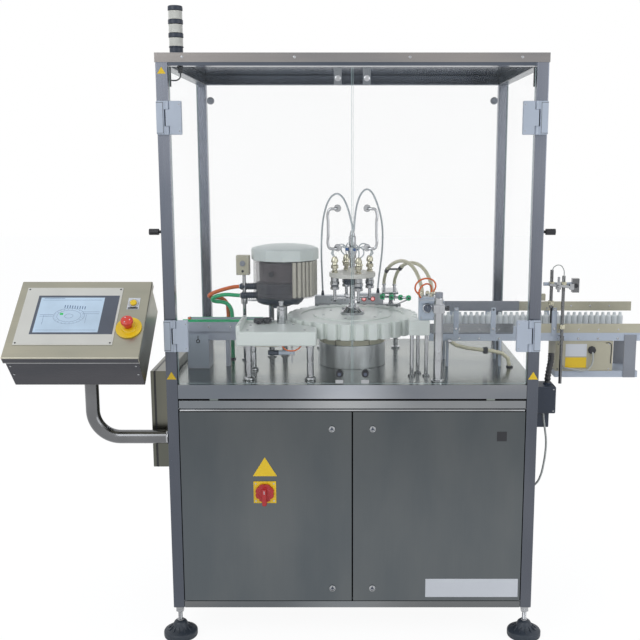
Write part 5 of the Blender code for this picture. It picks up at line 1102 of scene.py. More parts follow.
    def handle(self, side: str, sign: int) -> None:
        """A bright bow handle on two rosettes.

        Args:
            side: Which door.
            sign: -1 on the left, 1 on the right.
        """
        shop = self.shop
        low, high = self.handle_z - 0.006, self.handle_z + 0.1276
        root, grip, proud = 0.05, 0.081, -0.0402
        route = [(sign * root, -0.0004, low), (sign * root, -0.022, low),
            (sign * (root + 0.003), -0.034, low)]
        route += [(sign * (root + 0.014), proud, low), (sign * (grip - 0.006), proud, low + 0.0015)]
        route += [(sign * grip, proud, low + 0.012)]
        back = [(x, y, low + high - z) for x, y, z in reversed(route)]
        middle = [(sign * grip, proud, low + (high - low) * share) for share in (0.35, 0.65)]
        grip_bar = shop.tube(route + middle + back, 0.0048, 16)
        rosettes = [shop.turned((sign * root, -0.0003, z), ((0.012, 0), (0.0125, 0.001), (0.0115, 0.003),
            (0.0065, 0.004)), FRONT, 32) for z in (low, high)]
        shop.fit(f"{side}_door_handle", f"guard_door_{side}", shop.coat([grip_bar, *rosettes], CHROME),
            (f"door_handle_{side}",))


@dataclass
class SignalTower:
    """Signal tower: base, three ribbed lenses between dark rings, and a cap."""

    shop: Workshop
    at: Span = (-0.589, 0.06)
    foot: float = 2.071
    base: float = 0.0245
    lens: float = 0.029
    ring: float = 0.0143
    cap: float = 0.0155

    def build(self) -> None:
        """Builds the tower from the roof up."""
        shop = self.shop
        height = self.foot
        dark = [shop.turned((*self.at, height), ((0.0245, 0), (0.0245, 0.004), (0.0225, 0.006),
            (0.0225, self.base - 0.004), (0.0245, self.base - 0.002), (0.0245, self.base)), sides=40)]
        height += self.base
        clear = []
        for step in range(3):
            ribs = [(0.0228 if turn % 2 else 0.0236, self.lens * (0.04 + 0.92 * turn / 14))
                for turn in range(15)]
            clear.append(shop.turned((*self.at, height), tuple(ribs), sides=40))
            height += self.lens
            if step < 2:
                dark.append(shop.turned((*self.at, height), ((0.0236, 0), (0.0248, 0.001),
                    (0.0248, self.ring - 0.001), (0.0236, self.ring)), sides=40))
                height += self.ring
        dark.append(shop.turned((*self.at, height), ((0.0236, 0), (0.0248, 0.001), (0.0246, self.cap * 0.6),
            (0.024, self.cap * 0.9), (0.022, self.cap)), sides=40))
        shop.fit("signal_tower", "machine", shop.coat(dark, BLUE_BLACK) + shop.coat(clear, LENS, 25),
            ("stack_light",))


@dataclass
class SideEnclosure:
    """Flat enclosure on the left side, its door hinged at the rear."""

    shop: Workshop

    def build(self) -> None:
        """Builds the body and its door with a turn lock."""
        shop = self.shop
        body = shop.coat([shop.skin("side_box_body", 0.0012)], BOX_STEEL)
        low, high = (corner - shop.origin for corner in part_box("side_box_door"))
        inner, outer = (corner - shop.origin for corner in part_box("side_box_body"))
        seal = [shop.block((high[0] + 0.0004, high[0] + 0.0064), (inner[1] - 0.0012, inner[1] + 0.004),
            (inner[2], outer[2]), 0.0008), shop.block((high[0] + 0.0004, high[0] + 0.0064),
            (inner[1], outer[1]), (outer[2] - 0.004, outer[2] + 0.0012), 0.0008)]
        shop.fit("enclosure_body", "machine", body + shop.coat(seal, BLACK), ("side_box_body",))
        door = shop.coat([shop.skin("side_box_door", 0.0014)], BOX_STEEL)
        lock_at = (low[0], low[1] + 0.03, (low[2] + high[2]) / 2)
        lock = shop.turned(lock_at, ((0.011, -0.0014), (0.011, -0.0004), (0.009, 0.0), (0.006, 0.0),
            (0.0055, -0.001)), (-1, 0, 0), 24)
        shop.fit("enclosure_door", "side_box_door", door + shop.coat([lock], CHROME), ("side_box_door",))


@dataclass
class OperatorPanel:
    """Sloped operator panel on its bent pipe.

    Its own pieces are drawn flat about the face's middle, then tilted.
    """

    shop: Workshop
    centre: Point = (-0.9115, -0.1045, 1.2015)
    tilt: float = math.radians(40.7)
    half: Span = (0.2235, 0.1665)
    lid: float = 0.028
    surround: tuple[float, float, float, float] = (-0.015, 0.015, 0.274, 0.168)
    screen: tuple[float, float, float, float] = (-0.0345, 0.014, 0.215, 0.151)
    bezel: tuple[float, float, float, float] = (-0.034, 0.011, 0.326, 0.248)
    estop: Span = (0.173, -0.042)
    button: Span = (0.173, 0.065)

    def build(self) -> None:
        """Builds the box, its face, the two controls and the pipe."""
        self.housing()
        self.face()
        self.controls()
        self.pipe()

    def place(self, pieces: list[bpy.types.Object]) -> list[bpy.types.Object]:
        """Tilts pieces drawn flat about the machine's zero point onto the panel's face."""
        origin = self.shop.origin
        turn = Matrix.Rotation(self.tilt, 4, "X")
        move = Matrix.Translation(origin + Vector(self.centre)) @ turn @ Matrix.Translation(-origin)
        for piece in pieces:
            piece.data.transform(move)
        return pieces

    def patch(self, area: tuple[float, float, float, float], z: Span,
            edge: float = 0.001) -> bpy.types.Object:
        """A flat block on the face, from its centre and size."""
        x, y, width, length = area
        return self.shop.block((x - width / 2, x + width / 2), (y - length / 2, y + length / 2), z, edge)

    def housing(self) -> None:
        """The folded tub under the lid, its hub and a row of rivets."""
        shop = self.shop
        tub = shop.coat([shop.skin("panel_housing", 0.0016)], HOUSING_STEEL)
        # Faces that face forward and down take the dark copy of the steel: painted shade.
        for face in tub[0].data.polygons:
            if face.normal.y < -0.5:
                face.material_index = 1
        tub[0].data.materials.append(SHADED_TUB_STEEL.material())
        rivets = []
        for x in (-0.205, 0.205):
            rivets += shop.screws([(x, -self.half[1] + 0.0058, z) for z in (-0.05, -0.095)], 0.0032)
        shop.fit("operator_housing", "control_panel", tub + self.place(rivets), ("panel_housing",))

    def face(self) -> None:
        """The lid with its seam, the bezel, the dark surround and the lit screen."""
        shop = self.shop
        wide, long = self.half
        lid = [shop.block((-wide, wide), (-long, long), (-self.lid, -0.0003), 0.0035, 3)]
        for (hx, hy), bore in ((self.button, 0.0116), (self.estop, 0.0122)):
            shop.drill(lid[0], shop.turned((hx, hy, -0.02), ((bore, 0.0), (bore, 0.03)), sides=28))
        shop.coat(lid, HOUSING_STEEL)
        # A strip of painted shade on the lid's lower front edge, and a chrome seam strip under it.
        shaded_edge_and_seam = shop.coat([shop.block((-wide + 0.003, wide - 0.003), (-long - 0.0005, -long + 0.002),
            (-self.lid + 0.0035, -0.0038), 0.0006)], SHADED_TUB_STEEL)
        shaded_edge_and_seam += shop.coat([shop.block((-wide + 0.001, wide - 0.001), (-long + 0.0004, -long + 0.004),
            (-self.lid - 0.0008, -self.lid + 0.0022), 0.0008)], CHROME)
        x, y, width, length = self.bezel
        frame_piece = self.patch(self.bezel, (-0.0008, 0.002), 0.0008)
        inner = self.patch((x, y, width - 0.012, length - 0.012), (0.0016, 0.0023), 0.0004)
        shop.coat([frame_piece, inner], BEZEL)
        sx, sy = self.screen[:2]
        screws = shop.screws([(x + dx * (width / 2 - 0.008), y + dy * (length / 2 - 0.008), 0.0022)
            for dx in (-1, 1) for dy in (-1, 1)], 0.003, UP, 0.001)
        shop.coat(screws, BLACK)
        surround = shop.coat([self.patch(self.surround, (0.0016, 0.0028), 0.0005)], DARK_SLATE)
        glass = shop.coat([self.patch(self.screen, (0.002, 0.0034), 0.0004)], SCREEN)
        lines = []
        for dx, dy, lw, ll in ((-0.062, 0.072, 0.07, 0.0016), (0.0, 0.064, 0.2, 0.0008),
                (-0.076, 0.0, 0.044, 0.0009), (-0.076, -0.007, 0.044, 0.0009), (0.072, 0.012, 0.056, 0.0009),
                (0.072, 0.004, 0.056, 0.0009), (0.0, -0.066, 0.2, 0.0008), (-0.084, -0.022, 0.0008, 0.04),
                (0.058, -0.018, 0.0008, 0.036)):
            lines.append(self.patch((sx + dx, sy + dy, lw, ll), (0.003, 0.0037), 0.0001))
        for wide_reach, long_reach in ((0.052, 0.034), (0.04, 0.025), (0.014, 0.009)):
            ring = [(sx + wide_reach * x, sy - 0.006 + long_reach * y, 0.0033)
                for x, y in ring_points(48, 1.0, (0.0, 0.0))]
            lines.append(shop.tube([*ring, ring[0]], 0.0005, 8, smooth=False))
        for across, along in ring_points(22, 1.0, (0.0, 0.0)):
            lines.append(shop.rod((sx + 0.044 * across, sy - 0.006 + 0.028 * along, 0.0032),
                (sx + 0.05 * across, sy - 0.006 + 0.0325 * along, 0.0032), 0.0005, 0.0001, 6))
        for step in range(9):
            lines.append(self.patch((sx - 0.02 + 0.0085 * step, sy + 0.036 - 0.0008 * step, 0.003, 0.013),
                (0.003, 0.0036), 0.0001))
        shop.coat(lines, SCREEN_LINE)
        marks = shop.coat([self.patch((sx - 0.026, sy + 0.003, 0.011, 0.009), (0.003, 0.0038), 0.0003)],
            SCREEN_MARK)
        bx, by = self.button
        plate = [self.patch((bx, by, 0.04, 0.05), (-0.0004, 0.0009), 0.0004)]
        tag = shop.coat([self.patch((bx, by - 0.02, 0.034, 0.007), (0.0004, 0.0013), 0.0002)], BLACK)
        collar = [shop.turned((bx, by, 0.0004), ((0.0178, 0), (0.018, 0.001), (0.0172, 0.003),
            (0.015, 0.0034), (0.012, 0.0034)))]
        for piece in plate + collar:
            shop.drill(piece, shop.turned((bx, by, -0.01), ((0.0115, 0.0), (0.0115, 0.03)), sides=28))
        shop.coat(plate, PLATE_WHITE)
        shop.coat(collar, CHROME)
        ex, ey = self.estop
        disc = [shop.turned((ex, ey, -0.0002), ((0.0425, 0), (0.043, 0.001), (0.043, 0.0052), (0.0415, 0.006),
            (0.0262, 0.006), (0.025, 0.0072), (0.0235, 0.011), (0.0205, 0.0121), (0.0138, 0.0121)), sides=48)]
        shop.drill(disc[0], shop.turned((ex, ey, -0.01), ((0.0121, 0.0), (0.0121, 0.03)), sides=28))
        shop.coat(disc, YELLOW)
        pieces = lid + shaded_edge_and_seam + [frame_piece, inner] + surround + glass + lines + marks + screws
        pieces += plate + tag + collar + disc
        shop.fit("operator_face", "control_panel", self.place(pieces), ("panel_front",))

    def controls(self) -> None:
        """The mushroom stop head and the push button."""
        shop = self.shop
        head = shop.turned((*self.estop, 0.0), ((0.0108, 0.0095), (0.0115, 0.0195), (0.015, 0.0205),
            (0.016, 0.028), (0.0186, 0.03), (0.0202, 0.0325), (0.0204, 0.039), (0.0196, 0.0425),
            (0.017, 0.0445), (0.012, 0.0452), (0.004, 0.0454)), sides=40)
        arrows = []
        for x, y in ring_points(3, 0.0105, self.estop):
            arrows.append(shop.turned((x, y, 0.0446), ((0.0024, 0), (0.0022, 0.0008)), sides=12))
        shop.fit("stop_head", "estop_button", self.place(shop.coat([head], RED) + shop.coat(arrows,
            PLATE_WHITE)), ("estop_button",))
        cap = shop.turned((*self.button, 0.0), ((0.0106, 0.0008), (0.011, 0.0015), (0.011, 0.0078),
            (0.0102, 0.0087), (0.0088, 0.0088), (0.0082, 0.0082), (0.003, 0.008)))
        shop.fit("push_button_cap", "push_button", self.place(shop.coat([cap], YELLOW)), ("push_button",))

    def pipe(self) -> None:
        """The polished pipe with a weld ring at the post and a clamp ring under the panel."""
        shop = self.shop
        y, z, x_end, bend = 0.02, 0.756, -0.915, 0.095
        arc = [(x_end + bend - bend * math.sin(turn), y, z + bend - bend * math.cos(turn))
            for turn in (math.pi / 2 * step / 14 for step in range(15))]
        route = [(-0.6504, y, z), *arc, (x_end, y, 1.0596)]
        body = [shop.tube(route, 0.02412, 40, smooth=False)]
        rings = [shop.turned((-0.6504, y, z), ((0.0262, 0), (0.0272, 0.0015), (0.0256, 0.004),
            (0.0243, 0.0056)), (-1, 0, 0), 40), shop.turned((x_end, y, 1.04),
            ((0.0243, 0), (0.0282, 0.0015), (0.029, 0.004), (0.029, 0.015), (0.027, 0.018)), sides=40)]
        shop.fit("arm_tube", "machine", shop.coat(body, PIPE_STEEL) + shop.coat(rings, CHROME), ("arm_pipe",))


@dataclass
class StarWheel:
    """Lobed wheel with the turret above it, on the drum's shaft."""

    shop: Workshop
    centre: Span = (0.0, 0.37)
    radius: float = 0.25
    low: float = 1.081
    high: float = 1.14
    lobes: int = 30
    depth: float = 0.015
    groove: float = 0.0121
    heads: int = 4
    head_circle: float = 0.0705
    head_first: float = math.radians(19)

    def build(self) -> None:
        """Builds the wheel, the drum, the turret, the plungers and the air hoses."""
        self.wheel()
        self.drum()
        self.turret()
        self.plungers()
        self.hoses()

    def rim(self, depth: float, swell: float = 0.0) -> list[Span]:
        """The lobed outline: round-cornered lobes with narrow grooves between them.

        Args:
            depth: How far the grooves run in.
            swell: How far the whole outline is drawn in.

        Returns:
            X and Y of each corner, anticlockwise.
        """
        outline = []
        pitch = 2 * math.pi / self.lobes
        half = self.groove / 2 / self.radius
        for lobe in range(self.lobes):
            middle = lobe * pitch
            edge = pitch / 2 - half
            steps = ((-edge, depth), (-edge + 0.001, 0.0092), (-edge + 0.01, 0.0044), (-edge + 0.026, 0.0012),
                (0.0, 0.0), (edge - 0.026, 0.0012), (edge - 0.01, 0.0044), (edge - 0.001, 0.0092),
                (edge, depth), (edge + half * 0.5, depth + 0.0022), (edge + half * 1.5, depth + 0.0022))
            for turn, inward in steps:
                reach = self.radius - swell - inward
                outline.append((self.centre[0] + reach * math.cos(middle + turn),
                    self.centre[1] + reach * math.sin(middle + turn)))
        return outline

    def wheel(self) -> None:
        """The lobed disc with a recessed ring, pocket screws and its hub on the shaft."""
        shop = self.shop
        disc = shop.prism(self.rim(self.depth), (self.low, self.high), 0.0032, 3)
        trench = shop.turned((*self.centre, self.high - 0.004), ((0.196, 0.0), (0.198, 0.02)), sides=120)
        core = shop.turned((*self.centre, self.high - 0.0042), ((0.15, 0.0), (0.148, 0.03)), sides=96)
        shop.drill(trench, core)
        shop.drill(disc, trench)
        bore = shop.turned((*self.centre, self.low - 0.004), ((0.047, 0.0), (0.047, 0.07)), sides=48)
        shop.drill(disc, bore)
        shop.coat([disc], POLYMER, 30)
        screws = shop.screws([(x, y, self.high) for x, y in ring_points(6, 0.115, self.centre, 0.3)], 0.0055,
            UP, 0.0016)
        hub = [shop.turned((*self.centre, self.low), ((0.03, 0.0), (0.047, 0.001), (0.047, 0.0593),
            (0.045, 0.06), (0.045, 0.068), (0.04, 0.072), (0.03, 0.08), (0.025, 0.089), (0.016, 0.089)),
            sides=56), shop.rod((*self.centre, 0.8885), (*self.centre, self.low + 0.002), 0.015, 0.001, 28),
            shop.rod((*self.centre, 1.165), (*self.centre, 1.385), 0.0105, 0.0008, 28),
            shop.turned((*self.centre, 1.17), ((0.015, 0.0), (0.015, 0.01), (0.0135, 0.012),
            (0.0108, 0.0125)), sides=28)]
        knobs = []
        for x, y in ring_points(3, 0.034, self.centre, 0.9):
            knobs.append(shop.turned((x, y, 1.148), ((0.004, 0), (0.004, 0.006), (0.0066, 0.007),
                (0.007, 0.013), (0.005, 0.0155)), sides=16))
        shop.coat(hub + knobs, CHROME)
        shop.fit("star_wheel_disc", "star_wheel", [disc] + screws + hub + knobs, ("star_wheel",))

    def drum(self) -> None:
        """The satin drum under the wheel, with its ring of polymer segments and screws."""
        shop = self.shop
        body = shop.turned((*self.centre, 0.9484), ((0.1255, 0.0), (0.127, 0.0015), (0.127, 0.086),
            (0.1255, 0.0885), (0.116, 0.089), (0.114, 0.09), (0.114, 0.1315)), sides=96)
        base = shop.turned((*self.centre, 0.9484), ((0.1268, 0.0), (0.127, 0.001), (0.127, 0.004),
            (0.1255, 0.005)), sides=96)
        shop.coat([body, base], TURNED_STEEL)
        ring = []
        for step in range(12):
            first = 2 * math.pi * step / 12 + 0.02
            last = first + 2 * math.pi / 12 - 0.04
            outline = swept(self.centre, 0.1268, first, last, 8) + swept(self.centre, 0.1142, last, first, 8)
            ring.append(shop.prism(outline, (1.0376, 1.056), 0.0012))
        shop.coat(ring, IVORY)
        places = [(x, y, 1.056) for x, y in ring_points(12, 0.1205, self.centre, math.pi / 12)]
        shop.fit("wheel_drum_body", "machine", [body, base] + ring + shop.screws(places, 0.0036, UP, 0.0014),
            ("wheel_drum",))

    def turret(self) -> None:
        """The turret plate with four fittings and barrels, and thin clear links to its column."""
        shop = self.shop
        base = TABLE
        plate = shop.turned((*self.centre, base + 0.336), ((0.086, 0.0), (0.088, 0.0015), (0.088, 0.015),
            (0.086, 0.017), (0.056, 0.0172), (0.054, 0.016), (0.03, 0.016), (0.029, 0.0172), (0.018, 0.018),
            (0.017, 0.034), (0.011, 0.036)), sides=56)
        dark = shop.turned((*self.centre, base + 0.306), ((0.03, 0.0), (0.034, 0.002), (0.034, 0.028),
            (0.03, 0.0302)), sides=40)
        shop.coat([plate], BEZEL)
        shop.coat([dark], BLUE_BLACK)
        steel, brass, clear, blue, dim = [], [], [], [], []
        cx, cy = self.centre
        for index, (x, y) in enumerate(ring_points(self.heads, self.head_circle, self.centre,
                self.head_first)):
            barrel = ((0.013, 0.0), (0.0168, 0.0014), (0.0168, 0.011), (0.014, 0.0126), (0.014, 0.017),
                (0.0172, 0.019), (0.0172, 0.03), (0.015, 0.032), (0.015, 0.0482))
            steel.append(shop.turned((x, y, base + 0.288), barrel, sides=24))
            band = shop.turned((x, y, base + 0.302), ((0.0144, 0.0), (0.015, 0.0006), (0.015, 0.003),
                (0.0144, 0.0036)), sides=24)
            dim.append(shop.drill(band, shop.turned((x, y, base + 0.298), ((0.0085, 0.0), (0.0085, 0.012)),
                sides=20)))
            brass.append(shop.turned((x, y, base + 0.3525), ((0.013, 0.0), (0.013, 0.008), (0.011, 0.0096)),
                sides=6))
            fitting = ((0.009, 0.0), (0.009, 0.007), (0.014, 0.0084), (0.0142, 0.02), (0.0104, 0.0226),
                (0.0088, 0.029), (0.0132, 0.031), (0.0134, 0.0392), (0.0108, 0.047), (0.007, 0.053))
            brass.append(shop.turned((x, y, base + 0.3615), fitting, sides=20))
            out = Vector((x - cx, y - cy, 0)).normalized()
            side = Vector((-out.y, out.x, 0)) * (0.018 if index % 2 else -0.018)
            brass.append(shop.turned((x, y, base + 0.376), ((0.0062, 0.0), (0.0062, 0.018), (0.0048, 0.02)),
                tuple(side * 10 + Vector((0, 0, 0.16))), 6))
            port = Vector((cx, cy, base + 0.44)) + out * 0.019
            blue.append(shop.turned(tuple(port), ((0.0056, -0.004), (0.006, 0.0), (0.006, 0.007),
                (0.0046, 0.0084)), tuple(out), 12))
            for lift, share in ((0.015, 0.0), (0.004, 1.0)):
                over = Vector((cx, cy, base + 0.445 + lift)) + out * 0.042 + side * share
                down = Vector((x, y, base + 0.425 + lift * 0.4)) + out * 0.006 + side * share
                clear.append(shop.tube([tuple(port), tuple(over), tuple(down),
                    (x + side.x * 0.4 * share, y + side.y * 0.4 * share, base + 0.412)], 0.0024, 10))
        manifold = shop.turned((cx, cy, base + 0.405), ((0.0105, 0.0), (0.015, 0.0015), (0.015, 0.018),
            (0.0172, 0.02), (0.0172, 0.026), (0.0185, 0.027), (0.0185, 0.043), (0.015, 0.045),
            (0.0108, 0.047)), sides=28)
        shop.coat(steel + [manifold], CHROME)
        shop.coat(brass, BRASS)
        shop.coat(clear, AIR_HOSE)
        shop.coat(blue, BLUE)
        shop.coat(dim, BLUE_BLACK)
        shop.fit("turret_plate", "star_wheel", [plate, dark] + steel + [
            manifold] + brass + clear + blue + dim, ("turret_head",))

    def plungers(self) -> None:
        """The plungers with black tips on their spider."""
        shop = self.shop
        base = TABLE
        spider = shop.turned((*self.centre, base + 0.2506), ((0.0135, 0.0), (0.014, 0.0005), (0.014, 0.0062),
            (0.0135, 0.0067)), sides=32)
        bore = shop.turned((*self.centre, base + 0.245), ((0.0114, 0.0), (0.0114, 0.03)), sides=28)
        spider = shop.drill(spider, bore)
        pieces = [spider]
        tips = []
        for x, y in ring_points(self.heads, self.head_circle, self.centre, self.head_first):
            toward = Vector((x - self.centre[0], y - self.centre[1], 0)).normalized()
            side = Vector((-toward.y, toward.x, 0)) * 0.0055
            near = Vector((self.centre[0], self.centre[1], 0)) + toward * 0.0125
            outline = [near - side, Vector((x, y, 0)) - side, Vector((x, y, 0)) + side, near + side]
            pieces.append(shop.prism([(spot.x, spot.y) for spot in outline], (base + 0.2508, base + 0.2573),
                0.0008))
            pieces.append(shop.turned((x, y, base + 0.242), ((0.004, 0.006), (0.0062, 0.007), (0.0062, 0.014),
                (0.0104, 0.015), (0.0104, 0.0166), (0.006, 0.0174), (0.006, 0.051)), sides=20))
            tips.append(shop.turned((x, y, base + 0.242), ((0.0026, 0.0), (0.0056, 0.0016), (0.0058, 0.0068)),
                sides=20))
        shop.fit("plunger_set", "turret_plungers", shop.coat(pieces, CHROME) + shop.coat(tips, BLACK),
            ("turret_plungers",))

    def hoses(self) -> None:
        """The union on top of the column and the two thin air hoses that bow over it."""
        shop = self.shop
        union = shop.turned((*self.centre, 1.3853), ((0.01, 0.0), (0.0105, 0.001), (0.0105, 0.015),
            (0.0135, 0.017), (0.014, 0.02), (0.014, 0.048), (0.0125, 0.052), (0.0105, 0.054), (0.0105, 0.06),
            (0.006, 0.074)), sides=28)
        nuts = [shop.turned((0.0, 0.37, 1.408), ((0.006, 0.0), (0.006, 0.012), (0.0042, 0.0135)),
            (sign, 0.4, 1.1), 6) for sign in (-1, 1)]
        steel = shop.coat([union, *nuts], CHROME)
        tubes = shop.coat([shop.tube(list(AIR_HOSE_LEFT), 0.0037, 14),
            shop.tube(list(AIR_HOSE_RIGHT), 0.0037, 14)], AIR_HOSE)
        ends = []
        for x, y, z in (AIR_HOSE_LEFT[-1], AIR_HOSE_RIGHT[-1]):
            ends.append(shop.turned((x, y, z + 0.0002), ((0.0065, 0.0), (0.0065, 0.01), (0.005, 0.012),
                (0.005, 0.018), (0.004, 0.02)), sides=12))
        shop.fit("air_lines", "machine", steel + tubes + shop.coat(ends, BLUE_BLACK),
            ("air_union_and_hoses",))


AIR_HOSE_LEFT = ((0.004, 0.37, 1.446), (0.001, 0.376, 1.47), (-0.006, 0.388, 1.5), (-0.013, 0.402, 1.527),
    (-0.024, 0.42, 1.557), (-0.038, 0.44, 1.581), (-0.056, 0.457, 1.593), (-0.075, 0.475, 1.587),
    (-0.092, 0.496, 1.566), (-0.105, 0.517, 1.534), (-0.115, 0.54, 1.492), (-0.121, 0.563, 1.443),
    (-0.124, 0.585, 1.39), (-0.125, 0.605, 1.335), (-0.124, 0.625, 1.275), (-0.123, 0.64, 1.225),
    (-0.122, 0.65, 1.19), (-0.122, 0.65, 1.1707))
AIR_HOSE_RIGHT = ((0.004, 0.37, 1.446), (0.007, 0.376, 1.47), (0.01, 0.39, 1.505), (0.015, 0.408, 1.54),
    (0.024, 0.428, 1.573), (0.038, 0.448, 1.599), (0.056, 0.468, 1.61), (0.074, 0.489, 1.6),
    (0.089, 0.51, 1.574), (0.102, 0.531, 1.54), (0.113, 0.55, 1.5), (0.12, 0.57, 1.455), (0.122, 0.59, 1.405),
    (0.12, 0.612, 1.35), (0.115, 0.634, 1.295), (0.109, 0.652, 1.24), (0.106, 0.661, 1.2),
    (0.106, 0.661, 1.179))


@dataclass
class GuideBlock:
    """White guide block left of the wheel, on three turned posts."""

    shop: Workshop
    x: Span = (-0.41, -0.127)
    y: Span = (0.05, 0.2745)
    z: Span = (1.075, 1.127)
    wheel: Span = (0.0, 0.37)
    arc: float = 0.256
    posts: tuple[Span, ...] = ((-0.37, 0.082), (-0.15, 0.082), (-0.37, 0.24))

    def build(self) -> None:
        """Builds the block, its raised wall, the clamp knob, the chrome cylinder and the posts."""
        shop = self.shop
        block = shop.block(self.x, self.y, self.z, 0.006, 4)
        cutter = shop.turned((*self.wheel, self.z[0] - 0.01), ((self.arc, 0.0), (self.arc, 0.08)), sides=160)
        shop.drill(block, cutter)
        wall = shop.block((self.x[0], self.x[0] + 0.015), self.y, (self.z[1] - 0.012, 1.15), 0.004, 3)
        step = shop.block((-0.385, -0.3), (0.0496, 0.056), (1.08, 1.122), 0.0015)
        ledge = shop.block((-0.398, -0.235), (0.246, 0.2742), (self.z[1] - 0.004, 1.131), 0.0015)
        polymer = shop.coat([block, wall, step, ledge], POLYMER, 35)
        screws = shop.screws([(x, y, self.z[1]) for x, y in ((-0.372, 0.086), (-0.168, 0.088),
            (-0.215, 0.196), (-0.372, 0.186))], 0.0052, UP)
        wall_screws = shop.screws([(self.x[0] + 0.0075, y, 1.15) for y in (0.075, 0.16, 0.245)], 0.0036, UP,
            0.001)
        knob = shop.turned((-0.345, 0.215, self.z[1]), ((0.009, 0.0), (0.009, 0.004), (0.0178, 0.0052),
            (0.019, 0.0072), (0.019, 0.0165), (0.0165, 0.0205), (0.006, 0.022)), sides=9)
        shop.ease(knob, 0.0014)
        knobs = shop.copies(knob, [(0.029, 0.012, 0.0)])
        cylinder = [shop.turned((-0.262, 0.228, self.z[1]), ((0.016, 0.0), (0.0164, 0.0008), (0.0164, 0.05),
            (0.015, 0.0515), (0.015, 0.054), (0.0164, 0.0555), (0.0164, 0.062), (0.0136, 0.065),
            (0.0078, 0.066), (0.0078, 0.076), (0.0096, 0.077), (0.0096, 0.083), (0.006, 0.086)), sides=28),
            shop.rod((-0.215, 0.09, 1.076), (-0.215, 0.09, 1.008), 0.003),
            shop.block((-0.222, -0.208), (0.083, 0.097), (1.038, 1.052), 0.002)]
        shop.coat(cylinder, CHROME)
        probe = shop.coat([shop.rod((-0.262, 0.09, 1.045), (-0.205, 0.09, 1.045), 0.008, 0.0012)], PALE_GREY)
        probe += shop.coat([shop.rod((-0.3, 0.09, 1.045), (-0.262, 0.09, 1.045), 0.0092, 0.0016)], BLUE_BLACK)
        loop = [(-0.25, 0.066, 1.077), (-0.238, 0.06, 1.064), (-0.215, 0.057, 1.058), (-0.192, 0.06, 1.064),
            (-0.18, 0.066, 1.077)]
        probe += shop.coat([shop.tube(loop, 0.0024, 10)], ORANGE)
        probe += shop.coat([shop.block((-0.345, -0.262), (0.07, 0.16), (1.07, 1.076), 0.001)], IVORY)
        shop.fit("guide_block_body", "machine", polymer + screws + wall_screws + shop.coat(knobs,
            BLACK) + cylinder + probe, ("guide_block",))
        legs = []
        for x, y in self.posts:
            legs.append(shop.turned((x, y, 0.9484), ((0.0195, 0.0), (0.02, 0.001), (0.02, 0.006),
                (0.0185, 0.0085), (0.0135, 0.012), (0.0125, 0.0135), (0.0125, 0.062), (0.0112, 0.064),
                (0.0112, 0.07), (0.0125, 0.072), (0.0125, 0.115), (0.0145, 0.116), (0.0145, 0.1262)),
                sides=28))
        shop.fit("guide_block_posts", "machine", shop.coat(legs, CHROME), ("guide_posts",))


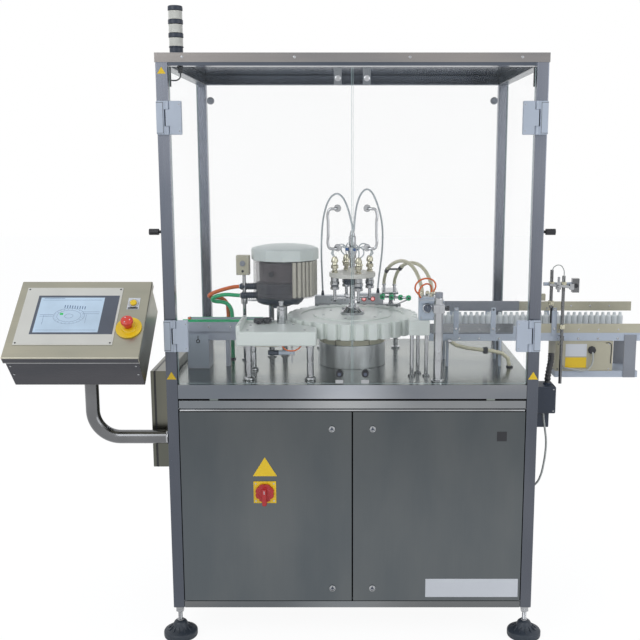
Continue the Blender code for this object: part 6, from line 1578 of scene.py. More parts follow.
@dataclass
class BowlFeeder:
    """Vibrating bowl under a domed polymer lid, with its drive, sensor box and two cables."""

    shop: Workshop
    at: Span = (-0.262, 0.45)
    sides: int = 12
    posts: tuple[Span, ...] = ((-0.32, 0.48), (-0.27, 0.505))
    high_cable: tuple[Point, ...] = ((-0.44, 0.43, 1.237), (-0.462, 0.428, 1.235), (-0.49, 0.425, 1.229),
        (-0.518, 0.421, 1.221), (-0.542, 0.419, 1.212), (-0.556, 0.424, 1.202), (-0.552, 0.434, 1.195),
        (-0.532, 0.443, 1.192), (-0.508, 0.448, 1.186), (-0.492, 0.45, 1.168), (-0.488, 0.45, 1.14),
        (-0.488, 0.45, 1.07), (-0.488, 0.45, 1.0), (-0.488, 0.45, 0.9505))
    low_cable: tuple[Point, ...] = ((-0.436, 0.414, 1.204), (-0.458, 0.411, 1.206), (-0.486, 0.409, 1.208),
        (-0.514, 0.408, 1.205), (-0.536, 0.41, 1.197), (-0.543, 0.418, 1.186), (-0.532, 0.427, 1.179),
        (-0.51, 0.432, 1.176), (-0.488, 0.434, 1.168), (-0.474, 0.434, 1.148), (-0.47, 0.434, 1.12),
        (-0.47, 0.434, 1.06), (-0.47, 0.434, 1.0), (-0.47, 0.434, 0.9505))

    def build(self) -> None:
        """Builds the guard, the lid and the drive."""
        self.guard()
        self.lid()
        self.drive()

    def facet(self, radius: float, turn: float) -> Span:
        """Where the polygon's side lies at an angle.

        Args:
            radius: The distance of its corners.
            turn: The angle, in radians.

        Returns:
            X and Y of the place.
        """
        part = 2 * math.pi / self.sides
        reach = radius * math.cos(part / 2) / math.cos((turn % part) - part / 2)
        return self.at[0] + reach * math.cos(turn), self.at[1] + reach * math.sin(turn)

    def guard(self) -> None:
        """The smoky wall, the fluted tubes inside and the ramped dish."""
        shop = self.shop
        corner = [self.facet(0.1248, 2 * math.pi * step / self.sides) for step in range(self.sides)]
        wall = shop.prism(corner, (1.1984, 1.3416), 0.0015)
        inner = [self.facet(0.1212, 2 * math.pi * step / self.sides) for step in range(self.sides)]
        shop.drill(wall, shop.prism(inner, (1.202, 1.36), 0.0))
        shop.coat([wall], SMOKY, 20)
        flutes = []
        for step in range(8):
            x, y = self.facet(0.119, -1.2 + 0.16 * step)
            flutes.append(shop.turned((x, y, 1.2025), ((0.002, 0.0), (0.007, 0.002), (0.0088, 0.0075),
                (0.0088, 0.132), (0.008, 0.137)), sides=18))
        shop.coat(flutes, FLUTE)
        dish = shop.turned((*self.at, 1.256), ((0.086, 0.0), (0.096, 0.002), (0.1, 0.006), (0.101, 0.074),
            (0.099, 0.076), (0.097, 0.074), (0.095, 0.012), (0.042, 0.006), (0.012, 0.014), (0.006, 0.022)),
            sides=56)
        coil = [(self.at[0] + 0.0945 * math.cos(step / 7), self.at[1] + 0.0945 * math.sin(step / 7),
            1.274 + 0.00062 * step) for step in range(76)]
        shop.coat([dish], BROWN_BOWL)
        spiral = shop.coat([shop.tube(coil, 0.0026, 10, smooth=False)], TURNED_STEEL)
        knob = shop.turned((-0.306, 0.329, 1.296), ((0.005, 0.0), (0.005, 0.002), (0.0095, 0.0026),
            (0.0098, 0.0034)), (-0.2, -1, 0), 20)
        shop.fit("bowl_wall", "machine", [wall] + flutes + [dish] + spiral + shop.coat([knob], BLACK),
            ("bowl_guard",))

    def lid(self) -> None:
        """The domed lid: rounded sides, a stepped crown and a shallow middle."""
        shop = self.shop
        steps = ((0.129, 0.0), (0.1308, 0.0022), (0.1308, 0.037), (0.129, 0.0425), (0.124, 0.046),
            (0.113, 0.049), (0.095, 0.053), (0.07, 0.056), (0.04, 0.0576), (0.012, 0.0579))
        lid = shop.turned((*self.at, 1.3424), steps, sides=self.sides)
        shop.ease(lid, 0.006, 4, 14)
        rim = shop.turned((*self.at, 1.3424), ((0.123, 0.0002), (0.1246, 0.001), (0.1246, 0.004)),
            sides=self.sides)
        shop.coat([lid, rim], LID_POLYMER, 60)
        pull = shop.turned((*self.at, 1.399), ((0.01, 0.0), (0.01, 0.0006), (0.008, 0.0012)), sides=24)
        shop.fit("bowl_cover", "bowl_lid", [lid, rim] + shop.coat([pull], LID_POLYMER), ("bowl_lid",))

    def drive(self) -> None:
        """The finned drive with its posts, sensor box, connectors and cables."""
        shop = self.shop
        drum = (self.at[0] - 0.022, self.at[1])
        body = shop.turned((*drum, 1.168), ((0.056, 0.0), (0.076, 0.002), (0.087, 0.007), (0.0925, 0.015),
            (0.0935, 0.024), (0.0935, 0.0298)), sides=64)
        upper = shop.turned((*drum, 1.1976), ((0.09, 0.0), (0.0925, 0.001), (0.0925, 0.012), (0.0905, 0.0135),
            (0.0905, 0.0155), (0.0925, 0.017), (0.0925, 0.05), (0.0905, 0.054), (0.084, 0.056)), sides=64)
        under = shop.turned((*drum, 1.16), ((0.042, 0.0), (0.045, 0.002), (0.045, 0.01)), sides=40)
        pads = [shop.turned((x, y, 1.16), ((0.012, 0.0), (0.015, 0.002), (0.015, 0.011), (0.012, 0.0135)),
            sides=20) for x, y in ring_points(3, 0.066, drum, 0.4)]
        plug = []
        for route in (self.high_cable, self.low_cable):
            start = Vector(route[0]) + Vector((0.07, 0.0, 0.001))
            steps = [(0.012, 0.0)]
            for turn in range(7):
                at = 0.004 + 0.0088 * turn
                steps += [(0.0134, at), (0.0134, at + 0.005), (0.0108, at + 0.0058), (0.0108, at + 0.008)]
            plug.append(shop.turned(tuple(start), tuple(steps + [(0.0092, 0.068)]),
                tuple(Vector(route[0]) - start), 16))
        shop.coat([body, upper, under, *pads, *plug], BLUE_BLACK)
        posts = [shop.turned((x, y, 0.9484), ((0.018, 0.0), (0.018, 0.004), (0.011, 0.0065), (0.011, 0.226)),
            sides=28) for x, y in self.posts]
        shop.coat(posts, CHROME)
        cables = shop.coat([shop.tube(list(self.high_cable), 0.0074, 16)], ORANGE)
        cables += shop.coat([shop.tube(list(self.low_cable), 0.0074, 16)], GREEN)
        grommets = shop.coat([shop.turned((route[-1][0], route[-1][1], 0.9484),
            ((0.012, 0.0), (0.012, 0.002), (0.0085, 0.006), (0.0062, 0.007)))
            for route in (self.high_cable, self.low_cable)], BLACK)
        shop.fit("bowl_drive_unit", "machine", [body, upper, under, *pads,
            *plug] + posts + cables + grommets + self.sensor(), ("bowl_drive",))

    def sensor(self) -> list[bpy.types.Object]:
        """The sensor box on its post, with a round knob and its arm."""
        shop = self.shop
        box = shop.block((-0.447, -0.396), (0.4, 0.44), (1.285, 1.36), 0.0022, 3)
        cover = shop.block((-0.4455, -0.3975), (0.3975, 0.401), (1.2865, 1.3585), 0.0012)
        dial = shop.turned((-0.4215, 0.398, 1.33), ((0.0105, 0.0), (0.011, 0.001), (0.01, 0.003),
            (0.006, 0.0034)), FRONT, 28)
        lens = shop.turned((-0.4215, 0.398, 1.3), ((0.005, 0.0), (0.0046, 0.0016)), FRONT, 20)
        beige = shop.coat([box, cover], BEIGE_PAINT)
        dark = shop.coat([dial], MID_GREY) + shop.coat([lens], BLACK)
        dots = shop.screws([(x, 0.3975, z) for x in (-0.4415, -0.4015) for z in (1.2905, 1.3545)], 0.002,
            FRONT, 0.0006)
        post = shop.coat([shop.turned((-0.42, 0.425, 0.9484), ((0.015, 0.0), (0.015, 0.005), (0.007, 0.007),
            (0.007, 0.337)), sides=24), shop.block((-0.425, -0.345), (0.4205, 0.4295), (1.1805, 1.1875),
            0.0012), shop.turned((-0.42, 0.425, 1.17), ((0.0115, 0.0), (0.0125, 0.0015), (0.0125, 0.027),
            (0.0115, 0.0285)), sides=24)], CHROME)
        return beige + dark + dots + post


@dataclass
class DosingStation:
    """Dosing block with its grey housing, gauge and hose loops, and the cylinder beside it."""

    shop: Workshop
    posts: tuple[Span, ...] = ((0.215, 0.135), (0.24, 0.18), (0.268, 0.14))
    cylinder: Span = (0.302, 0.052)
    loop: Point = (0.262, 0.146, 1.262)

    def build(self) -> None:
        """Builds the block group, the cylinder group and the piston."""
        self.block_group()
        self.cylinder_group()
        self.piston()

    def block_group(self) -> None:
        """The block on its posts, with housing, round gauge, fittings and orange loops."""
        shop = self.shop
        block = shop.block((0.203, 0.278), (0.12, 0.195), (1.101, 1.155), 0.003, 3)
        slot = shop.block((0.2026, 0.24), (0.119, 0.124), (1.118, 1.126), 0.001)
        shop.coat([block, slot], POLYMER)
        housing = [shop.block((0.24, 0.298), (0.132, 0.188), (1.1545, 1.238), 0.003, 3),
            shop.block((0.2435, 0.2945), (0.1295, 0.134), (1.158, 1.2345), 0.0015)]
        shop.coat(housing, PALE_GREY)
        gauge = shop.turned((0.269, 0.13, 1.2), ((0.016, 0.0), (0.017, 0.001), (0.017, 0.0062),
            (0.0155, 0.0074), (0.0142, 0.0074), (0.014, 0.0056)), FRONT, 40)
        face = shop.turned((0.269, 0.124, 1.2), ((0.0139, 0.0), (0.0138, 0.0006)), FRONT, 32)
        needle = shop.block((0.2684, 0.2696), (0.1228, 0.1233), (1.199, 1.2105), 0.0002)
        shop.coat([gauge], CHROME)
        shop.coat([face], SLATE)
        shop.coat([needle], PLATE_WHITE)
        legs = shop.coat([shop.turned((x, y, 0.9484), ((0.0125, 0.0), (0.013, 0.001), (0.013, 0.006),
            (0.007, 0.0085), (0.007, 0.153)), sides=24) for x, y in self.posts], CHROME)
        rings = []
        for turn, lift, reach, high in ((0.0, 0.012, 0.037, 0.03), (0.7, -0.004, 0.032, 0.026)):
            ring = []
            for step in range(29):
                angle = -0.75 + (math.pi + 1.5) * step / 28
                ring.append((self.loop[0] + reach * math.cos(angle) * math.cos(turn),
                    self.loop[1] + reach * math.cos(angle) * math.sin(turn),
                    self.loop[2] + lift + high * math.sin(angle) + 0.004 * math.cos(angle)))
            rings.append(shop.tube(ring, 0.0031, 12, smooth=False))
        shop.coat(rings, ORANGE)
        fittings = []
        for x, y in ((0.252, 0.176), (0.288, 0.176), (0.245, 0.146), (0.283, 0.146)):
            fittings.append(shop.turned((x, y, 1.2376), ((0.0062, 0.0), (0.0062, 0.005), (0.0076, 0.006),
                (0.0076, 0.012), (0.0056, 0.014), (0.0048, 0.017)), sides=6))
        for x, toward in ((0.252, (-1.0, -0.5, 0.5)), (0.268, (0.1, -1.0, 0.9)), (0.282, (1.0, -0.5, 0.7))):
            fittings.append(shop.turned((x, 0.15, 1.244), ((0.0052, 0.0), (0.0052, 0.009), (0.007, 0.01),
                (0.007, 0.018), (0.0048, 0.02)), toward, 10))
        shop.coat(fittings, BRASS)
        bridge = shop.block((0.238, 0.324), (0.074, 0.134), (1.227, 1.233), 0.0014)
        housing += shop.coat([bridge], PALE_GREY)
        screws = shop.screws([(0.248, 0.1295, z) for z in (1.164, 1.229)] + [(0.29, 0.1295, z)
            for z in (1.164, 1.229)], 0.0024, FRONT, 0.0008)
        shop.fit("dosing_block", "machine", [block, slot] + housing + [gauge, face,
            needle] + legs + rings + fittings + screws, ("dosing_station",))

    def cylinder_group(self) -> None:
        """The polished cylinder with a foot, a split clamp and a port."""
        shop = self.shop
        x, y = self.cylinder
        tube = shop.turned((x, y, 0.9484), ((0.0225, 0.0), (0.0235, 0.001), (0.0235, 0.006), (0.017, 0.0085),
            (0.0158, 0.01), (0.0158, 0.295), (0.015, 0.2996), (0.0128, 0.2996), (0.0126, 0.181)), sides=40)
        clamp = shop.block((x - 0.02, x + 0.02), (y - 0.024, y + 0.024), (1.196, 1.226), 0.0025, 3)
        bore = shop.turned((x, y, 1.19), ((0.015, 0.0), (0.015, 0.05)), sides=40)
        shop.drill(clamp, bore)
        split = shop.block((x - 0.0008, x + 0.0008), (y - 0.0246, y - 0.015), (1.1955, 1.2265), 0.0001)
        shop.drill(clamp, split)
        bands = [shop.turned((x, y, z), ((0.0162, 0.0), (0.0172, 0.0008), (0.0172, 0.0052), (0.0162, 0.006)),
            sides=40) for z in (1.024, 1.118)]
        port = shop.turned((x, y - 0.015, 1.06), ((0.006, 0.0), (0.006, 0.007), (0.004, 0.0085)), FRONT, 6)
        screws = shop.screws([(x + dx, y - 0.024, 1.211) for dx in (-0.012, 0.012)], 0.003, FRONT, 0.0016)
        handle = shop.turned((x + 0.02, y, 1.211), ((0.004, 0.0), (0.004, 0.006), (0.0086, 0.0072),
            (0.009, 0.015), (0.007, 0.0172)), (1, 0, 0), 10)
        shop.fit("dosing_column", "machine", shop.coat([tube, clamp, *bands, port],
            CHROME) + screws + shop.coat([handle], BLACK), ("dosing_cylinder",))

    def piston(self) -> None:
        """The piston rod with its five-lobed grey knob."""
        shop = self.shop
        x, y = self.cylinder
        rod = shop.turned((x, y, 1.128), ((0.0105, 0.0003), (0.0114, 0.0012), (0.0114, 0.012), (0.01, 0.013),
            (0.01, 0.015), (0.0114, 0.016), (0.0114, 0.1185), (0.006, 0.12), (0.006, 0.1265)), sides=28)
        outline = []
        for step in range(60):
            turn = 2 * math.pi * step / 60
            reach = 0.0132 + 0.0012 * math.cos(5 * turn)
            outline.append((x + reach * math.cos(turn), y + reach * math.sin(turn)))
        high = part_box("dosing_piston")[1] - shop.origin
        knob = shop.prism(outline, (high[2] - 0.0196, high[2] - 0.0002), 0.0022, 3)
        shop.fit("piston_rod", "dosing_piston", shop.coat([rod], CHROME) + shop.coat([knob], MID_GREY),
            ("dosing_piston",))


@dataclass
class FillingStation:
    """Beam behind the wheel with sensor blocks, nozzles and a row of valves, and the product hoses."""

    shop: Workshop
    valves: tuple[Span, ...] = ((0.12, 0.512), (0.156, 0.5), (0.191, 0.488), (0.222, 0.476))
    nozzles: tuple[Span, ...] = ((0.128, 0.57), (0.169, 0.552))
    front_hose: tuple[Point, ...] = ((0.128, 0.57, 1.2235), (0.128, 0.569, 1.238), (0.13, 0.538, 1.262),
        (0.134, 0.505, 1.286), (0.143, 0.47, 1.308), (0.156, 0.432, 1.325), (0.172, 0.394, 1.338),
        (0.192, 0.352, 1.345), (0.212, 0.31, 1.34), (0.228, 0.272, 1.326), (0.24, 0.236, 1.305),
        (0.248, 0.202, 1.28), (0.252, 0.176, 1.255), (0.252, 0.176, 1.2387))
    rear_hose: tuple[Point, ...] = ((0.169, 0.552, 1.2235), (0.169, 0.551, 1.238), (0.173, 0.52, 1.266),
        (0.18, 0.488, 1.29), (0.192, 0.452, 1.312), (0.208, 0.412, 1.328), (0.228, 0.37, 1.336),
        (0.249, 0.328, 1.334), (0.266, 0.288, 1.322), (0.278, 0.25, 1.304), (0.286, 0.215, 1.282),
        (0.288, 0.176, 1.255), (0.288, 0.176, 1.2387))

    def build(self) -> None:
        """Builds the beam group and the hoses."""
        self.beam_group()
        self.hoses()

    def beam_group(self) -> None:
        """The beam, posts and blocks, two lit sensors, the nozzle arm and the green valve balls."""
        shop = self.shop
        steel = [shop.block((-0.155, 0.2), (0.64, 0.68), (1.124, 1.136), 0.002),
            shop.block((0.119, 0.184), (0.535, 0.662), (1.191, 1.201), 0.002),
            shop.turned((0.16, 0.66, 1.135), ((0.011, 0.0), (0.011, 0.004), (0.009, 0.0055), (0.009, 0.06)),
            sides=24)]
        for x in (-0.13, 0.055, 0.18):
            steel.append(shop.turned((x, 0.66, 0.9484), ((0.018, 0.0), (0.0185, 0.001), (0.0185, 0.006),
                (0.0105, 0.009), (0.01, 0.011), (0.01, 0.177)), sides=28))
        for x, y in self.nozzles:
            steel.append(shop.turned((x, y, 1.163), ((0.0022, 0.0), (0.0026, 0.01), (0.0052, 0.013),
                (0.006, 0.016), (0.006, 0.056), (0.005, 0.06)), sides=20))
        first, last = self.valves[0], self.valves[-1]
        steel.append(shop.rod((first[0] - 0.004, first[1] + 0.002, 1.185),
            (last[0] + 0.006, last[1] - 0.002, 1.185), 0.005))
        shop.coat(steel, CHROME)
        left = shop.coat([shop.block((-0.155, -0.01), (0.641, 0.679), (1.1355, 1.17), 0.003, 3),
            shop.block((-0.149, -0.1), (0.6385, 0.642), (1.141, 1.165), 0.001)], PLATE_WHITE)
        right = shop.coat([shop.block((0.02, 0.128), (0.641, 0.679), (1.1355, 1.178), 0.003, 3),
            shop.block((0.104, 0.124), (0.6385, 0.642), (1.141, 1.172), 0.001)], PLATE_WHITE)
        rings, eyes = [], []
        for x in (0.048, 0.084):
            rings.append(shop.turned((x, 0.6412, 1.157), ((0.0095, 0.0), (0.01, 0.001), (0.01, 0.003),
                (0.0088, 0.0038), (0.007, 0.0038), (0.0068, 0.002)), FRONT, 28))
            eyes.append(shop.turned((x, 0.6396, 1.157), ((0.0066, 0.0), (0.006, 0.0012), (0.003, 0.002)),
                FRONT, 24))
        shop.coat(rings, RED)
        shop.coat(eyes, ROSE_GLOW)
        balls, caps = [], []
        for x, y in self.valves:
            balls.append(shop.turned((x, y, 1.1756), ((0.004, -0.0014), (0.0082, 0.001), (0.0102, 0.0052),
                (0.0106, 0.0094), (0.0102, 0.0136), (0.0082, 0.0178), (0.004, 0.0202)), sides=24))
            caps.append(shop.turned((x, y - 0.0096, 1.185), ((0.0042, 0.0), (0.0042, 0.003), (0.003, 0.0038)),
                FRONT, 16))
        shop.coat(balls, GREEN)
        shop.coat(caps, BLACK)
        stand = [shop.rod((0.18, 0.65, 1.13), (0.2215, 0.477, 1.18), 0.0035)]
        shop.coat(stand, CHROME)
        screws = shop.screws([(x, 0.641, 1.153) for x in (-0.085, -0.03)], 0.0036)
        shop.fit("filling_beam", "machine", steel + left + right + rings + eyes + balls + caps + stand
            + screws, ("filling_station",))

    def hoses(self) -> None:
        """The two product hoses with barbed ends and their clip."""
        shop = self.shop
        hoses = shop.coat([shop.tube(list(self.front_hose), 0.0068, 18),
            shop.tube(list(self.rear_hose), 0.0068, 18)], CREAM_HOSE)
        collars = []
        for x, y, z in (self.front_hose[0], self.rear_hose[0], self.front_hose[-1], self.rear_hose[-1]):
            collars.append(shop.turned((x, y, z), ((0.0078, 0.0), (0.0082, 0.0008), (0.0082, 0.006),
                (0.0074, 0.007)), sides=24))
        shop.coat(collars, CHROME)
        clips = [shop.rod((0.1345, 0.502, 1.288), (0.1395, 0.482, 1.3005), 0.0086, 0.001),
            shop.rod((0.1865, 0.47, 1.301), (0.1925, 0.451, 1.3125), 0.0086, 0.001),
            shop.block((0.138, 0.187), (0.474, 0.48), (1.296, 1.303), 0.0014)]
        shop.fit("product_lines", "machine", hoses + collars + shop.coat(clips, BLACK), ("product_hoses",))


@dataclass
class Conveyor:
    """The infeed conveyor on the right: its frame, belt, bottles, drive box and masts."""

    shop: Workshop
    near: float = 0.3
    far: float = 0.44
    brackets: tuple[float, ...] = (0.3914, 0.5312, 0.7615)
    bottles: int = 33
    first_bottle: float = 0.325
    pitch: float = 0.022

    def build(self) -> None:
        """Builds the frame, belt, roller, bottles and drive."""
        self.frame_group()
        self.belt()
        self.roller()
        self.queue()
        self.drive_box()

    def frame_group(self) -> None:
        """The beams, rails and brackets with their screws, clamps and mast fittings."""
        shop = self.shop
        body = shop.coat([shop.skin("conveyor_frame", 0.0009)], HINGE_GREY)
        main = body[0]
        shop.recoat(main, BEIGE_PAINT, Zone(z=(1.1405, 1.1785), y=(0.43, 0.46)))
        for x in ((0.7, 0.7515), (0.779, 0.796), (0.8, 0.85)):
            shop.recoat(main, PIPE_STEEL, Zone(x=x, y=(0.24, 0.2935)))
        shop.recoat(main, MID_GREY, Zone(x=(1.02, 1.0765), z=(0.9, 1.06)))
        covers = shop.coat([shop.block((0.2925, 0.608), (0.2988, 0.3008), (1.078, 1.113), 0.0006)],
            SIDE_RAIL_STEEL)
        covers += shop.coat([shop.block((0.65, 1.088), (0.2988, 0.3008), (1.078, 1.113), 0.0006)],
            BEIGE_PAINT)
        covers += shop.coat([shop.block((0.2925, 0.652), (0.4338, 0.4366), (1.14, 1.179), 0.0006)], MID_GREY)
        covers += shop.coat([shop.block((x - 0.0078, x + 0.0078), (0.294, 0.2978), (1.088, 1.1745), 0.001)
            for x in self.brackets], HINGE_GREY)
        covers += shop.coat([shop.block((0.706, 0.756), (0.442, 0.456), (1.179, 1.206), 0.002)], BEIGE_PAINT)
        covers += shop.coat([shop.block((0.748, 0.759), (0.308, 0.32), (1.113, 1.178), 0.0014)], BLACK)
        covers += shop.coat([shop.block((0.3, 0.606), (0.2994, 0.3006), (1.0745, 1.0768), 0.0003)], BLACK)
        screws = []
        for x in self.brackets:
            screws += shop.screws([(x, self.near - 0.006, z) for z in (1.0945, 1.168)], 0.0046, FRONT, 0.002)
            screws += shop.screws([(x, self.far - 0.002, 1.15)], 0.0046, FRONT, 0.003)
        rail = [0.33 + 0.075 * step for step in range(10) if abs(0.33 + 0.075 * step - 0.63) > 0.03]
        screws += shop.screws([(x, self.near - 0.0012, 1.091) for x in rail], 0.0032, FRONT, 0.001)
        screws += shop.screws([(x, 0.4362, 1.16) for x in rail if x > 0.64], 0.0034, FRONT, 0.0014)
        screws += shop.screws([(x, self.near - 0.0002, 1.056) for x in rail], 0.004, FRONT, 0.0018)
        clamps = []
        for x, y, z in ((0.787, 0.278, 1.105), (0.742, 0.278, 1.196), (0.787, 0.278, 1.267),
                (0.742, 0.278, 1.267)):
            clamps.append(shop.block((x - 0.0095, x + 0.0095), (y - 0.01, y + 0.0095),
                (z - 0.0085, z + 0.0085), 0.002, 3))
            clamps.append(shop.turned((x, y - 0.0095, z), ((0.0058, 0.0), (0.0062, 0.001), (0.0062, 0.005),
                (0.005, 0.0062)), FRONT, 12))
        shop.coat(clamps, BRASS)
        cluster = [shop.rod((0.73, 0.265, 1.266), (0.82, 0.265, 1.256), 0.0056),
            shop.block((0.756, 0.774), (0.258, 0.274), (1.248, 1.274), 0.0026, 3),
            shop.rod((0.765, 0.258, 1.26), (0.765, 0.244, 1.26), 0.0062, 0.001),
            shop.rod((0.766, 0.266, 1.238), (0.766, 0.266, 1.295), 0.0046),
            shop.block((0.806, 0.823), (0.258, 0.274), (1.247, 1.27), 0.0026, 3)]
        clamps += shop.coat(cluster, CHROME)
        eye = shop.coat([shop.turned((0.8305, 0.2665, 1.262), ((0.0085, 0.0), (0.0085, 0.002),
            (0.0065, 0.003)), FRONT, 24)], BLACK)
        wire = [(0.742, 0.27, 1.317), (0.746, 0.26, 1.333), (0.764, 0.256, 1.34), (0.78, 0.26, 1.326),
            (0.785, 0.266, 1.302), (0.783, 0.268, 1.276)]
        loops = shop.coat([shop.tube(wire, 0.0018, 10)], GREY_SHEATH)
        drain = [(0.366, 0.288, 1.05), (0.392, 0.287, 1.033), (0.43, 0.2865, 1.023), (0.48, 0.286, 1.016),
            (0.53, 0.286, 1.011), (0.566, 0.286, 1.002), (0.588, 0.287, 0.983), (0.596, 0.288, 0.949)]
        route = []
        for first, last in zip(drain, drain[1:]):
            route += [tuple(a + (b - a) * part / 8 for a, b in zip(first, last)) for part in range(8)]
        hose = shop.coat([shop.tube([*route, drain[-1]], 0.0078, 14, smooth=False,
            swell=(1.0, 1.0, 0.88, 0.88))], CREAM_HOSE)
        hose += shop.coat([shop.block((0.494, 0.512), (0.276, 0.2995), (1.001, 1.024), 0.003, 3),
            shop.turned((0.596, 0.288, 0.9484), ((0.013, 0.0), (0.013, 0.004), (0.0095, 0.006)), sides=20)],
            BLACK)
        hose += shop.coat([shop.block((0.36, 0.376), (0.2795, 0.2996), (1.044, 1.056), 0.002)], CHROME)
        shop.fit("conveyor_frame_set", "machine", body + covers + screws + clamps + eye + loops + hose,
            ("conveyor_frame",))

    def belt(self) -> None:
        """The belt with a row of flat links across it."""
        shop = self.shop
        belt = shop.coat([shop.skin("conveyor_belt", 0.0005)], BELT)
        low, high = (corner - shop.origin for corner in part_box("conveyor_belt"))
        count = 62
        step = (high[0] - low[0] - 0.05) / count
        link = shop.block((low[0] + 0.0252, low[0] + 0.0252 + step * 0.86), (low[1] + 0.001, high[1] - 0.001),
            (high[2] - 0.001, high[2] + 0.00025), 0.0002, 1)
        links = shop.copies(link, [(step * turn, 0, 0) for turn in range(1, count)])
        shop.coat(links, BELT)
        shop.fit("belt_strand", "machine", belt + links, ("conveyor_belt",))

    def roller(self) -> None:
        """The end roller with ribs and its shaft ends."""
        shop = self.shop
        low, high = (corner - shop.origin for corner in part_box("conveyor_drive_roller"))
        x, z = (low[0] + high[0]) / 2, (low[2] + high[2]) / 2
        skin = shop.skin("conveyor_drive_roller", 0.0008)
        ends = [shop.turned((x, high[1] - 0.001, z), ((0.0045, 0.0), (0.0045, 0.0008), (0.003, 0.001)),
            (0, 1, 0), 6)]
        shop.fit("end_roller", "conveyor_drive_roller", shop.coat([skin, *ends], CHROME),
            ("conveyor_drive_roller",))

    def queue(self) -> None:
        """The row of small bottles, the first modelled and the rest copied."""
        shop = self.shop
        profile = ((0.0085, 0.0), (0.0102, 0.0008), (0.01092, 0.003), (0.01092, 0.044), (0.0106, 0.0465),
            (0.0092, 0.0492), (0.007, 0.0512), (0.0056, 0.0524), (0.0056, 0.054), (0.0066, 0.0546),
            (0.0066, 0.0562), (0.0056, 0.0568), (0.0056, 0.0604), (0.0048, 0.0609), (0.0038, 0.0609),
            (0.0036, 0.056))
        first = shop.turned((self.first_bottle, 0.37, 1.0853), profile, sides=20)
        row = shop.copies(first, [(self.pitch * turn, 0, 0) for turn in range(1, self.bottles)])
        shop.fit("bottle_row", "machine", shop.coat(row, BOTTLE), ("bottle_queue",))

    def drive_box(self) -> None:
        """The drive's cover plate with blank label areas, a gland, a cable and the dark housing behind."""
        shop = self.shop
        body = shop.coat([shop.skin("conveyor_drive_box", 0.004)], BEIGE_PAINT)
        shop.recoat(body[0], GREY_SHEATH, Zone(y=(0.27, 0.3009)))
        plate = [shop.block((0.776, 0.984), (0.2988, 0.3022), (0.9345, 1.0425), 0.001)]
        shop.coat(plate, BEIGE_PAINT)
        white = shop.coat([shop.block((0.8085, 0.889), (0.2982, 0.299), (0.987, 1.035), 0.0002)], PLATE_WHITE)
        yellow = shop.coat([shop.block((0.8085, 0.889), (0.2982, 0.299), (0.943, 0.983), 0.0002)], YELLOW)
        gland = shop.coat([shop.turned((0.908, 0.299, 1.012), ((0.015, 0.0), (0.0155, 0.0015),
            (0.0155, 0.006), (0.012, 0.0075), (0.012, 0.011), (0.008, 0.012)), FRONT, 8)], BLACK)
        screws = shop.screws([(x, 0.2988, z) for x in (0.78, 0.974) for z in (0.9385, 1.0345)], 0.0028, FRONT,
            0.001)
        vents = shop.coat([shop.tube([(0.96, 0.2982, 1.039), (0.976, 0.2982, 1.0385), (0.9805, 0.2982, 1.034),
            (0.981, 0.2982, 0.96)], 0.0016, 10)], BLACK)
        shop.fit("drive_cover", "machine", body + plate + white + yellow + gland + screws + vents,
            ("conveyor_drive_box",))


@dataclass
class JunctionBox:
    """Connector box outside the right panel with its ribbed conduit and a cable down to the cabinet."""

    shop: Workshop
    conduit: tuple[Point, ...] = ((0.712, 0.15, 0.905), (0.713, 0.152, 0.94), (0.719, 0.16, 0.97),
        (0.727, 0.172, 0.998), (0.73, 0.186, 1.02))
    cable: tuple[Point, ...] = ((0.694, 0.12, 0.82), (0.697, 0.119, 0.79), (0.703, 0.118, 0.752),
        (0.708, 0.117, 0.71), (0.707, 0.117, 0.665), (0.702, 0.119, 0.62), (0.694, 0.122, 0.578),
        (0.68, 0.128, 0.545), (0.664, 0.134, 0.531), (0.6498, 0.134, 0.53))

    def build(self) -> None:
        """Builds the box with its cover and latches, the conduit and the cable."""
        shop = self.shop
        body = shop.block((0.651, 0.7355), (0.1012, 0.1988), (0.817, 0.9165), 0.005, 4)
        foot = shop.block((0.6506, 0.716), (0.12, 0.18), (0.7605, 0.82), 0.004, 3)
        lid = shop.block((0.656, 0.73), (0.1002, 0.104), (0.823, 0.911), 0.0015)
        side = shop.block((0.733, 0.7359), (0.108, 0.192), (0.823, 0.911), 0.0012)
        latches = [shop.block((0.662, 0.724), (0.1001, 0.103), (z, z + 0.006), 0.0015)
            for z in (0.846, 0.883)]
        collar = shop.turned((0.712, 0.15, 0.912), ((0.015, 0.0), (0.015, 0.008), (0.013, 0.01)), sides=8)
        lower = shop.turned((0.694, 0.12, 0.824), ((0.008, 0.0), (0.008, -0.007), (0.0055, -0.0095)), sides=8)
        dark = shop.coat([body, foot, lid, side, *latches, collar, lower], BLUE_BLACK)
        route = []
        for first, last in zip(self.conduit, self.conduit[1:]):
            route += [tuple(a + (b - a) * part / 10 for a, b in zip(first, last)) for part in range(10)]
        ribbed = shop.coat([shop.tube(route + [self.conduit[-1]], 0.0118, 18, smooth=False,
            swell=(1.0, 1.0, 0.84, 0.84))], BLACK)
        cable = shop.coat([shop.tube(list(self.cable), 0.0038, 12)], GREY_SHEATH)
        screws = shop.screws([(x, 0.1002, z) for x in (0.66, 0.726) for z in (0.827, 0.907)], 0.0026, FRONT,
            0.0008)
        gland = shop.coat([shop.turned((0.65, 0.134, 0.53), ((0.0085, 0.0), (0.0085, 0.004), (0.006, 0.006)),
            (1, 0, 0), 8)], BLACK)
        shop.fit("connector_box", "machine", dark + ribbed + cable + screws + gland, ("junction_box",))


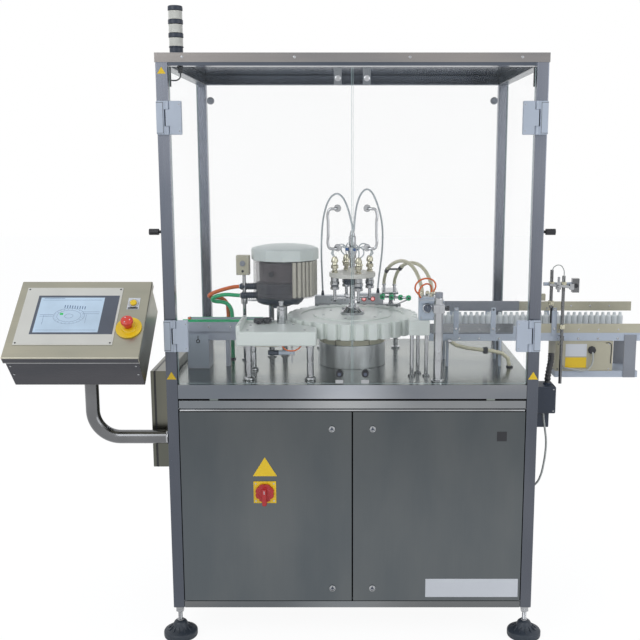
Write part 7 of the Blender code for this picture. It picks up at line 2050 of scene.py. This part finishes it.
@dataclass
class Outfeed:
    """Short outfeed conveyor on the left with green guide strips and its drive box."""

    shop: Workshop

    def build(self) -> None:
        """Builds the beam, strips, drive box with knob, fittings and the leg."""
        shop = self.shop
        body = shop.coat([shop.skin("outfeed_conveyor", 0.0012)], GREY_PAINT)
        shop.recoat(body[0], GREEN, Zone(z=(1.1205, 1.135), x=(-0.7, -0.3)))
        shop.recoat(body[0], SLATE, Zone(z=(1.049, 1.0855), x=(-0.64, -0.34), y=(0.29, 0.2935)))
        front = shop.coat([shop.block((-0.616, -0.539), (0.2612, 0.264), (0.956, 1.078), 0.001)], PALE_GREY)
        ring = [(-0.5775 + x, 0.26, 1.053 + y) for x, y in ring_points(20, 0.0062, (0.0, 0.0))]
        hook = [shop.tube([*ring, ring[0]], 0.0014, 8, smooth=False),
            shop.rod((-0.5775, 0.26, 1.059), (-0.5775, 0.26, 1.074), 0.0013)]
        knob = shop.coat(hook, BLACK)
        screws = shop.screws([(x, 0.2918, 1.102) for x in (-0.62, -0.54, -0.46, -0.38)], 0.004, FRONT, 0.0014)
        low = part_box("outfeed_conveyor")[0] - shop.origin
        fittings = []
        for step, finish in enumerate((ORANGE, CHROME)):
            y = 0.292 + 0.012 * step
            piece = shop.turned((low[0] + 0.024, y + 0.01, 1.128),
                ((0.0055, 0.0), (0.0055, 0.008), (0.004, 0.0095)), UP, 12)
            fittings += shop.coat([piece], finish)
        shop.fit("outfeed_set", "machine", body + front + knob + screws + fittings, ("outfeed_conveyor",))


@dataclass
class Studio:
    """Floor, soft lamps, sky and camera round the machine."""

    origin: Vector
    floor_half: float = 14.0
    shadow_share: float = 0.12
    paper_strength: float = 1.06

    def build(self) -> None:
        """Sets the floor, the sky, the lamps and the camera."""
        self.floor()
        self.sky()
        self.lamps()
        self.camera()
        bpy.context.scene.view_settings.view_transform = "Standard"

    def seen(self, tree: bpy.types.NodeTree) -> bpy.types.NodeSocket:
        """Tells the rays that show the background: from the camera, off metal and through glass.

        Args:
            tree: The floor's or the sky's nodes.

        Returns:
            An output that is 1 for such a ray.
        """
        rays = tree.nodes.new("ShaderNodeLightPath")
        found = rays.outputs["Is Camera Ray"]
        for kind in ("Is Glossy Ray", "Is Transmission Ray"):
            larger = tree.nodes.new("ShaderNodeMath")
            larger.operation = "MAXIMUM"
            tree.links.new(found, larger.inputs[0])
            tree.links.new(rays.outputs[kind], larger.inputs[1])
            found = larger.outputs["Value"]
        return found

    def floor(self) -> None:
        """A pale floor under the feet."""
        bpy.ops.object.select_all(action="DESELECT")
        bpy.ops.mesh.primitive_plane_add(size=2 * self.floor_half,
            location=(self.origin.x, self.origin.y + 4.0, -0.0006))
        plane = bpy.context.object
        bpy.ops.object.transform_apply(location=True, rotation=True, scale=True)
        plane.name = "studio_floor"
        made = bpy.data.materials.new("studio_floor")
        made.use_nodes = True
        nodes = made.node_tree.nodes
        link = made.node_tree.links.new
        shader = nodes["Principled BSDF"]
        shader.inputs["Base Color"].default_value = (0.8, 0.8, 0.8, 1)
        shader.inputs["Roughness"].default_value = 0.65
        paper = nodes.new("ShaderNodeEmission")
        paper.inputs["Strength"].default_value = self.paper_strength
        shadow = nodes.new("ShaderNodeMixShader")
        shadow.inputs["Fac"].default_value = self.shadow_share
        mix = nodes.new("ShaderNodeMixShader")
        link(paper.outputs["Emission"], shadow.inputs[1])
        link(shader.outputs["BSDF"], shadow.inputs[2])
        link(self.seen(made.node_tree), mix.inputs["Fac"])
        link(shader.outputs["BSDF"], mix.inputs[1])
        link(shadow.outputs["Shader"], mix.inputs[2])
        link(mix.outputs["Shader"], nodes["Material Output"].inputs["Surface"])
        plane.data.materials.append(made)

    def sky(self) -> None:
        """A sky that is white to the camera, in reflections and through glass, and a soft grey gradient for
        the rest.
        """
        world = bpy.data.worlds.new("studio_sky")
        world.use_nodes = True
        bpy.context.scene.world = world
        nodes = world.node_tree.nodes
        link = world.node_tree.links.new
        out = nodes["World Output"]
        plain = nodes["Background"]
        plain.inputs["Color"].default_value = (1, 1, 1, 1)
        plain.inputs["Strength"].default_value = 1.0
        place = nodes.new("ShaderNodeTexCoord")
        split = nodes.new("ShaderNodeSeparateXYZ")
        ramp = nodes.new("ShaderNodeValToRGB")
        ramp.color_ramp.elements[0].position = 0.3
        ramp.color_ramp.elements[0].color = (0.27, 0.29, 0.32, 1)
        ramp.color_ramp.elements[1].position = 0.95
        ramp.color_ramp.elements[1].color = (0.78, 0.83, 0.9, 1)
        shift = nodes.new("ShaderNodeMath")
        shift.operation = "MULTIPLY_ADD"
        shift.inputs[1].default_value = 0.5
        shift.inputs[2].default_value = 0.5
        soft = nodes.new("ShaderNodeBackground")
        soft.inputs["Strength"].default_value = 0.75
        mix = nodes.new("ShaderNodeMixShader")
        link(place.outputs["Generated"], split.inputs["Vector"])
        link(split.outputs["Z"], shift.inputs[0])
        link(shift.outputs["Value"], ramp.inputs["Fac"])
        link(ramp.outputs["Color"], soft.inputs["Color"])
        link(self.seen(world.node_tree), mix.inputs["Fac"])
        link(soft.outputs["Background"], mix.inputs[1])
        link(plain.outputs["Background"], mix.inputs[2])
        link(mix.outputs["Shader"], out.inputs["Surface"])

    def lamps(self) -> None:
        """Three wide lamps: a key from the upper left, a fill from the right and a strip behind."""
        wide = (("key", (-2.6, -3.0, 3.6), 2.6, 58.0), ("fill", (3.2, -2.2, 2.2), 2.4, 32.0),
            ("back", (0.0, 3.2, 3.4), 2.6, 40.0))
        for name, at, size, power in wide:
            bpy.ops.object.light_add(type="AREA", location=self.origin + Vector(at))
            lamp = bpy.context.object
            lamp.name = f"studio_{name}"
            lamp.data.size = size
            lamp.data.energy = power
            lamp.data.color = (0.96, 0.98, 1.0)
            lamp.visible_glossy = name != "back"
            toward = Vector((0.0, 0.3, 1.1)) - Vector(at)
            lamp.rotation_euler = toward.to_track_quat("-Z", "Y").to_euler()

    def camera(self) -> None:
        """A level-sided camera in front, a little above the panel."""
        bpy.ops.object.camera_add(location=self.origin + Vector((0.0, -3.186, 1.726)),
            rotation=(math.radians(80.249), 0, 0))
        eye = bpy.context.object
        eye.name = "studio_camera"
        eye.data.sensor_width = 36.0
        eye.data.lens = 52.74
        eye.data.shift_x = -0.0505
        eye.data.clip_start = 0.05
        bpy.context.scene.camera = eye


def main() -> None:
    """Builds every sub-assembly, then the studio."""
    bpy.ops.object.select_all(action="DESELECT")
    for name in ("Cube", "Light", "Camera"):
        if name in bpy.data.objects:
            bpy.data.objects[name].select_set(True)
    bpy.ops.object.delete()
    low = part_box("frame")[0]
    origin = Vector((low[0] + HALF_WIDTH, low[1], 0.0))
    shop = Workshop(origin)
    for assembly in ASSEMBLIES:
        assembly(shop).build()
    Studio(origin).build()
    log.info("%d pieces fitted", shop.made)
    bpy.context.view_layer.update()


ASSEMBLIES = (MachineFrame, CabinetShell, CabinetDoors, LevellingFeet, GuardSheets, SignalTower,
    SideEnclosure, OperatorPanel, StarWheel, GuideBlock, BowlFeeder, DosingStation, FillingStation, Conveyor,
    JunctionBox, Outfeed)

if __name__ == "__main__":
    main()
